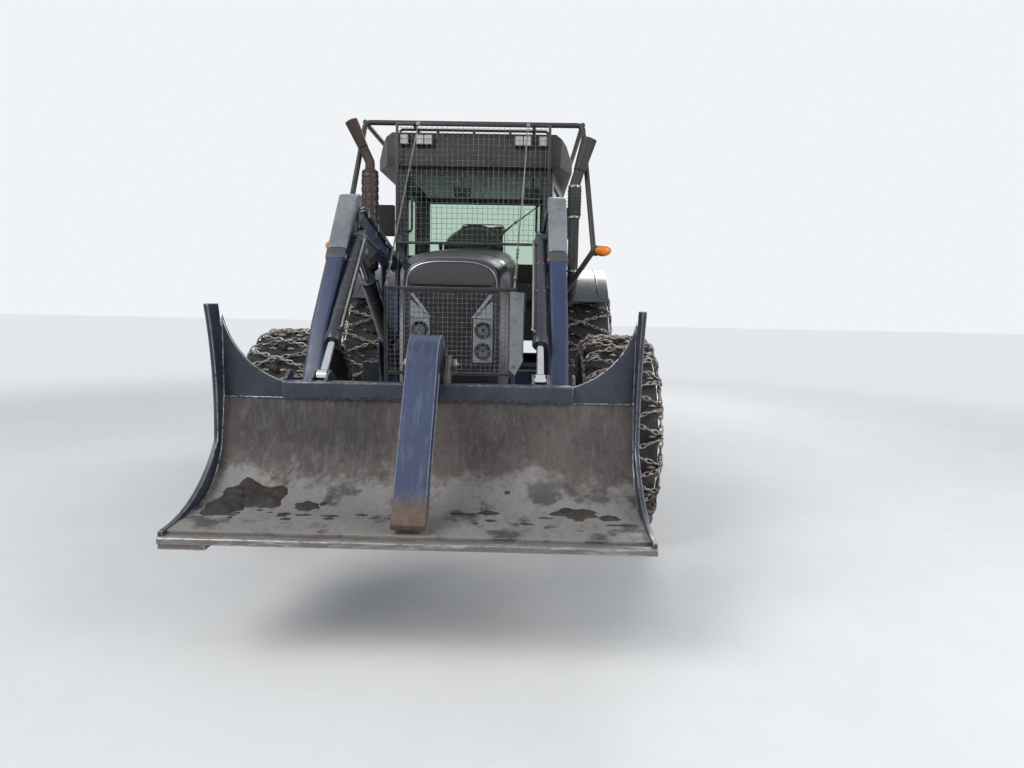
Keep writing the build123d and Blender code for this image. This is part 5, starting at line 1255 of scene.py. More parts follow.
def add_loop(bm, points, radius, sides=8):
    """A closed tube through a ring of points."""
    points = [Vector(p) for p in points]
    rings = []
    for index, here in enumerate(points):
        ahead = (points[(index + 1) % len(points)] - points[index - 1]).normalized()
        side = (ahead.orthogonal() if index == 0 else side - ahead * side.dot(ahead)).normalized()
        up = ahead.cross(side)
        rings.append([bm.verts.new(here + (side * math.cos(a) + up * math.sin(a)) * radius)
                      for a in around(sides)])
    for first, second in zip(rings, rings[1:] + rings[:1]):
        bridge(bm, first, second)


# Guards

GUARD_Y, GUARD_HALF, GUARD_FOOT, GUARD_TOP = -1.302, 0.389, 0.940, 1.616
GUARD_LEVELS = (1.602, 1.090, 0.958)
SCREEN_Y, SCREEN_HALF, SCREEN_FOOT, SCREEN_TOP = 0.3557, 0.628, 2.010, 2.995
PLATE_Y = GUARD_Y - 0.020
SCREEN_LUG_X = 0.619


def add_frame(bm, y, half, low, high, levels, bar):
    """Two upright bars and level bars between them, of square section."""
    for side, _ in SIDES:
        add_box(bm, (side * half - bar / 2, y - bar / 2, low), (side * half + bar / 2, y + bar / 2, high))
    for level in levels:
        add_box(bm, (-half, y - bar / 2, level - bar / 2), (half, y + bar / 2, level + bar / 2))
    round_edges(bm, bar * 0.16)


def add_turnbuckle(bm, start, aim):
    """Two bars joined by threaded eyes, along a taut rope."""
    side = aim.orthogonal().normalized() * 0.009
    for shift in (side, -side):
        add_rod(bm, start + aim * 0.07 + shift, start + aim * 0.21 + shift, 0.0035, 8)
    for reach in (0.07, 0.21):
        add_rod(bm, start + aim * (reach - 0.012), start + aim * (reach + 0.012), 0.0125, 10)
    add_rod(bm, start, start + aim * 0.11, 0.005, 8)
    add_rod(bm, start + aim * 0.17, start + aim * 0.26, 0.005, 8)


class BuildGuards(bpy.types.Operator):
    """Makes the mesh guards, their side plate and lamp box, the lamp rail and the limb risers"""

    bl_idname = "tractor.guards"
    bl_label = "Guards"

    def execute(self, context):
        sizes = context.scene.tractor_sizes
        bar = sizes.guard_bar
        bm = bmesh.new()
        add_frame(bm, GUARD_Y, GUARD_HALF, GUARD_FOOT, GUARD_TOP, GUARD_LEVELS, bar)
        low, high = BOX["front_support"]
        add_box(bm, (low.x + 0.005, GUARD_Y, 0.942), (high.x - 0.005, low.y - 0.001, 0.974))
        fit("grille_guard_frame", bm, "guard_paint", "chassis", "guard_paint", "grille_guard")
        width, foot, top = 2 * GUARD_HALF - bar, GUARD_LEVELS[1] + bar / 2, GUARD_TOP - 0.028
        mesh = grow("grille_guard_mesh", "Woven Wire", "guard_paint", Width=width, Height=top - foot,
                    Pitch=sizes.grille_pitch, Wire=sizes.wire_radius,
                    Centre=(0, GUARD_Y, (foot + top) / 2))
        settle(mesh, "chassis", "guard_paint")

        bm = bmesh.new()
        add_frame(bm, SCREEN_Y, SCREEN_HALF, SCREEN_FOOT, SCREEN_TOP,
                  (SCREEN_FOOT + 0.012, SCREEN_TOP - 0.012), bar)
        for side, _ in SIDES:
            lug_z = SCREEN_FOOT + 0.040
            add_box(bm, (side * SCREEN_LUG_X - 0.017, SCREEN_Y, lug_z - 0.03),
                    (side * SCREEN_LUG_X + 0.017, pillar_y(lug_z) - 0.008, lug_z + 0.03))
        fit("screen_guard_frame", bm, "guard_paint", "chassis", "guard_paint", "screen_guard")
        mesh = grow("screen_guard_mesh", "Woven Wire", "guard_paint", Width=2 * SCREEN_HALF - bar,
                    Height=SCREEN_TOP - SCREEN_FOOT - 0.046, Pitch=sizes.screen_pitch,
                    Wire=sizes.wire_radius, Centre=(0, SCREEN_Y, (SCREEN_FOOT + SCREEN_TOP) / 2))
        settle(mesh, "chassis", "guard_paint")
        self.side_plate()
        self.lamp_rail()
        self.limb_risers()
        return {"FINISHED"}

    def side_plate(self):
        bm = bmesh.new()
        outline = [(0.364, 1.592), (0.449, 1.586), (0.449, 1.180), (0.399, 1.085), (0.364, 1.120)]
        add_extruded(bm, outline, "Y", PLATE_Y, PLATE_Y + 0.006)
        add_box(bm, (0.443, PLATE_Y, 1.190), (0.449, PLATE_Y + 0.030, 1.580))
        round_edges(bm, 0.0015)
        fit("guard_side_plate", bm, "plate_paint", "chassis", "guard_paint")
        bolts("guard_plate_bolts", [(GUARD_HALF, PLATE_Y, z) for z in (1.14, 1.28, 1.42, 1.56)],
              (0, -1, 0), 0.008)
        bm = bmesh.new()
        add_box(bm, (0.428, -1.290, 1.470), (0.458, -1.225, 1.590))
        round_edges(bm, 0.006)
        add_rod(bm, (0.443, -1.288, 1.535), (0.443, -1.296, 1.535), 0.012, 24)
        fit("guard_lamp_box", bm, "trim_plastic", "chassis", "trim_plastic")

    def lamp_rail(self):
        bm = bmesh.new()
        rail_z, rail_y = 2.952, 0.428
        add_tube(bm, [(-0.62, rail_y, 2.932), (-0.60, rail_y, rail_z), (0.60, rail_y, rail_z),
                      (0.62, rail_y, 2.932)], 0.011, 12, bend=0.02)
        for x in (-0.30, 0.0, 0.30):
            add_box(bm, (x - 0.012, rail_y - 0.010, 2.929), (x + 0.012, rail_y + 0.010, rail_z))
        fit("lamp_rail", bm, "guard_paint", "chassis", "guard_paint")

    def limb_risers(self):
        rope, fittings = blanks(2)
        for side, _ in SIDES:
            foot = Vector((side * GUARD_HALF, GUARD_Y, GUARD_TOP + 0.010))
            head = Vector((side * 0.450, SCREEN_Y - 0.021, SCREEN_TOP - 0.014))
            aim = (head - foot).normalized()
            add_rope(rope, foot + aim * 0.25, head, 0.0052)
            add_turnbuckle(fittings, foot, aim)
            add_rod(fittings, foot - Vector((0, 0, 0.012)), foot + aim * 0.02, 0.008, 10)
            for reach in (0.29, 0.33, 0.37):
                add_rod(fittings, foot + aim * reach, foot + aim * (reach + 0.012), 0.009, 8)
            add_box(fittings, head - Vector((0.014, 0.003, 0.014)), head + Vector((0.014, 0.008, 0.012)))
        fit("limb_riser_ropes", rope, "cable_steel", "chassis", "cable_steel", "limb_risers")
        fit("limb_riser_fittings", fittings, "zinc", "chassis", "cable_steel")


# Hood

# columns: y, half width, crown's height
HOOD_SECTIONS = ((-1.220, 0.300, 1.790), (-1.050, 0.350, 1.845), (0.350, 0.370, 1.985))
HOOD_RISE, HOOD_BULGE = 0.200, 3.2
NOSE_Y = HOOD_SECTIONS[0][0]


def hood_size(y):
    """Half width and crown of the hood at a place along it."""
    for (y0, half0, crown0), (y1, half1, crown1) in zip(HOOD_SECTIONS, HOOD_SECTIONS[1:]):
        if y <= y1:
            share = (y - y0) / (y1 - y0)
            return half0 + (half1 - half0) * share, crown0 + (crown1 - crown0) * share


def split_z(y):
    """The line between the hood that lifts and its lower sides."""
    return 1.6105 + 0.120 * (y - NOSE_Y) / 1.570


def crown_line(y, inset=0.0, steps=22):
    """Points (x, z) of a hood section from its left split line over the crown."""
    half, crown = hood_size(y)
    half, crown = half - inset, crown - inset
    rise = HOOD_RISE - inset
    shoulder = crown - rise
    if split_z(y) < shoulder:
        start = 0.0
        side = [(half, split_z(y)), (half, (split_z(y) + shoulder) / 2)]
    else:
        start = math.asin(((split_z(y) - shoulder) / rise) ** (HOOD_BULGE / 2))
        side = [(half * math.cos(start) ** (2 / HOOD_BULGE), split_z(y))] * 2
    for step in range(steps + 1):
        a = start + (math.pi / 2 - start) * step / steps
        side.append((half * max(math.cos(a), 0) ** (2 / HOOD_BULGE),
                     shoulder + rise * math.sin(a) ** (2 / HOOD_BULGE)))
    return side + [(-x, z) for x, z in reversed(side[:-1])]


def add_hood_skin(bm):
    """The hood that lifts: an outer and an inner skin, and a rounded front edge."""
    stations = [(NOSE_Y, 0.012), (NOSE_Y + 0.003, 0.005), (NOSE_Y + 0.010, 0.0)]
    stations += [(NOSE_Y + 0.17 * k / 4, 0.0) for k in range(1, 5)]
    stations += [(-1.05 + 1.40 * k / 10, 0.0) for k in range(1, 11)]
    rings = [[bm.verts.new((x, y, z)) for x, z in crown_line(y, inset)] for y, inset in stations]
    inner = [[bm.verts.new((x, y, z)) for x, z in crown_line(y, 0.018)]
             for y in (0.350, -0.30, -1.05, NOSE_Y + 0.020)]
    for first, second in zip(rings + inner, rings[1:] + inner):
        bridge(bm, first, second, closed=False)
    for ring in (rings[0], inner[-1]):
        bm.faces.new(ring)


class BuildHood(bpy.types.Operator):
    """Makes the hood's smooth crown, its nose panel, trim, lamps, vents and catches"""

    bl_idname = "tractor.hood"
    bl_label = "Hood"

    def execute(self, context):
        bm = bmesh.new()
        add_hood_skin(bm)
        for side, _ in SIDES:
            for x in (0.140, 0.155):
                add_box(bm, (side * x - 0.007, 0.300, 1.885), (side * x + 0.007, 0.345, 1.965))
            add_rod(bm, (side * 0.133, 0.330, 1.880), (side * 0.162, 0.330, 1.880), 0.018, 16)
        fit("hood_crown", bm, "body_paint", "hood", "body_paint", "hood", smooth_angle=35)
        self.nose()
        self.lamps()
        self.sides()
        return {"FINISHED"}

    def nose(self):
        upper = [(x, z) for x, z in crown_line(NOSE_Y, 0.030) if z > 1.640]
        bm = bmesh.new()
        shield = upper + [(-0.236, 1.618), (0.236, 1.618)]
        add_extruded(bm, shield, "Y", NOSE_Y - 0.004, NOSE_Y + 0.002)
        round_edges(bm, 0.002)
        fit("nose_shield", bm, "gloss_black", "hood", "body_paint")
        bm = bmesh.new()
        add_tube(bm, [(x, NOSE_Y - 0.001, z) for x, z in crown_line(NOSE_Y, 0.020)], 0.0045, 8, bend=0)
        fit("nose_trim", bm, "silver_trim", "hood", "body_paint")
        bm = bmesh.new()
        for side, _ in SIDES:
            add_extruded(bm, [(side * 0.258, 1.575), (side * 0.236, 1.578), (side * 0.128, 1.432),
                              (side * 0.150, 1.428)], "Y", NOSE_Y - 0.004, NOSE_Y + 0.010)
            add_extruded(bm, [(side * 0.262, 1.430), (side * 0.130, 1.440), (side * 0.128, 1.428),
                              (side * 0.262, 1.420)], "Y", NOSE_Y - 0.006, NOSE_Y + 0.010)
        round_edges(bm, 0.002)
        fit("nose_strips", bm, "silver_trim", "chassis", "body_paint")
        bm = bmesh.new()
        slats = [(1.185 + 0.028 * level, 0.112 + 0.0008 * level) for level in range(9)]
        slats += [(1.455, 0.150), (1.485, 0.172), (1.515, 0.192), (1.545, 0.212)]
        for z, half in slats:
            add_box(bm, (-half, NOSE_Y + 0.002, z - 0.004), (half, NOSE_Y + 0.010, z + 0.004))
        round_edges(bm, 0.0015, 1)
        fit("nose_slats", bm, "trim_plastic", "chassis", "trim_plastic")

    def lamps(self):
        shell, rims, bowls, glass = blanks(4)
        rim = [(0.052, 0.0), (0.052, 0.010), (0.046, 0.016), (0.033, 0.0125), (0.033, 0.0)]
        bowl = [(0.041, 0.002), (0.034, -0.004), (0.018, -0.010), (0.002, -0.012), (0.002, -0.016),
                (0.042, -0.006)]
        bulb = [(0.010, -0.010), (0.010, 0.002), (0.006, 0.006)]
        lens = [(0.041, 0.006), (0.030, 0.0095), (0.012, 0.0115), (0.0005, 0.012), (0.0005, 0.009),
                (0.041, 0.004)]
        for side, _ in SIDES:
            x = side * 0.196
            outline = [(side * 0.134, 1.152), (side * 0.258, 1.152), (side * 0.258, 1.545),
                       (side * 0.134, 1.432)]
            add_extruded(shell, outline, "Y", NOSE_Y + 0.002, NOSE_Y + 0.050)
            for z in (1.355, 1.225):
                spot = (x, NOSE_Y + 0.004, z)
                add_turned(rims, rim, spot, (0, -1, 0), 36, closed=True)
                add_turned(bowls, bowl, spot, (0, -1, 0), 32)
                add_turned(bowls, bulb, spot, (0, -1, 0), 16)
                add_turned(glass, lens, spot, (0, -1, 0), 32)
        round_edges(shell, 0.006)
        fit("headlamp_panels", shell, "lamp_panel", "chassis", "body_paint", "headlamps")
        fit("headlamp_rims", rims, "gloss_black", "chassis", "trim_plastic")
        fit("headlamp_bowls", bowls, "reflector", "chassis", "lamp_lens")
        fit("headlamp_glass", glass, "lamp_lens", "chassis", "lamp_lens")

    def sides(self):
        vents, catches, seams = blanks(3)
        for side, _ in SIDES:
            for row in range(9):
                y = -0.86 + 0.062 * row
                x = side * (hood_size(y)[0] + 0.001)
                slope = Matrix.Rotation(side * math.radians(-24), 4, "Z")
                add_box(vents, (x - 0.010, y - 0.004, 1.22), (x + 0.006, y + 0.030, 1.47), slope)
            for y in (-0.98, 0.14):
                x = side * hood_size(y)[0]
                z = split_z(y) - 0.045
                add_box(catches, (x - 0.004, y - 0.018, z - 0.028),
                        (x + side * 0.008, y + 0.018, z + 0.028))
                add_rod(catches, (x, y, z + 0.020), (x + side * 0.014, y, z + 0.020), 0.010, 14)
            add_tube(seams, [(side * (hood_size(y)[0] - 0.003), y, split_z(y) - 0.005)
                             for y in (-1.03, -0.6, -0.1, 0.34)], 0.0042, 8, bend=0)
        round_edges(vents, 0.003, 1)
        round_edges(catches, 0.002, 1)
        fit("hood_vents", vents, "trim_plastic", "chassis", "body_paint")
        fit("hood_catches", catches, "zinc", "chassis", "body_paint")
        fit("hood_seal", seams, "soft_rubber", "chassis", "trim_plastic")


# Loader

ARM_HALF = 0.050
BOOM_PIVOT, CARRIER = (0.150, 1.850), (-2.100, 0.800)
LIFT_BASE, LIFT_EYE = (0.030, 1.180), (-0.950, 1.830)
TILT_BASE, TILT_EYE = (-1.320, 1.900), (-2.130, 1.140)
TILT_X, CLAMP_BASE, CLAMP_EYE, CLAMP_PIVOT = 0.536, (-2.080, 0.705), (-2.040, 1.190), (-2.145, 1.215)
ARM_X, PIPE_X = 0.635, 0.577


def add_pin_cap(bm, x, side, spot, radius):
    """A pin's end with its locking bolt and greaser, on the outside of an ear."""
    y, z = spot
    add_turned(bm, [(radius, 0.0), (radius, 0.008), (radius * 0.86, 0.012), (0.0005, 0.013)],
               (x, y, z), (side, 0, 0), 28)
    add_rod(bm, (x + side * 0.012, y, z), (x + side * 0.022, y, z), radius * 0.22, 8)
    add_bolt(bm, (x, y + radius + 0.016, z), (side, 0, 0), 0.010)


def along(start, end, distance, x, lift=0.0):
    """A point beside a cylinder's axis: its distance from the base, its x and its lift off the axis."""
    run = (Vector(end) - Vector(start)).normalized()
    spot = Vector(start) + run * distance + Vector((run.y, -run.x)) * lift
    return Vector((x, spot.x, spot.y))


def add_cylinder_fittings(bm, pipes, base, eye, x, radius, barrel, pipe_side):
    """Gland, port bosses, weld rings and the rigid pipe of one cylinder."""
    run = (Vector(eye) - Vector(base)).normalized()
    aim = Vector((0, run.x, run.y))
    end = along(base, eye, barrel, x)
    beside, port_reach = radius * 0.72, radius * 0.8
    add_turned(bm, [(radius * 0.99, -0.050), (radius + 0.004, -0.048), (radius + 0.004, -0.006),
                    (radius, 0.001), (radius * 0.6, 0.002)], end, aim, 28)
    for reach in (0.075, barrel - 0.070):
        foot = along(base, eye, reach, x)
        port = along(base, eye, reach, x + pipe_side * beside, beside)
        add_rod(bm, foot, port + (port - foot) * 0.22, 0.011, 12)
    lift, out = beside + 0.012, x + pipe_side * (beside + 0.012)
    add_tube(pipes, [along(base, eye, 0.075, x + pipe_side * port_reach, port_reach),
                     along(base, eye, 0.075, out + pipe_side * 0.006, lift + 0.008),
                     along(base, eye, 0.11, out, lift), along(base, eye, barrel - 0.10, out, lift),
                     along(base, eye, barrel - 0.070, out + pipe_side * 0.004, lift + 0.006),
                     along(base, eye, barrel - 0.070, x + pipe_side * port_reach, port_reach)],
             0.0062, 10, bend=0.02)
    for reach in (0.25, barrel * 0.55, barrel - 0.22):
        spot = along(base, eye, reach, x)
        add_turned(bm, [(radius * 0.99, -0.009), (radius + 0.0025, -0.009), (radius + 0.0025, 0.009),
                        (radius * 0.99, 0.009)], spot, aim, 28, closed=True)


class BuildLoader(bpy.types.Operator):
    """Makes the loader's rounded arms, knee covers, pins, pipes and hoses"""

    bl_idname = "tractor.loader"
    bl_label = "Loader"

    def execute(self, context):
        self.arms(context.scene.tractor_sizes.arm_round)
        self.covers()
        self.pins()
        self.cylinders()
        self.hoses()
        return {"FINISHED"}

    def arms(self, rounding):
        outline = [(0.150, 1.780), (0.200, 1.800), (0.200, 1.900), (0.150, 1.920), (-1.130, 2.175),
                   (-1.230, 2.155), (-1.300, 2.065), (-1.840, 1.400), (-2.155, 0.835), (-2.145, 0.765),
                   (-2.100, 0.745), (-2.040, 0.790), (-1.820, 1.120), (-1.735, 1.330), (-1.140, 1.905),
                   (-1.040, 1.945)]
        lug = [(-0.530, 1.890), (-1.110, 1.990), (-1.330, 1.875), (-1.190, 1.755), (-1.000, 1.785),
               (-0.900, 1.785)]
        web = [(-1.980, 0.960), (-1.950, 1.100), (-1.825, 1.085), (-1.773, 1.030), (-1.773, 0.990),
               (-1.825, 0.942)]
        bm, plates = blanks(2)
        for side, _ in SIDES:
            add_extruded(bm, outline, "X", side * ARM_X - ARM_HALF, side * ARM_X + ARM_HALF)
            for x in (0.585, 0.673):
                add_extruded(plates, lug, "X", *span(side, x, x + 0.012))
            add_extruded(plates, web, "X", *span(side, 0.573, 0.585))
        round_edges(bm, rounding, 4)
        round_edges(plates, 0.002, 1)
        for side, _ in SIDES:
            add_rod(plates, (side * 0.575, *LIFT_EYE), (side * 0.695, *LIFT_EYE), 0.030, 24)
            add_rod(plates, (side * 0.502, *TILT_BASE), (side * 0.586, *TILT_BASE), 0.018, 20)
        add_rod(plates, (-0.585, -1.835, 1.010), (0.585, -1.835, 1.010), 0.060, 40)
        fit("boom_arms", bm, "loader_steel", "boom", "loader_steel", "boom")
        fit("boom_plates", plates, "arm_plate", "boom", "loader_steel")

    def covers(self):
        cover = [(-1.080, 2.170), (-1.130, 2.180), (-1.232, 2.160), (-1.305, 2.070), (-1.500, 1.820),
                 (-1.470, 1.803), (-1.280, 2.000), (-1.110, 2.015)]
        bm, joints, seams = blanks(3)
        for side, _ in SIDES:
            x = span(side, 0.580, 0.690)
            add_extruded(bm, cover, "X", *x)
            band = [(-1.505, 1.815), (-1.545, 1.765), (-1.475, 1.708), (-1.435, 1.758)]
            add_extruded(joints, band, "X", x[0] + 0.001, x[1] - 0.001)
        round_edges(bm, 0.018, 4)
        round_edges(joints, 0.006, 2)
        for side, _ in SIDES:
            for reach in (-0.056, 0.056):
                x = side * ARM_X + reach
                add_rod(joints, (x - 0.004, -1.492, 1.762), (x + 0.004, -1.492, 1.762), 0.022, 20)
            seam = [(side * 0.5815, 0.10, 1.785), (side * 0.5815, -0.50, 1.862),
                    (side * 0.5815, -1.02, 1.925)]
            add_tube(seams, seam, 0.004, 6, bend=0)
        fit("knee_covers", bm, "cover_steel", "boom", "loader_steel")
        fit("knee_joints", joints, "cast_metal", "boom", "loader_steel")
        fit("boom_seams", seams, "loader_steel", "boom", "loader_steel")

    def pins(self):
        tower, arm, blade = blanks(3)
        for side, _ in SIDES:
            edge = BOX["loader_frame"][1].x
            add_pin_cap(tower, side * edge, side, BOOM_PIVOT, 0.036)
            add_pin_cap(arm, side * 0.694, side, LIFT_EYE, 0.030)
            add_pin_cap(blade, side * 0.714, side, CARRIER, 0.026)
            for y, z in ((-0.25, 1.905), (-0.65, 1.985)):
                add_box(arm, (side * ARM_X - 0.052, y - 0.02, z - 0.02),
                        (side * ARM_X + 0.052, y + 0.02, z + 0.02))
        round_edges(arm, 0.002, 1)
        fit("tower_pins", tower, "zinc", "chassis", "loader_steel")
        fit("arm_pins", arm, "zinc", "boom", "loader_steel")
        fit("carrier_pins", blade, "zinc", "blade", "loader_steel")

    def cylinders(self):
        # columns: name, its two pins, x, the barrel's radius and length
        for name, base, eye, x, radius, barrel in (
                ("lift", LIFT_BASE, LIFT_EYE, ARM_X, 0.050, 0.892),
                ("tilt", TILT_BASE, TILT_EYE, TILT_X, 0.038, 0.871)):
            fittings, pipes = blanks(2)
            for side, _ in SIDES:
                add_cylinder_fittings(fittings, pipes, base, eye, side * x, radius, barrel, -side)
            fit(f"{name}_fittings", fittings, "cylinder_paint", f"{name}_barrels", "loader_steel")
            fit(f"{name}_pipes", pipes, "zinc", f"{name}_barrels", "loader_steel")

    def hoses(self):
        pipes, hoses, clips = blanks(3)
        for side, _ in SIDES:
            x = side * PIPE_X
            for drop in (0.0, 0.018):
                line = [(x, 0.060, 1.885 - drop), (x, -1.060, 2.110 - drop), (x, -1.170, 2.080 - drop)]
                add_tube(pipes, line, 0.0065, 10, bend=0.05)
                front = [(side * (PIPE_X - 0.004), -1.235, 2.050 - drop),
                         (side * (PIPE_X - 0.020), -1.285, 1.990 - drop),
                         (side * (PIPE_X - 0.030), -1.335, 1.945 - drop * 1.4)]
                rear = [(side * (PIPE_X - 0.010), 0.110, 1.872 - drop),
                        (side * (PIPE_X - 0.030), 0.165, 1.800 - drop),
                        (side * (PIPE_X - 0.045), 0.160, 1.700 - drop)]
                add_tube(hoses, [line[-1], *front], 0.0085, 10, bend=0.05)
                add_tube(hoses, [line[0], *rear], 0.0085, 10, bend=0.05)
                for y, z in ((0.060, 1.885 - drop), (-1.160, 2.083 - drop)):
                    add_rod(clips, (x, y + 0.016, z - 0.003), (x, y - 0.016, z + 0.003), 0.0105, 6)
            for share in (0.12, 0.38, 0.64, 0.90):
                y, z = 0.060 - 1.12 * share, 1.876 + 0.225 * share
                add_box(clips, (x - 0.011, y - 0.012, z - 0.024), (x + 0.011, y + 0.012, z + 0.024))
        fit("boom_pipes", pipes, "zinc", "boom", "loader_steel")
        fit("boom_hoses", hoses, "soft_rubber", "boom", "trim_plastic")
        fit("boom_clips", clips, "loader_steel", "boom", "loader_steel")


# Blade and clamp

BLADE_EDGE, LIP_Z = -2.855, 0.560
CREASE = (-2.610, 0.590)
BOARD_KNEE, BOARD_RISE, BOARD_TOP = (-2.380, 0.675), (-2.280, 0.860), (-2.250, 1.050)
SIDE_INNER, WING_INNER, FLANGE_TOP, WING_TOP = 0.980, 0.693, 1.130, 1.490
LUMP_RINGS, LUMP_SIDES = 6, 28
CLAMP_HALF = 0.070


def arc(start, middle, end, steps=12):
    """Points on the circle through three points, without the first."""
    (ax, ay), (bx, by), (cx, cy) = start, middle, end
    d = 2 * (ax * (by - cy) + bx * (cy - ay) + cx * (ay - by))
    a2, b2, c2 = ax * ax + ay * ay, bx * bx + by * by, cx * cx + cy * cy
    ox = (a2 * (by - cy) + b2 * (cy - ay) + c2 * (ay - by)) / d
    oy = (a2 * (cx - bx) + b2 * (ax - cx) + c2 * (bx - ax)) / d
    radius = math.hypot(ax - ox, ay - oy)
    first, mid, last = (math.atan2(y - oy, x - ox) for x, y in (start, middle, end))
    turn = (last - first) % (2 * math.pi)
    if (mid - first) % (2 * math.pi) > turn:
        turn -= 2 * math.pi
    return [(ox + radius * math.cos(first + turn * k / steps),
             oy + radius * math.sin(first + turn * k / steps))
            for k in range(1, steps + 1)]


def board_front():
    """The mouldboard's front face from its lip to the flange, as (y, z)."""
    curve = arc(CREASE, BOARD_KNEE, BOARD_RISE, 16)
    return [(BLADE_EDGE + 0.040, LIP_Z + 0.014), CREASE, *curve, BOARD_TOP]


class BuildBlade(bpy.types.Operator):
    """Makes the mouldboard, its flange, wings and side plates, ears, welds and dried mud"""

    bl_idname = "tractor.blade"
    bl_label = "Blade"

    def execute(self, context):
        self.board()
        self.frame()
        self.ears()
        self.welds()
        self.mud(context.scene.tractor_sizes.mud_height)
        return {"FINISHED"}

    def board(self):
        front = board_front()
        back = [(BOARD_TOP[0] + 0.020, BOARD_TOP[1]), (BOARD_RISE[0] + 0.020, BOARD_RISE[1]),
                *arc((BOARD_RISE[0] + 0.020, BOARD_RISE[1]), (BOARD_KNEE[0] + 0.014, BOARD_KNEE[1] - 0.014),
                     (CREASE[0] + 0.004, CREASE[1] - 0.020), 16),
                (BLADE_EDGE + 0.150, LIP_Z + 0.0003), (BLADE_EDGE + 0.040, LIP_Z + 0.0003)]
        bm = bmesh.new()
        add_extruded(bm, front + back, "X", -SIDE_INNER, SIDE_INNER)
        fit("mouldboard", bm, "blade_steel", "blade", "blade_steel", "blade", smooth_angle=25)

    def frame(self):
        bm = bmesh.new()
        add_box(bm, (-WING_INNER, BOARD_TOP[0] - 0.020, BOARD_TOP[1]),
                (WING_INNER, BOARD_TOP[0] + 0.060, FLANGE_TOP))
        add_box(bm, (-SIDE_INNER, -2.330, 0.600), (SIDE_INNER, -2.195, 0.700))
        round_edges(bm, 0.010, 3)
        sides = bmesh.new()
        outer = [(BLADE_EDGE + 0.005, LIP_Z + 0.0003), (BLADE_EDGE + 0.005, LIP_Z + 0.020)]
        outer += arc(outer[-1], (-2.500, LIP_Z + 0.120), (-2.324, LIP_Z + 0.290), 14)
        outer += arc((-2.324, LIP_Z + 0.290), (-2.328, 1.170), (-2.396, WING_TOP), 14)
        outer += [(-2.280, WING_TOP), (-2.195, 1.130), (-2.195, 0.690), (-2.470, LIP_Z + 0.0003)]
        for side, _ in SIDES:
            add_extruded(sides, outer, "X", *span(side, SIDE_INNER, SIDE_INNER + 0.020))
            wing = [(side * SIDE_INNER, WING_TOP - 0.050), (side * SIDE_INNER, BOARD_TOP[1]),
                    (side * WING_INNER, BOARD_TOP[1]), (side * WING_INNER, FLANGE_TOP)]
            wing += arc(wing[-1], (side * (WING_INNER + 0.170), FLANGE_TOP + 0.100), wing[0], 16)[:-1]
            add_extruded(sides, wing, "Y", BOARD_TOP[0], BOARD_TOP[0] + 0.015)
        round_edges(sides, 0.0025, 2, 50)
        fit("blade_frame", bm, "blade_paint", "blade", "blade_steel")
        fit("blade_sides", sides, "blade_paint", "blade", "blade_steel")

    def ears(self):
        ear = [(BOARD_TOP[0] + 0.012, 1.052), (BOARD_TOP[0] + 0.030, FLANGE_TOP + 0.002),
               (TILT_EYE[0] - 0.020, TILT_EYE[1] + 0.035), (TILT_EYE[0] + 0.025, TILT_EYE[1] + 0.030),
               (CARRIER[0] + 0.050, CARRIER[1] + 0.060), (CARRIER[0] + 0.055, CARRIER[1] - 0.030),
               (CARRIER[0] - 0.020, CARRIER[1] - 0.060), (BOARD_KNEE[0] + 0.060, 0.620),
               (BOARD_RISE[0] + 0.012, BOARD_RISE[1] - 0.050), (BOARD_RISE[0] + 0.012, BOARD_RISE[1])]
        ribs = [(BOARD_RISE[0] + 0.014, 0.705), (BOARD_RISE[0] + 0.060, 0.700),
                (BOARD_TOP[0] + 0.050, 1.051), (BOARD_TOP[0] + 0.014, 1.051),
                (BOARD_RISE[0] + 0.014, BOARD_RISE[1])]
        bm = bmesh.new()
        for side, _ in SIDES:
            for low, high in ((0.494, 0.506), (0.567, 0.580), (0.690, 0.703)):
                add_extruded(bm, ear, "X", *span(side, low, high))
            for x in (0.290, 0.860):
                add_extruded(bm, ribs, "X", side * x - 0.006, side * x + 0.006)
        round_edges(bm, 0.002, 1)
        for side, _ in SIDES:
            add_rod(bm, (side * 0.567, *CARRIER), (side * 0.715, *CARRIER), 0.025, 24)
        fit("blade_ears", bm, "blade_paint", "blade", "blade_steel")

    def welds(self):
        chance = random.Random(5)
        bm = bmesh.new()

        def bead(points, radius):
            path = even_path([Vector(p) for p in points], radius * 1.7)
            wavy = [p + Vector([chance.uniform(-1, 1) * radius * 0.25 for _ in range(3)]) for p in path]
            add_tube(bm, wavy, radius, 6, bend=0)

        y, z = BOARD_TOP
        bead([(-SIDE_INNER, y - 0.002, z), (-0.08, y - 0.002, z)], 0.0045)
        bead([(0.08, y - 0.002, z), (SIDE_INNER, y - 0.002, z)], 0.0045)
        for side, _ in SIDES:
            x = side * (SIDE_INNER - 0.002)
            bead([(x, along - 0.002, up + 0.002) for along, up in board_front()[1:]], 0.0045)
            bead([(x, y - 0.001, z), (x, y - 0.001, WING_TOP - 0.06)], 0.0045)
        fit("blade_welds", bm, "blade_paint", "blade", "blade_steel", smooth_angle=60)

    def mud(self, height):
        """Lumps of dried mud that follow the mouldboard's face."""
        front = [Vector(p) for p in board_front()]
        chance = random.Random(11)

        def on_board(run):
            for start, end in zip(front, front[1:]):
                step = (end - start).length
                if run <= step:
                    aim = (end - start) / step
                    return start + aim * run, Vector((aim.y, -aim.x)) * -1
                run -= step
            return front[-1], Vector((-1, 0))

        bm = bmesh.new()
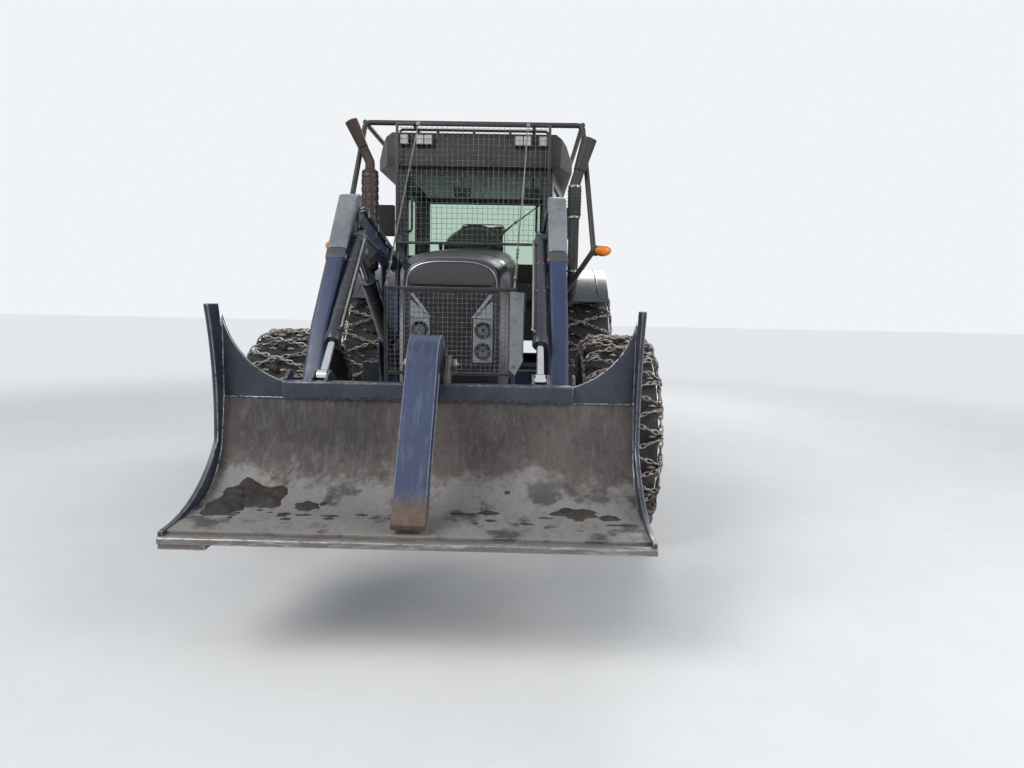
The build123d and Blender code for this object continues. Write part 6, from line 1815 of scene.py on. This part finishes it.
        # columns: x, distance up the board, half width, half length, thickness
        lumps = [(-0.800, 0.360, 0.150, 0.150, 1.9), (-0.690, 0.340, 0.120, 0.130, 1.5),
                 (-0.850, 0.270, 0.120, 0.150, 1.5), (-0.500, 0.285, 0.075, 0.055, 0.9),
                 (-0.430, 0.315, 0.025, 0.020, 0.5), (0.700, 0.275, 0.130, 0.065, 1.0),
                 (0.840, 0.240, 0.070, 0.040, 0.6), (0.310, 0.270, 0.060, 0.030, 0.5),
                 (0.390, 0.420, 0.018, 0.015, 0.5)]
        for _ in range(26):
            lumps.append((chance.uniform(-0.93, 0.93),
                          chance.choice((0.17, 0.20)) + chance.uniform(-0.03, 0.06),
                          chance.uniform(0.015, 0.06), chance.uniform(0.006, 0.018), 0.3))
        for x, run, wide, long, thick in lumps:
            rings = []
            seed = Vector((x * 9, run * 9, 0))
            for ring in range(LUMP_RINGS + 1):
                share = ring / LUMP_RINGS
                points = []
                for a in around(LUMP_SIDES):
                    ragged = 0.75 + 0.45 * noise.noise(seed + Vector((math.cos(a), math.sin(a), 0)) * 1.6)
                    px = x + wide * share * ragged * math.cos(a)
                    spot, out = on_board(max(run + long * share * ragged * math.sin(a), 0.02))
                    where = Vector((px, spot.x, spot.y))
                    bumps = 0.7 + 0.6 * noise.noise(where * 28) + 0.5 * noise.noise(where * 75)
                    sink = 0.003 if ring == LUMP_RINGS else -0.0008
                    lift = height * thick * (1 - share ** 2) * bumps - sink
                    px = max(min(px, SIDE_INNER - 0.002), 0.002 - SIDE_INNER)
                    points.append(bm.verts.new((px, spot.x + out.x * lift, spot.y + out.y * lift)))
                rings.append(points)
            for first, second in zip(rings[1:], rings[2:]):
                bridge(bm, first, second)
            bm.faces.new(rings[1])
            bmesh.ops.delete(bm, geom=rings[0], context="VERTS")
        fit("blade_mud", bm, "wet_mud", "blade", "blade_steel", smooth_angle=80)


class BuildClamp(bpy.types.Operator):
    """Makes the clamp arm with its rounded back, its pins and its cylinder's fittings"""

    bl_idname = "tractor.clamp"
    bl_label = "Clamp"

    def execute(self, context):
        outline = [(-2.090, 1.165), (-2.005, 1.165), (-2.000, 1.205), (-2.065, 1.250), (-2.150, 1.310),
                   *arc((-2.150, 1.310), (-2.320, 1.360), (-2.480, 1.215), 14),
                   (-2.680, 0.870), (-2.825, 0.618), (-2.810, 0.594), (-2.755, 0.602), (-2.595, 0.880),
                   (-2.405, 1.170), (-2.340, 1.225), (-2.270, 1.245), (-2.195, 1.175)]
        bm = bmesh.new()
        add_extruded(bm, outline[4:-1], "X", -CLAMP_HALF, CLAMP_HALF)
        for side, _ in SIDES:
            add_extruded(bm, outline[:6] + outline[-3:], "X", *span(side, 0.032, CLAMP_HALF))
        round_edges(bm, 0.007, 3, 35)
        fit("clamp_arm_body", bm, "clamp_steel", "clamp_arm", "loader_steel", "clamp_arm")
        caps, seams = blanks(2)
        for side, _ in SIDES:
            add_pin_cap(caps, side * 0.117, side, CLAMP_PIVOT, 0.027)
            seam = [(side * 0.0705, -2.395, 1.190), (side * 0.0705, -2.590, 0.892),
                    (side * 0.0705, -2.745, 0.625)]
            add_tube(seams, seam, 0.0035, 6, bend=0.02)
        fit("clamp_pins", caps, "zinc", "blade", "blade_steel")
        fit("clamp_seams", seams, "clamp_steel", "clamp_arm", "loader_steel")
        fittings, pipes = blanks(2)
        add_cylinder_fittings(fittings, pipes, CLAMP_BASE, CLAMP_EYE, 0.0, 0.032, 0.340, 1)
        fit("clamp_fittings", fittings, "cylinder_paint", "clamp_barrel", "loader_steel")
        fit("clamp_pipe", pipes, "zinc", "clamp_barrel", "loader_steel")
        return {"FINISHED"}


# Cab

def pane_outlines(node, out, keep):
    """The outlines of a pane's outer faces that look one way, as closed rings of points."""
    bm = bmesh.new()
    bm.from_mesh(frame["nodes"][node].data)
    bmesh.ops.remove_doubles(bm, verts=bm.verts, dist=0.00005)
    out = Vector(out)
    faces = [f for f in bm.faces if f.normal.dot(out) > 0.8 and keep(f.calc_center_median())]
    rim = [e for e in bm.edges if sum(g in faces for g in e.link_faces) == 1]
    rings = []
    while rim:
        edge = rim.pop()
        start, here = edge.verts
        ring = [start.co.copy()]
        while here is not start:
            ring.append(here.co.copy())
            edge = next((e for e in here.link_edges if e in rim), None)
            if edge is None:
                break
            rim.remove(edge)
            here = edge.other_vert(here)
        rings.append(ring)
    bm.free()
    return rings


def seal(name, body, node, views, radius=0.009):
    """A rubber seal around each pane. Views are (direction, which faces belong)."""
    bm = bmesh.new()
    for out, keep in views:
        for ring in pane_outlines(node, out, keep):
            if len(ring) > 2:
                add_loop(bm, [p + Vector(out) * 0.001 for p in ring], radius, 8)
    fit(name, bm, "soft_rubber", body, "trim_plastic", smooth_angle=60)


class BuildCab(bpy.types.Operator):
    """Makes the cab's seals, wiper, mirrors, handles, headliner, dashboard, steering wheel and levers"""

    bl_idname = "tractor.cab"
    bl_label = "Cab"

    def execute(self, context):
        seal("screen_seals", "chassis", "cab_glass", [
            ((0, -1, 0), lambda p: p.y < 1.2), ((0, 1, 0), lambda p: p.y > 1.2),
            ((1, 0, 0), lambda p: p.x > 0.3), ((-1, 0, 0), lambda p: p.x < -0.3)])
        for side, hand in SIDES:
            seal(f"door_seal_{hand}", f"door_{hand}", f"door_glass_{hand}",
                 [((side, 0, 0), lambda p, side=side: p.x * side > 0.3)])
        self.wiper()
        self.mirrors()
        self.handles()
        self.headliner()
        self.dashboard()
        self.steering_wheel()
        self.levers()
        return {"FINISHED"}

    def headliner(self):
        bm = bmesh.new()
        low = min(surface("cab_roof", (x, y, 2.3), (0, 0, 1)).z for x in (-0.4, 0, 0.4)
                  for y in (0.7, 1.3, 1.9))
        add_box(bm, (-0.600, 0.580, low - 0.016), (0.600, 2.030, low + 0.001))
        round_edges(bm, 0.008, 2)
        fit("headliner", bm, "headliner", "chassis", "roof_paint")

    def wiper(self):
        def at(x, z, out=0.020):
            return (x, pillar_y(z) - out, z)

        bm = bmesh.new()
        add_rod(bm, at(-0.20, 1.715, -0.004), at(-0.20, 1.715, 0.022), 0.014, 16)
        arm = [at(-0.20, 1.715, 0.018), at(-0.08, 1.80, 0.022), at(0.36, 2.215, 0.024)]
        blade = [at(0.13, 2.040, 0.012), at(0.36, 2.212, 0.016), at(0.585, 2.380, 0.012)]
        add_tube(bm, arm, 0.0055, 8, 0.03)
        add_tube(bm, blade, 0.006, 6, 0.02)
        add_block(bm, Vector(at(0.36, 2.213)), (0.012, 0.008, 0.010))
        fit("wiper", bm, "trim_plastic", "chassis", "trim_plastic")

    def mirrors(self):
        shells, glass = blanks(2)
        y = BOX["mirrors"][0].y
        for side, _ in SIDES:
            middle = (side * 0.740, 2.205)
            add_extruded(shells, rounded_rect(0.083, 0.128, 0.012, middle), "Y", y - 0.004, y + 0.034)
            add_extruded(glass, rounded_rect(0.070, 0.115, 0.025, middle), "Y", y + 0.034, y + 0.036)
        for x, half in ((-0.104, 0.074), (0.500, 0.070)):
            add_extruded(shells, rounded_rect(half, 0.045, 0.015, (x, 2.480)), "Y", 0.560, 0.578)
            add_tube(shells, [(x, 0.572, 2.500), (x, 0.560, 2.560), (x, 0.520, 2.605)], 0.008, 8, 0.03)
            add_extruded(glass, rounded_rect(half - 0.006, 0.039, 0.012, (x, 2.480)), "Y", 0.578, 0.580)
        round_edges(shells, 0.004, 2, 50)
        fit("mirror_shells", shells, "trim_plastic", "chassis", "trim_plastic")
        fit("mirror_faces", glass, "mirror_glass", "chassis", "trim_plastic")

    def handles(self):
        inside = bmesh.new()
        for side, hand in SIDES:
            add_tube(inside, [(side * 0.575, 0.515, 2.42), (side * 0.535, 0.545, 2.40),
                              (side * 0.535, 0.545, 2.14), (side * 0.575, 0.510, 2.12)], 0.011, 12, 0.03)
            hits = [surface(f"door_{hand}", (side * 1.6, 0.42 + 0.008 * k, 1.84), (-side, 0, 0))
                    for k in range(60)]
            spot = [hit for hit in hits if hit][4]
            latch = bmesh.new()
            add_block(latch, spot, (0.006, 0.024, 0.055))
            add_tube(latch, [spot + Vector((0, 0, 0.040)), spot + Vector((side * 0.034, 0, 0.034)),
                             spot + Vector((side * 0.034, 0, -0.050)), spot + Vector((0, 0, -0.046))],
                     0.008, 8, 0.015)
            round_edges(latch, 0.002, 1, 50)
            fit(f"door_handle_{hand}", latch, "trim_plastic", f"door_{hand}", "trim_plastic")
        fit("grab_handles", inside, "trim_plastic", "chassis", "trim_plastic")

    def dashboard(self):
        bm = bmesh.new()
        angles = [math.pi * k / 18 for k in range(19)]
        hump = [(0.255 * math.cos(a), 1.975 + 0.195 * math.sin(a)) for a in angles]
        add_extruded(bm, hump, "Y", 0.545, 0.690)
        round_edges(bm, 0.022, 4, 40)
        fit("dash_hump", bm, "trim_plastic", "chassis", "trim_plastic", smooth_angle=50)
        bm = bmesh.new()
        face = [(0.215 * math.cos(a), 1.990 + 0.155 * math.sin(a)) for a in angles]
        add_extruded(bm, face, "Y", 0.690, 0.693)
        add_loop(bm, [(x * 1.005, 0.545, z + 0.004) for x, z in hump], 0.005, 6)
        fit("dash_face", bm, "grey_plastic", "chassis", "trim_plastic")

    def steering_wheel(self):
        centre = Vector((0.0, 0.840, 2.080))
        low, high = BOX["steering_wheel"]
        tilt = math.atan2(high.z - low.z, high.y - low.y)
        axis = Vector((0, math.sin(tilt), math.cos(tilt)))
        up = Vector((0, -math.cos(tilt), math.sin(tilt)))
        right = Vector((1, 0, 0))
        bm = bmesh.new()
        ring = [centre + (right * math.cos(a) + up * math.sin(a)) * 0.184 for a in around(48)]
        add_loop(bm, ring, 0.0145, 12)
        for angle in (90, 210, 330):
            a = math.radians(angle)
            out = right * math.cos(a) + up * math.sin(a)
            add_tube(bm, [centre - axis * 0.020, centre + out * 0.09 - axis * 0.012, centre + out * 0.180],
                     0.010, 8, 0.05)
        boss = [(0.052, -0.034), (0.058, -0.020), (0.052, -0.004), (0.0005, 0.002)]
        add_turned(bm, boss, centre, axis, 32)
        fit("steering_rim", bm, "trim_plastic", "chassis", "trim_plastic", "steering_wheel")

    def levers(self):
        bm = bmesh.new()
        add_box(bm, (-0.400, 1.230, 1.905), (-0.300, 1.620, 1.955))
        add_box(bm, (-0.390, 1.400, 1.560), (-0.310, 1.600, 1.910))
        round_edges(bm, 0.014, 3)
        for x, y, lean in ((-0.370, 1.265, -0.020), (-0.330, 1.300, 0.012)):
            add_tube(bm, [(x, y, 1.950), (x, y + lean, 2.020), (x, y + lean, 2.040)], 0.007, 8, 0.02)
            knob = [(0.010, -0.01), (0.018, 0.010), (0.020, 0.050), (0.012, 0.068), (0.0005, 0.070)]
            add_turned(bm, knob, (x, y + lean, 2.040), (0, 0, 1), 16)
        fit("armrest_and_levers", bm, "trim_plastic", "chassis", "trim_plastic", smooth_angle=50)


class BuildRoof(bpy.types.Operator):
    """Makes the work lamps, the roof's hatch and ribs and the marker and tail lamps"""

    bl_idname = "tractor.roof"
    bl_label = "Roof and Lamps"

    def execute(self, context):
        self.work_lamps()
        self.roof()
        self.markers()
        return {"FINISHED"}

    def work_lamps(self):
        shells, panes, bars = blanks(3)
        # columns: middle, half width, front face, which way it looks, middle height, half height
        lamps = [(side * x, half, 0.376, -1, 2.864, 0.044) for side, _ in SIDES
                 for x, half in ((0.410, 0.074), (0.575, 0.042))]
        lamps += [(side * 0.560, 0.070, 2.235, 1, 2.700, 0.036) for side, _ in SIDES]
        for x, half, y, way, z, tall in lamps:
            add_box(shells, *corners((x - half, y, z - tall), (x + half, y - way * 0.044, z + tall)))
            add_extruded(bars, rounded_rect(half, tall, 0.008, (x, z)), "Y", *sorted((y, y + way * 0.003)))
            count = 2 if half > 0.05 else 1
            for pane in range(count):
                width = (2 * half - 0.012) / count
                middle = x - half + 0.006 + width * (pane + 0.5)
                add_extruded(panes, rounded_rect(width / 2 - 0.004, tall - 0.008, 0.006, (middle, z)), "Y",
                             *sorted((y + way * 0.001, y + way * 0.006)))
        round_edges(shells, 0.005, 2)
        round_edges(panes, 0.0015, 2, 50)
        fit("work_lamp_shells", shells, "trim_plastic", "chassis", "trim_plastic", "work_lamps")
        fit("work_lamp_bezels", bars, "trim_plastic", "chassis", "trim_plastic")
        fit("work_lamp_panes", panes, "ribbed_lens", "chassis", "lamp_lens")

    def roof(self):
        hatch, gutter = blanks(2)
        low, high = BOX["cab_roof"]
        outline = rounded_rect(0.300, 0.280, 0.060, (0.0, 1.250))
        add_extruded(hatch, outline, "Z", high.z - 0.001, high.z + 0.016)
        round_edges(hatch, 0.006, 2, 50)
        fit("roof_hatch", hatch, "roof_paint", "chassis", "roof_paint", smooth_angle=50)
        for x in (-0.42, 0.42):
            add_box(gutter, (x - 0.012, low.y + 0.06, high.z - 0.001),
                    (x + 0.012, high.y - 0.06, high.z + 0.006))
        round_edges(gutter, 0.004, 2)
        fit("roof_ribs", gutter, "roof_paint", "chassis", "roof_paint")

    def markers(self):
        shells, amber, red = blanks(3)
        for side, _ in SIDES:
            spot = Vector((side * 1.046, -0.050, 1.950))
            add_box(shells, spot + Vector((-0.012, -0.014, -0.014)) - Vector((side * 0.052, 0, 0)),
                    spot + Vector((0.012, 0.014, 0.014)) - Vector((side * 0.052, 0, 0)))
            lens = [(0.034, 0.010), (0.036, 0.020), (0.032, 0.034), (0.018, 0.045), (0.0005, 0.048)]
            rim = [(0.030, -0.014), (0.0375, -0.012), (0.0375, 0.012), (0.030, 0.014)]
            for whole, profile, way in ((amber, lens, -1), (red, lens, 1), (shells, rim, 1)):
                oval = bmesh.new()
                add_turned(oval, profile, (0, 0, 0), (0, way, 0), 28)
                for vert in oval.verts:
                    vert.co = Vector((vert.co.x * 1.75, vert.co.y, vert.co.z * 1.15)) + spot
                mesh = mesh_from("oval", oval)
                whole.from_mesh(mesh)
                bpy.data.meshes.remove(mesh)
            x = side * 0.672
            add_extruded(shells, rounded_rect(0.058, 0.050, 0.012, (x, 1.955)), "Y", 2.130, 2.172)
            for lamp, shift in ((red, -0.030), (amber, 0.022)):
                face = rounded_rect(0.022, 0.042, 0.008, (x + side * shift, 1.955))
                add_extruded(lamp, face, "Y", 2.170, 2.181)
        round_edges(shells, 0.003, 1, 50)
        fit("marker_shells", shells, "trim_plastic", "chassis", "trim_plastic", "marker_lamps")
        fit("marker_amber", amber, "amber_lens", "chassis", "lamp_lens")
        fit("marker_red", red, "red_lens", "chassis", "lamp_lens")


def corners(first, second):
    """The lowest and highest corners of a box between two points."""
    return ([min(a, b) for a, b in zip(first, second)], [max(a, b) for a, b in zip(first, second)])


# Seat

CLOTH_FRAMES = 20


def stuffed(name, low, high, shrink, cap):
    """A stuffed pad: a rounded block, blown up as cloth by a little pressure."""
    low, high = Vector(low) + Vector((shrink,) * 3), Vector(high) - Vector((shrink,) * 3)
    bm = bmesh.new()
    add_box(bm, low, high)
    round_edges(bm, min(high - low) * 0.38, 4)
    pad = link(name, bm, "seat_fabric", 60)
    remesh = pad.modifiers.new("Remesh", "REMESH")
    remesh.mode, remesh.voxel_size = "VOXEL", 0.006
    apply_modifiers(pad)
    before = [v.co.copy() for v in pad.data.vertices]
    settings = pad.modifiers.new("Cloth", "CLOTH").settings
    settings.use_pressure = True
    settings.uniform_pressure_force = 4.0
    settings.effector_weights.gravity = 0.0
    scene = bpy.context.scene
    for step in range(1, CLOTH_FRAMES + 1):
        scene.frame_set(step)
    apply_modifiers(pad)
    scene.frame_set(1)
    for vertex, start in zip(pad.data.vertices, before):
        move = vertex.co - start
        if move.length > cap:
            vertex.co = start + move.normalized() * cap
    pad.modifiers.new("Smooth", "SUBSURF").levels = 1
    mesh = evaluated_mesh(pad)
    bpy.data.objects.remove(pad)
    return place_mesh(name, mesh, "seat_fabric", 180)


def seat_size(node):
    """The middle and the half size of a seat node's box."""
    low, high = BOX[node]
    return (low + high) / 2, (high - low) / 2


class BuildSeat(bpy.types.Operator):
    """Makes the driver's stuffed seat cushion and back, with their piping"""

    bl_idname = "tractor.seat"
    bl_label = "Seat"

    def execute(self, context):
        for name, node in (("seat_pad", "seat_cushion"), ("seat_back_pad", "seat_back")):
            pad = settle(stuffed(name, *BOX[node], 0.014, 0.020), "chassis", "seat_fabric", node)
        bm = bmesh.new()
        middle, half = seat_size("seat_cushion")
        ring = rounded_rect(half.x - 0.012, half.y - 0.012, 0.05, (0, middle.y))
        add_loop(bm, [(x, y, middle.z + half.z * 0.45) for x, y in ring], 0.004, 6)
        middle, half = seat_size("seat_back")
        ring = rounded_rect(half.x - 0.012, half.z - 0.012, 0.05, (0, middle.z))
        add_loop(bm, [(x, middle.y - half.y * 0.45, z) for x, z in ring], 0.004, 6)
        fit("seat_piping", bm, "soft_rubber", "chassis", "seat_fabric", smooth_angle=60)
        return {"FINISHED"}


# Stacks

EXHAUST_X, EXHAUST_Y = -0.820, 0.210
INTAKE_X, INTAKE_Y = 0.830, 0.160


class BuildStacks(bpy.types.Operator):
    """Makes the exhaust's shield and flared tip and the intake's hose and horn"""

    bl_idname = "tractor.stacks"
    bl_label = "Stacks"

    def execute(self, context):
        steel, shield = blanks(2)
        bend, tip = Vector((EXHAUST_X, EXHAUST_Y, 2.640)), Vector((-0.970, EXHAUST_Y, 2.960))
        aim, reach = (tip - bend).normalized(), (tip - bend).length
        flare = [(0.0385, reach * 0.34), (0.041, reach * 0.40), (0.052, reach * 0.97),
                 (0.054, reach * 0.99), (0.049, reach * 0.99), (0.036, reach * 0.42)]
        add_turned(steel, flare, bend, aim, 32, closed=True)
        for z in (1.80, 2.56):
            add_turned(steel, [(0.038, -0.030), (0.066, -0.006), (0.0665, 0.006), (0.038, 0.030)],
                       (EXHAUST_X, EXHAUST_Y, z), (0, 0, 1), 36)
        for level in range(12):
            z = 1.845 + 0.058 * level
            for k in range(9):
                a = math.radians(-170 + 42.5 * k)
                out = Vector((math.cos(a), math.sin(a), 0))
                spot = Vector((EXHAUST_X, EXHAUST_Y, z)) + out * 0.0665
                add_block(shield, spot, (0.0025, 0.010, 0.020), Matrix.Rotation(a, 4, "Z"))
        for z in (1.83, 2.18, 2.53):
            add_rod(shield, (EXHAUST_X, EXHAUST_Y, z - 0.012), (EXHAUST_X, EXHAUST_Y, z + 0.012), 0.068, 36)
        round_edges(shield, 0.001, 1, 60)
        fit("exhaust_tip", steel, "exhaust_steel", "chassis", "exhaust_steel")
        fit("exhaust_shield", shield, "guard_paint", "chassis", "exhaust_steel")
        self.intake()
        return {"FINISHED"}

    def intake(self):
        horn, hose, clamps = blanks(3)
        foot, tip = Vector((INTAKE_X, INTAKE_Y, 2.480)), Vector((0.935, INTAKE_Y, 2.840))
        aim, reach = (tip - foot).normalized(), (tip - foot).length
        flare = [(0.0465, reach * 0.30), (0.050, reach * 0.45), (0.061, reach * 0.96),
                 (0.063, reach * 0.985), (0.055, reach * 0.985), (0.040, reach * 0.5)]
        add_turned(horn, flare, foot, aim, 32, closed=True)
        add_tube(hose, [(INTAKE_X, INTAKE_Y, 2.235), (INTAKE_X, INTAKE_Y, 2.455)], 0.050, 28, bend=0,
                 ribs=(0.026, 0.007))
        for z in (2.225, 2.465, 1.80):
            add_rod(clamps, (INTAKE_X, INTAKE_Y, z - 0.008), (INTAKE_X, INTAKE_Y, z + 0.008),
                    0.0485 if z < 2 else 0.052, 32)
            add_box(clamps, (0.815, 0.098, z - 0.009), (0.845, 0.122, z + 0.009))
        fit("intake_horn", horn, "trim_plastic", "chassis", "trim_plastic")
        fit("intake_hose", hose, "soft_rubber", "chassis", "trim_plastic", smooth_angle=60)
        fit("intake_clamps", clamps, "zinc", "chassis", "trim_plastic")


# Sides

STEP_LEVELS = (0.470, 0.720, 0.970)
STUD = [(0.009, -0.001), (0.007, 0.004), (0.004, 0.005)]
# columns: which side, the node that carries the steps there
STEP_NODES = ((1, "fuel_tank"), (-1, "battery_box"))


class BuildSides(bpy.types.Operator):
    """Makes the tank's cap, the straps of tank and battery box, the step treads and the fenders' lips"""

    bl_idname = "tractor.sides"
    bl_label = "Sides"

    def execute(self, context):
        straps, caps, treads = blanks(3)
        for side, node in STEP_NODES:
            low, high = BOX[node]
            out = surface(node, (side * 2, (low.y + high.y) / 2, low.z + 0.3), (-side, 0, 0))
            top = surface(node, (out.x - side * 0.15, (low.y + high.y) / 2, 3), (0, 0, -1))
            edge = surface(node, (out.x - side * 0.15, low.y - 1, low.z + 0.3), (0, 1, 0))
            for y in (edge.y + 0.09, edge.y + 0.36):
                line = [(out.x - side * 0.200, y, top.z), (out.x, y, top.z), (out.x, y, low.z + 0.02)]
                for start, end in zip(line, line[1:]):
                    a, b = corners(start, end)
                    add_box(straps, Vector(a) - Vector((0.003, 0.018, 0.003)),
                            Vector(b) + Vector((0.003, 0.018, 0.003)))
                add_bolt(straps, (out.x + side * 0.003, y, low.z + 0.05), (side, 0, 0), 0.010)
            if node == "fuel_tank":
                cap = [(0.052, 0.0), (0.052, 0.022), (0.046, 0.030), (0.012, 0.032), (0.0005, 0.033)]
                add_turned(caps, cap, (out.x - side * 0.09, edge.y + 0.22, top.z), (0, 0, 1), 32)
        round_edges(straps, 0.0015, 1, 50)
        fit("tank_straps", straps, "guard_paint", "chassis", "trim_plastic")
        fit("tank_cap", caps, "trim_plastic", "chassis", "trim_plastic")
        spots = [(0.805 + 0.045 * row, 0.585 + 0.030 * column) for row in range(4) for column in range(8)]
        for side, node in STEP_NODES:
            for level in STEP_LEVELS:
                for x, y in spots:
                    hit = surface(node, (side * x, y, level + 0.08), (0, 0, -1))
                    add_turned(treads, STUD, hit, (0, 0, 1), 8)
        fit("step_treads", treads, "zinc", "chassis", "trim_plastic")
        self.fender_lips()
        return {"FINISHED"}

    def fender_lips(self):
        bm = bmesh.new()
        for side, hand in SIDES:
            centre = box_middle(f"rear_tyre_{hand}")
            line = []
            for step in range(40):
                a = math.radians(-35 + 4.0 * step)
                way = Vector((0, -math.cos(a), math.sin(a)))
                hit = surface("rear_fenders", Vector((side * 1.14, centre.y, centre.z)) + way * 2.2, -way)
                if hit:
                    line.append(hit - way * 0.002)
            add_tube(bm, line, 0.010, 8, bend=0)
        fit("fender_lips", bm, "fender_paint", "chassis", "fender_paint", smooth_angle=60)


# Axle and rear

KING_PIN_X, FRONT_AXLE_Y = 0.800, -0.850
COUPLER_CAP = [(0.019, 0.0), (0.019, 0.028), (0.023, 0.030), (0.023, 0.044), (0.010, 0.050),
               (0.0005, 0.051)]


class BuildAxle(bpy.types.Operator):
    """Makes the king pin caps with their bolts, and the bolts of the front support"""

    bl_idname = "tractor.axle"
    bl_label = "Front Axle"

    def execute(self, context):
        for side, hand in SIDES:
            low, high = BOX[f"knuckle_{hand}"]
            bm = bmesh.new()
            for z, way in ((high.z + 0.05, -1), (low.z - 0.05, 1)):
                hit = surface(f"knuckle_{hand}", (side * KING_PIN_X, FRONT_AXLE_Y, z), (0, 0, way))
                add_turned(bm, [(0.048, -0.018), (0.048, -0.006), (0.036, 0.003), (0.0005, 0.005)],
                           hit, (0, 0, -way), 28)
                for k in range(4):
                    a = math.pi / 4 + math.pi / 2 * k
                    add_bolt(bm, hit + Vector((0.040 * math.cos(a), 0.040 * math.sin(a), way * 0.004)),
                             (0, 0, -way), 0.007)
            fit(f"king_pins_{hand}", bm, "cast_metal", f"knuckle_{hand}", "cast_metal")
        spots = [surface("front_support", (x, -2.0, z), (0, 1, 0)) for x in (-0.13, 0.13)
                 for z in (0.60, 0.72, 0.84)]
        bolts("front_support_bolts", spots, (0, -1, 0), 0.013)
        return {"FINISHED"}


class BuildRear(bpy.types.Operator):
    """Makes the hydraulic couplers and the hitch pins at the rear"""

    bl_idname = "tractor.rear"
    bl_label = "Rear"

    def execute(self, context):
        block, caps, pins = blanks(3)
        back = surface("transmission", (0.0, 4.0, 1.00), (0, -1, 0)).y
        add_box(block, (-0.180, back - 0.004, 1.010), (0.180, back + 0.060, 1.130))
        round_edges(block, 0.006, 2)
        for column in range(6):
            for row in range(2):
                x, z = -0.140 + 0.056 * column, 1.040 + 0.058 * row
                add_turned(caps, COUPLER_CAP, (x, back + 0.058, z), (0, 1, 0), 18)
        fit("coupler_block", block, "cast_metal", "chassis", "cast_metal")
        fit("coupler_caps", caps, "red_lens", "chassis", "cast_metal")
        for side, _ in SIDES:
            hit = surface("rear_hitch", (side * 2.0, 2.30, 0.60), (-side, 0, 0))
            add_pin_cap(pins, hit.x, side, (hit.y, hit.z), 0.020)
        fit("hitch_pins", pins, "zinc", "chassis", "cast_metal")
        return {"FINISHED"}


# The panel and the run

OPERATORS = [BuildFinishes, BuildStage, BuildTyres, BuildWheelFittings, BuildGuards, BuildHood,
             BuildLoader, BuildBlade, BuildClamp, BuildCab, BuildRoof, BuildSeat, BuildStacks,
             BuildSides, BuildAxle, BuildRear]


class TractorPanel(bpy.types.Panel):
    """Lists the steps that dress the tractor, and its sizes and colours."""

    bl_idname = "VIEW3D_PT_forestry_tractor"
    bl_label = "Forestry Tractor"
    bl_space_type = "VIEW_3D"
    bl_region_type = "UI"
    bl_category = "Forestry Tractor"

    def draw(self, context):
        for settings in (context.scene.tractor_sizes, context.scene.tractor_colours):
            for name in settings.__annotations__:
                self.layout.prop(settings, name)
        for operator in OPERATORS:
            self.layout.operator(operator.bl_idname)


def register():
    """Adds the settings, the operators and the panel to Blender."""
    for item in (TractorSizes, TractorColours, *OPERATORS, TractorPanel):
        bpy.utils.register_class(item)
    bpy.types.Scene.tractor_sizes = PointerProperty(type=TractorSizes)
    bpy.types.Scene.tractor_colours = PointerProperty(type=TractorColours)


def unregister():
    """Takes away what register adds."""
    del bpy.types.Scene.tractor_colours
    del bpy.types.Scene.tractor_sizes
    for item in reversed((TractorSizes, TractorColours, *OPERATORS, TractorPanel)):
        bpy.utils.unregister_class(item)


def main():
    """Runs every operator."""
    register()
    for operator in OPERATORS:
        group, name = operator.bl_idname.split(".")
        getattr(getattr(bpy.ops, group), name)()


if __name__ == "__main__":
    main()
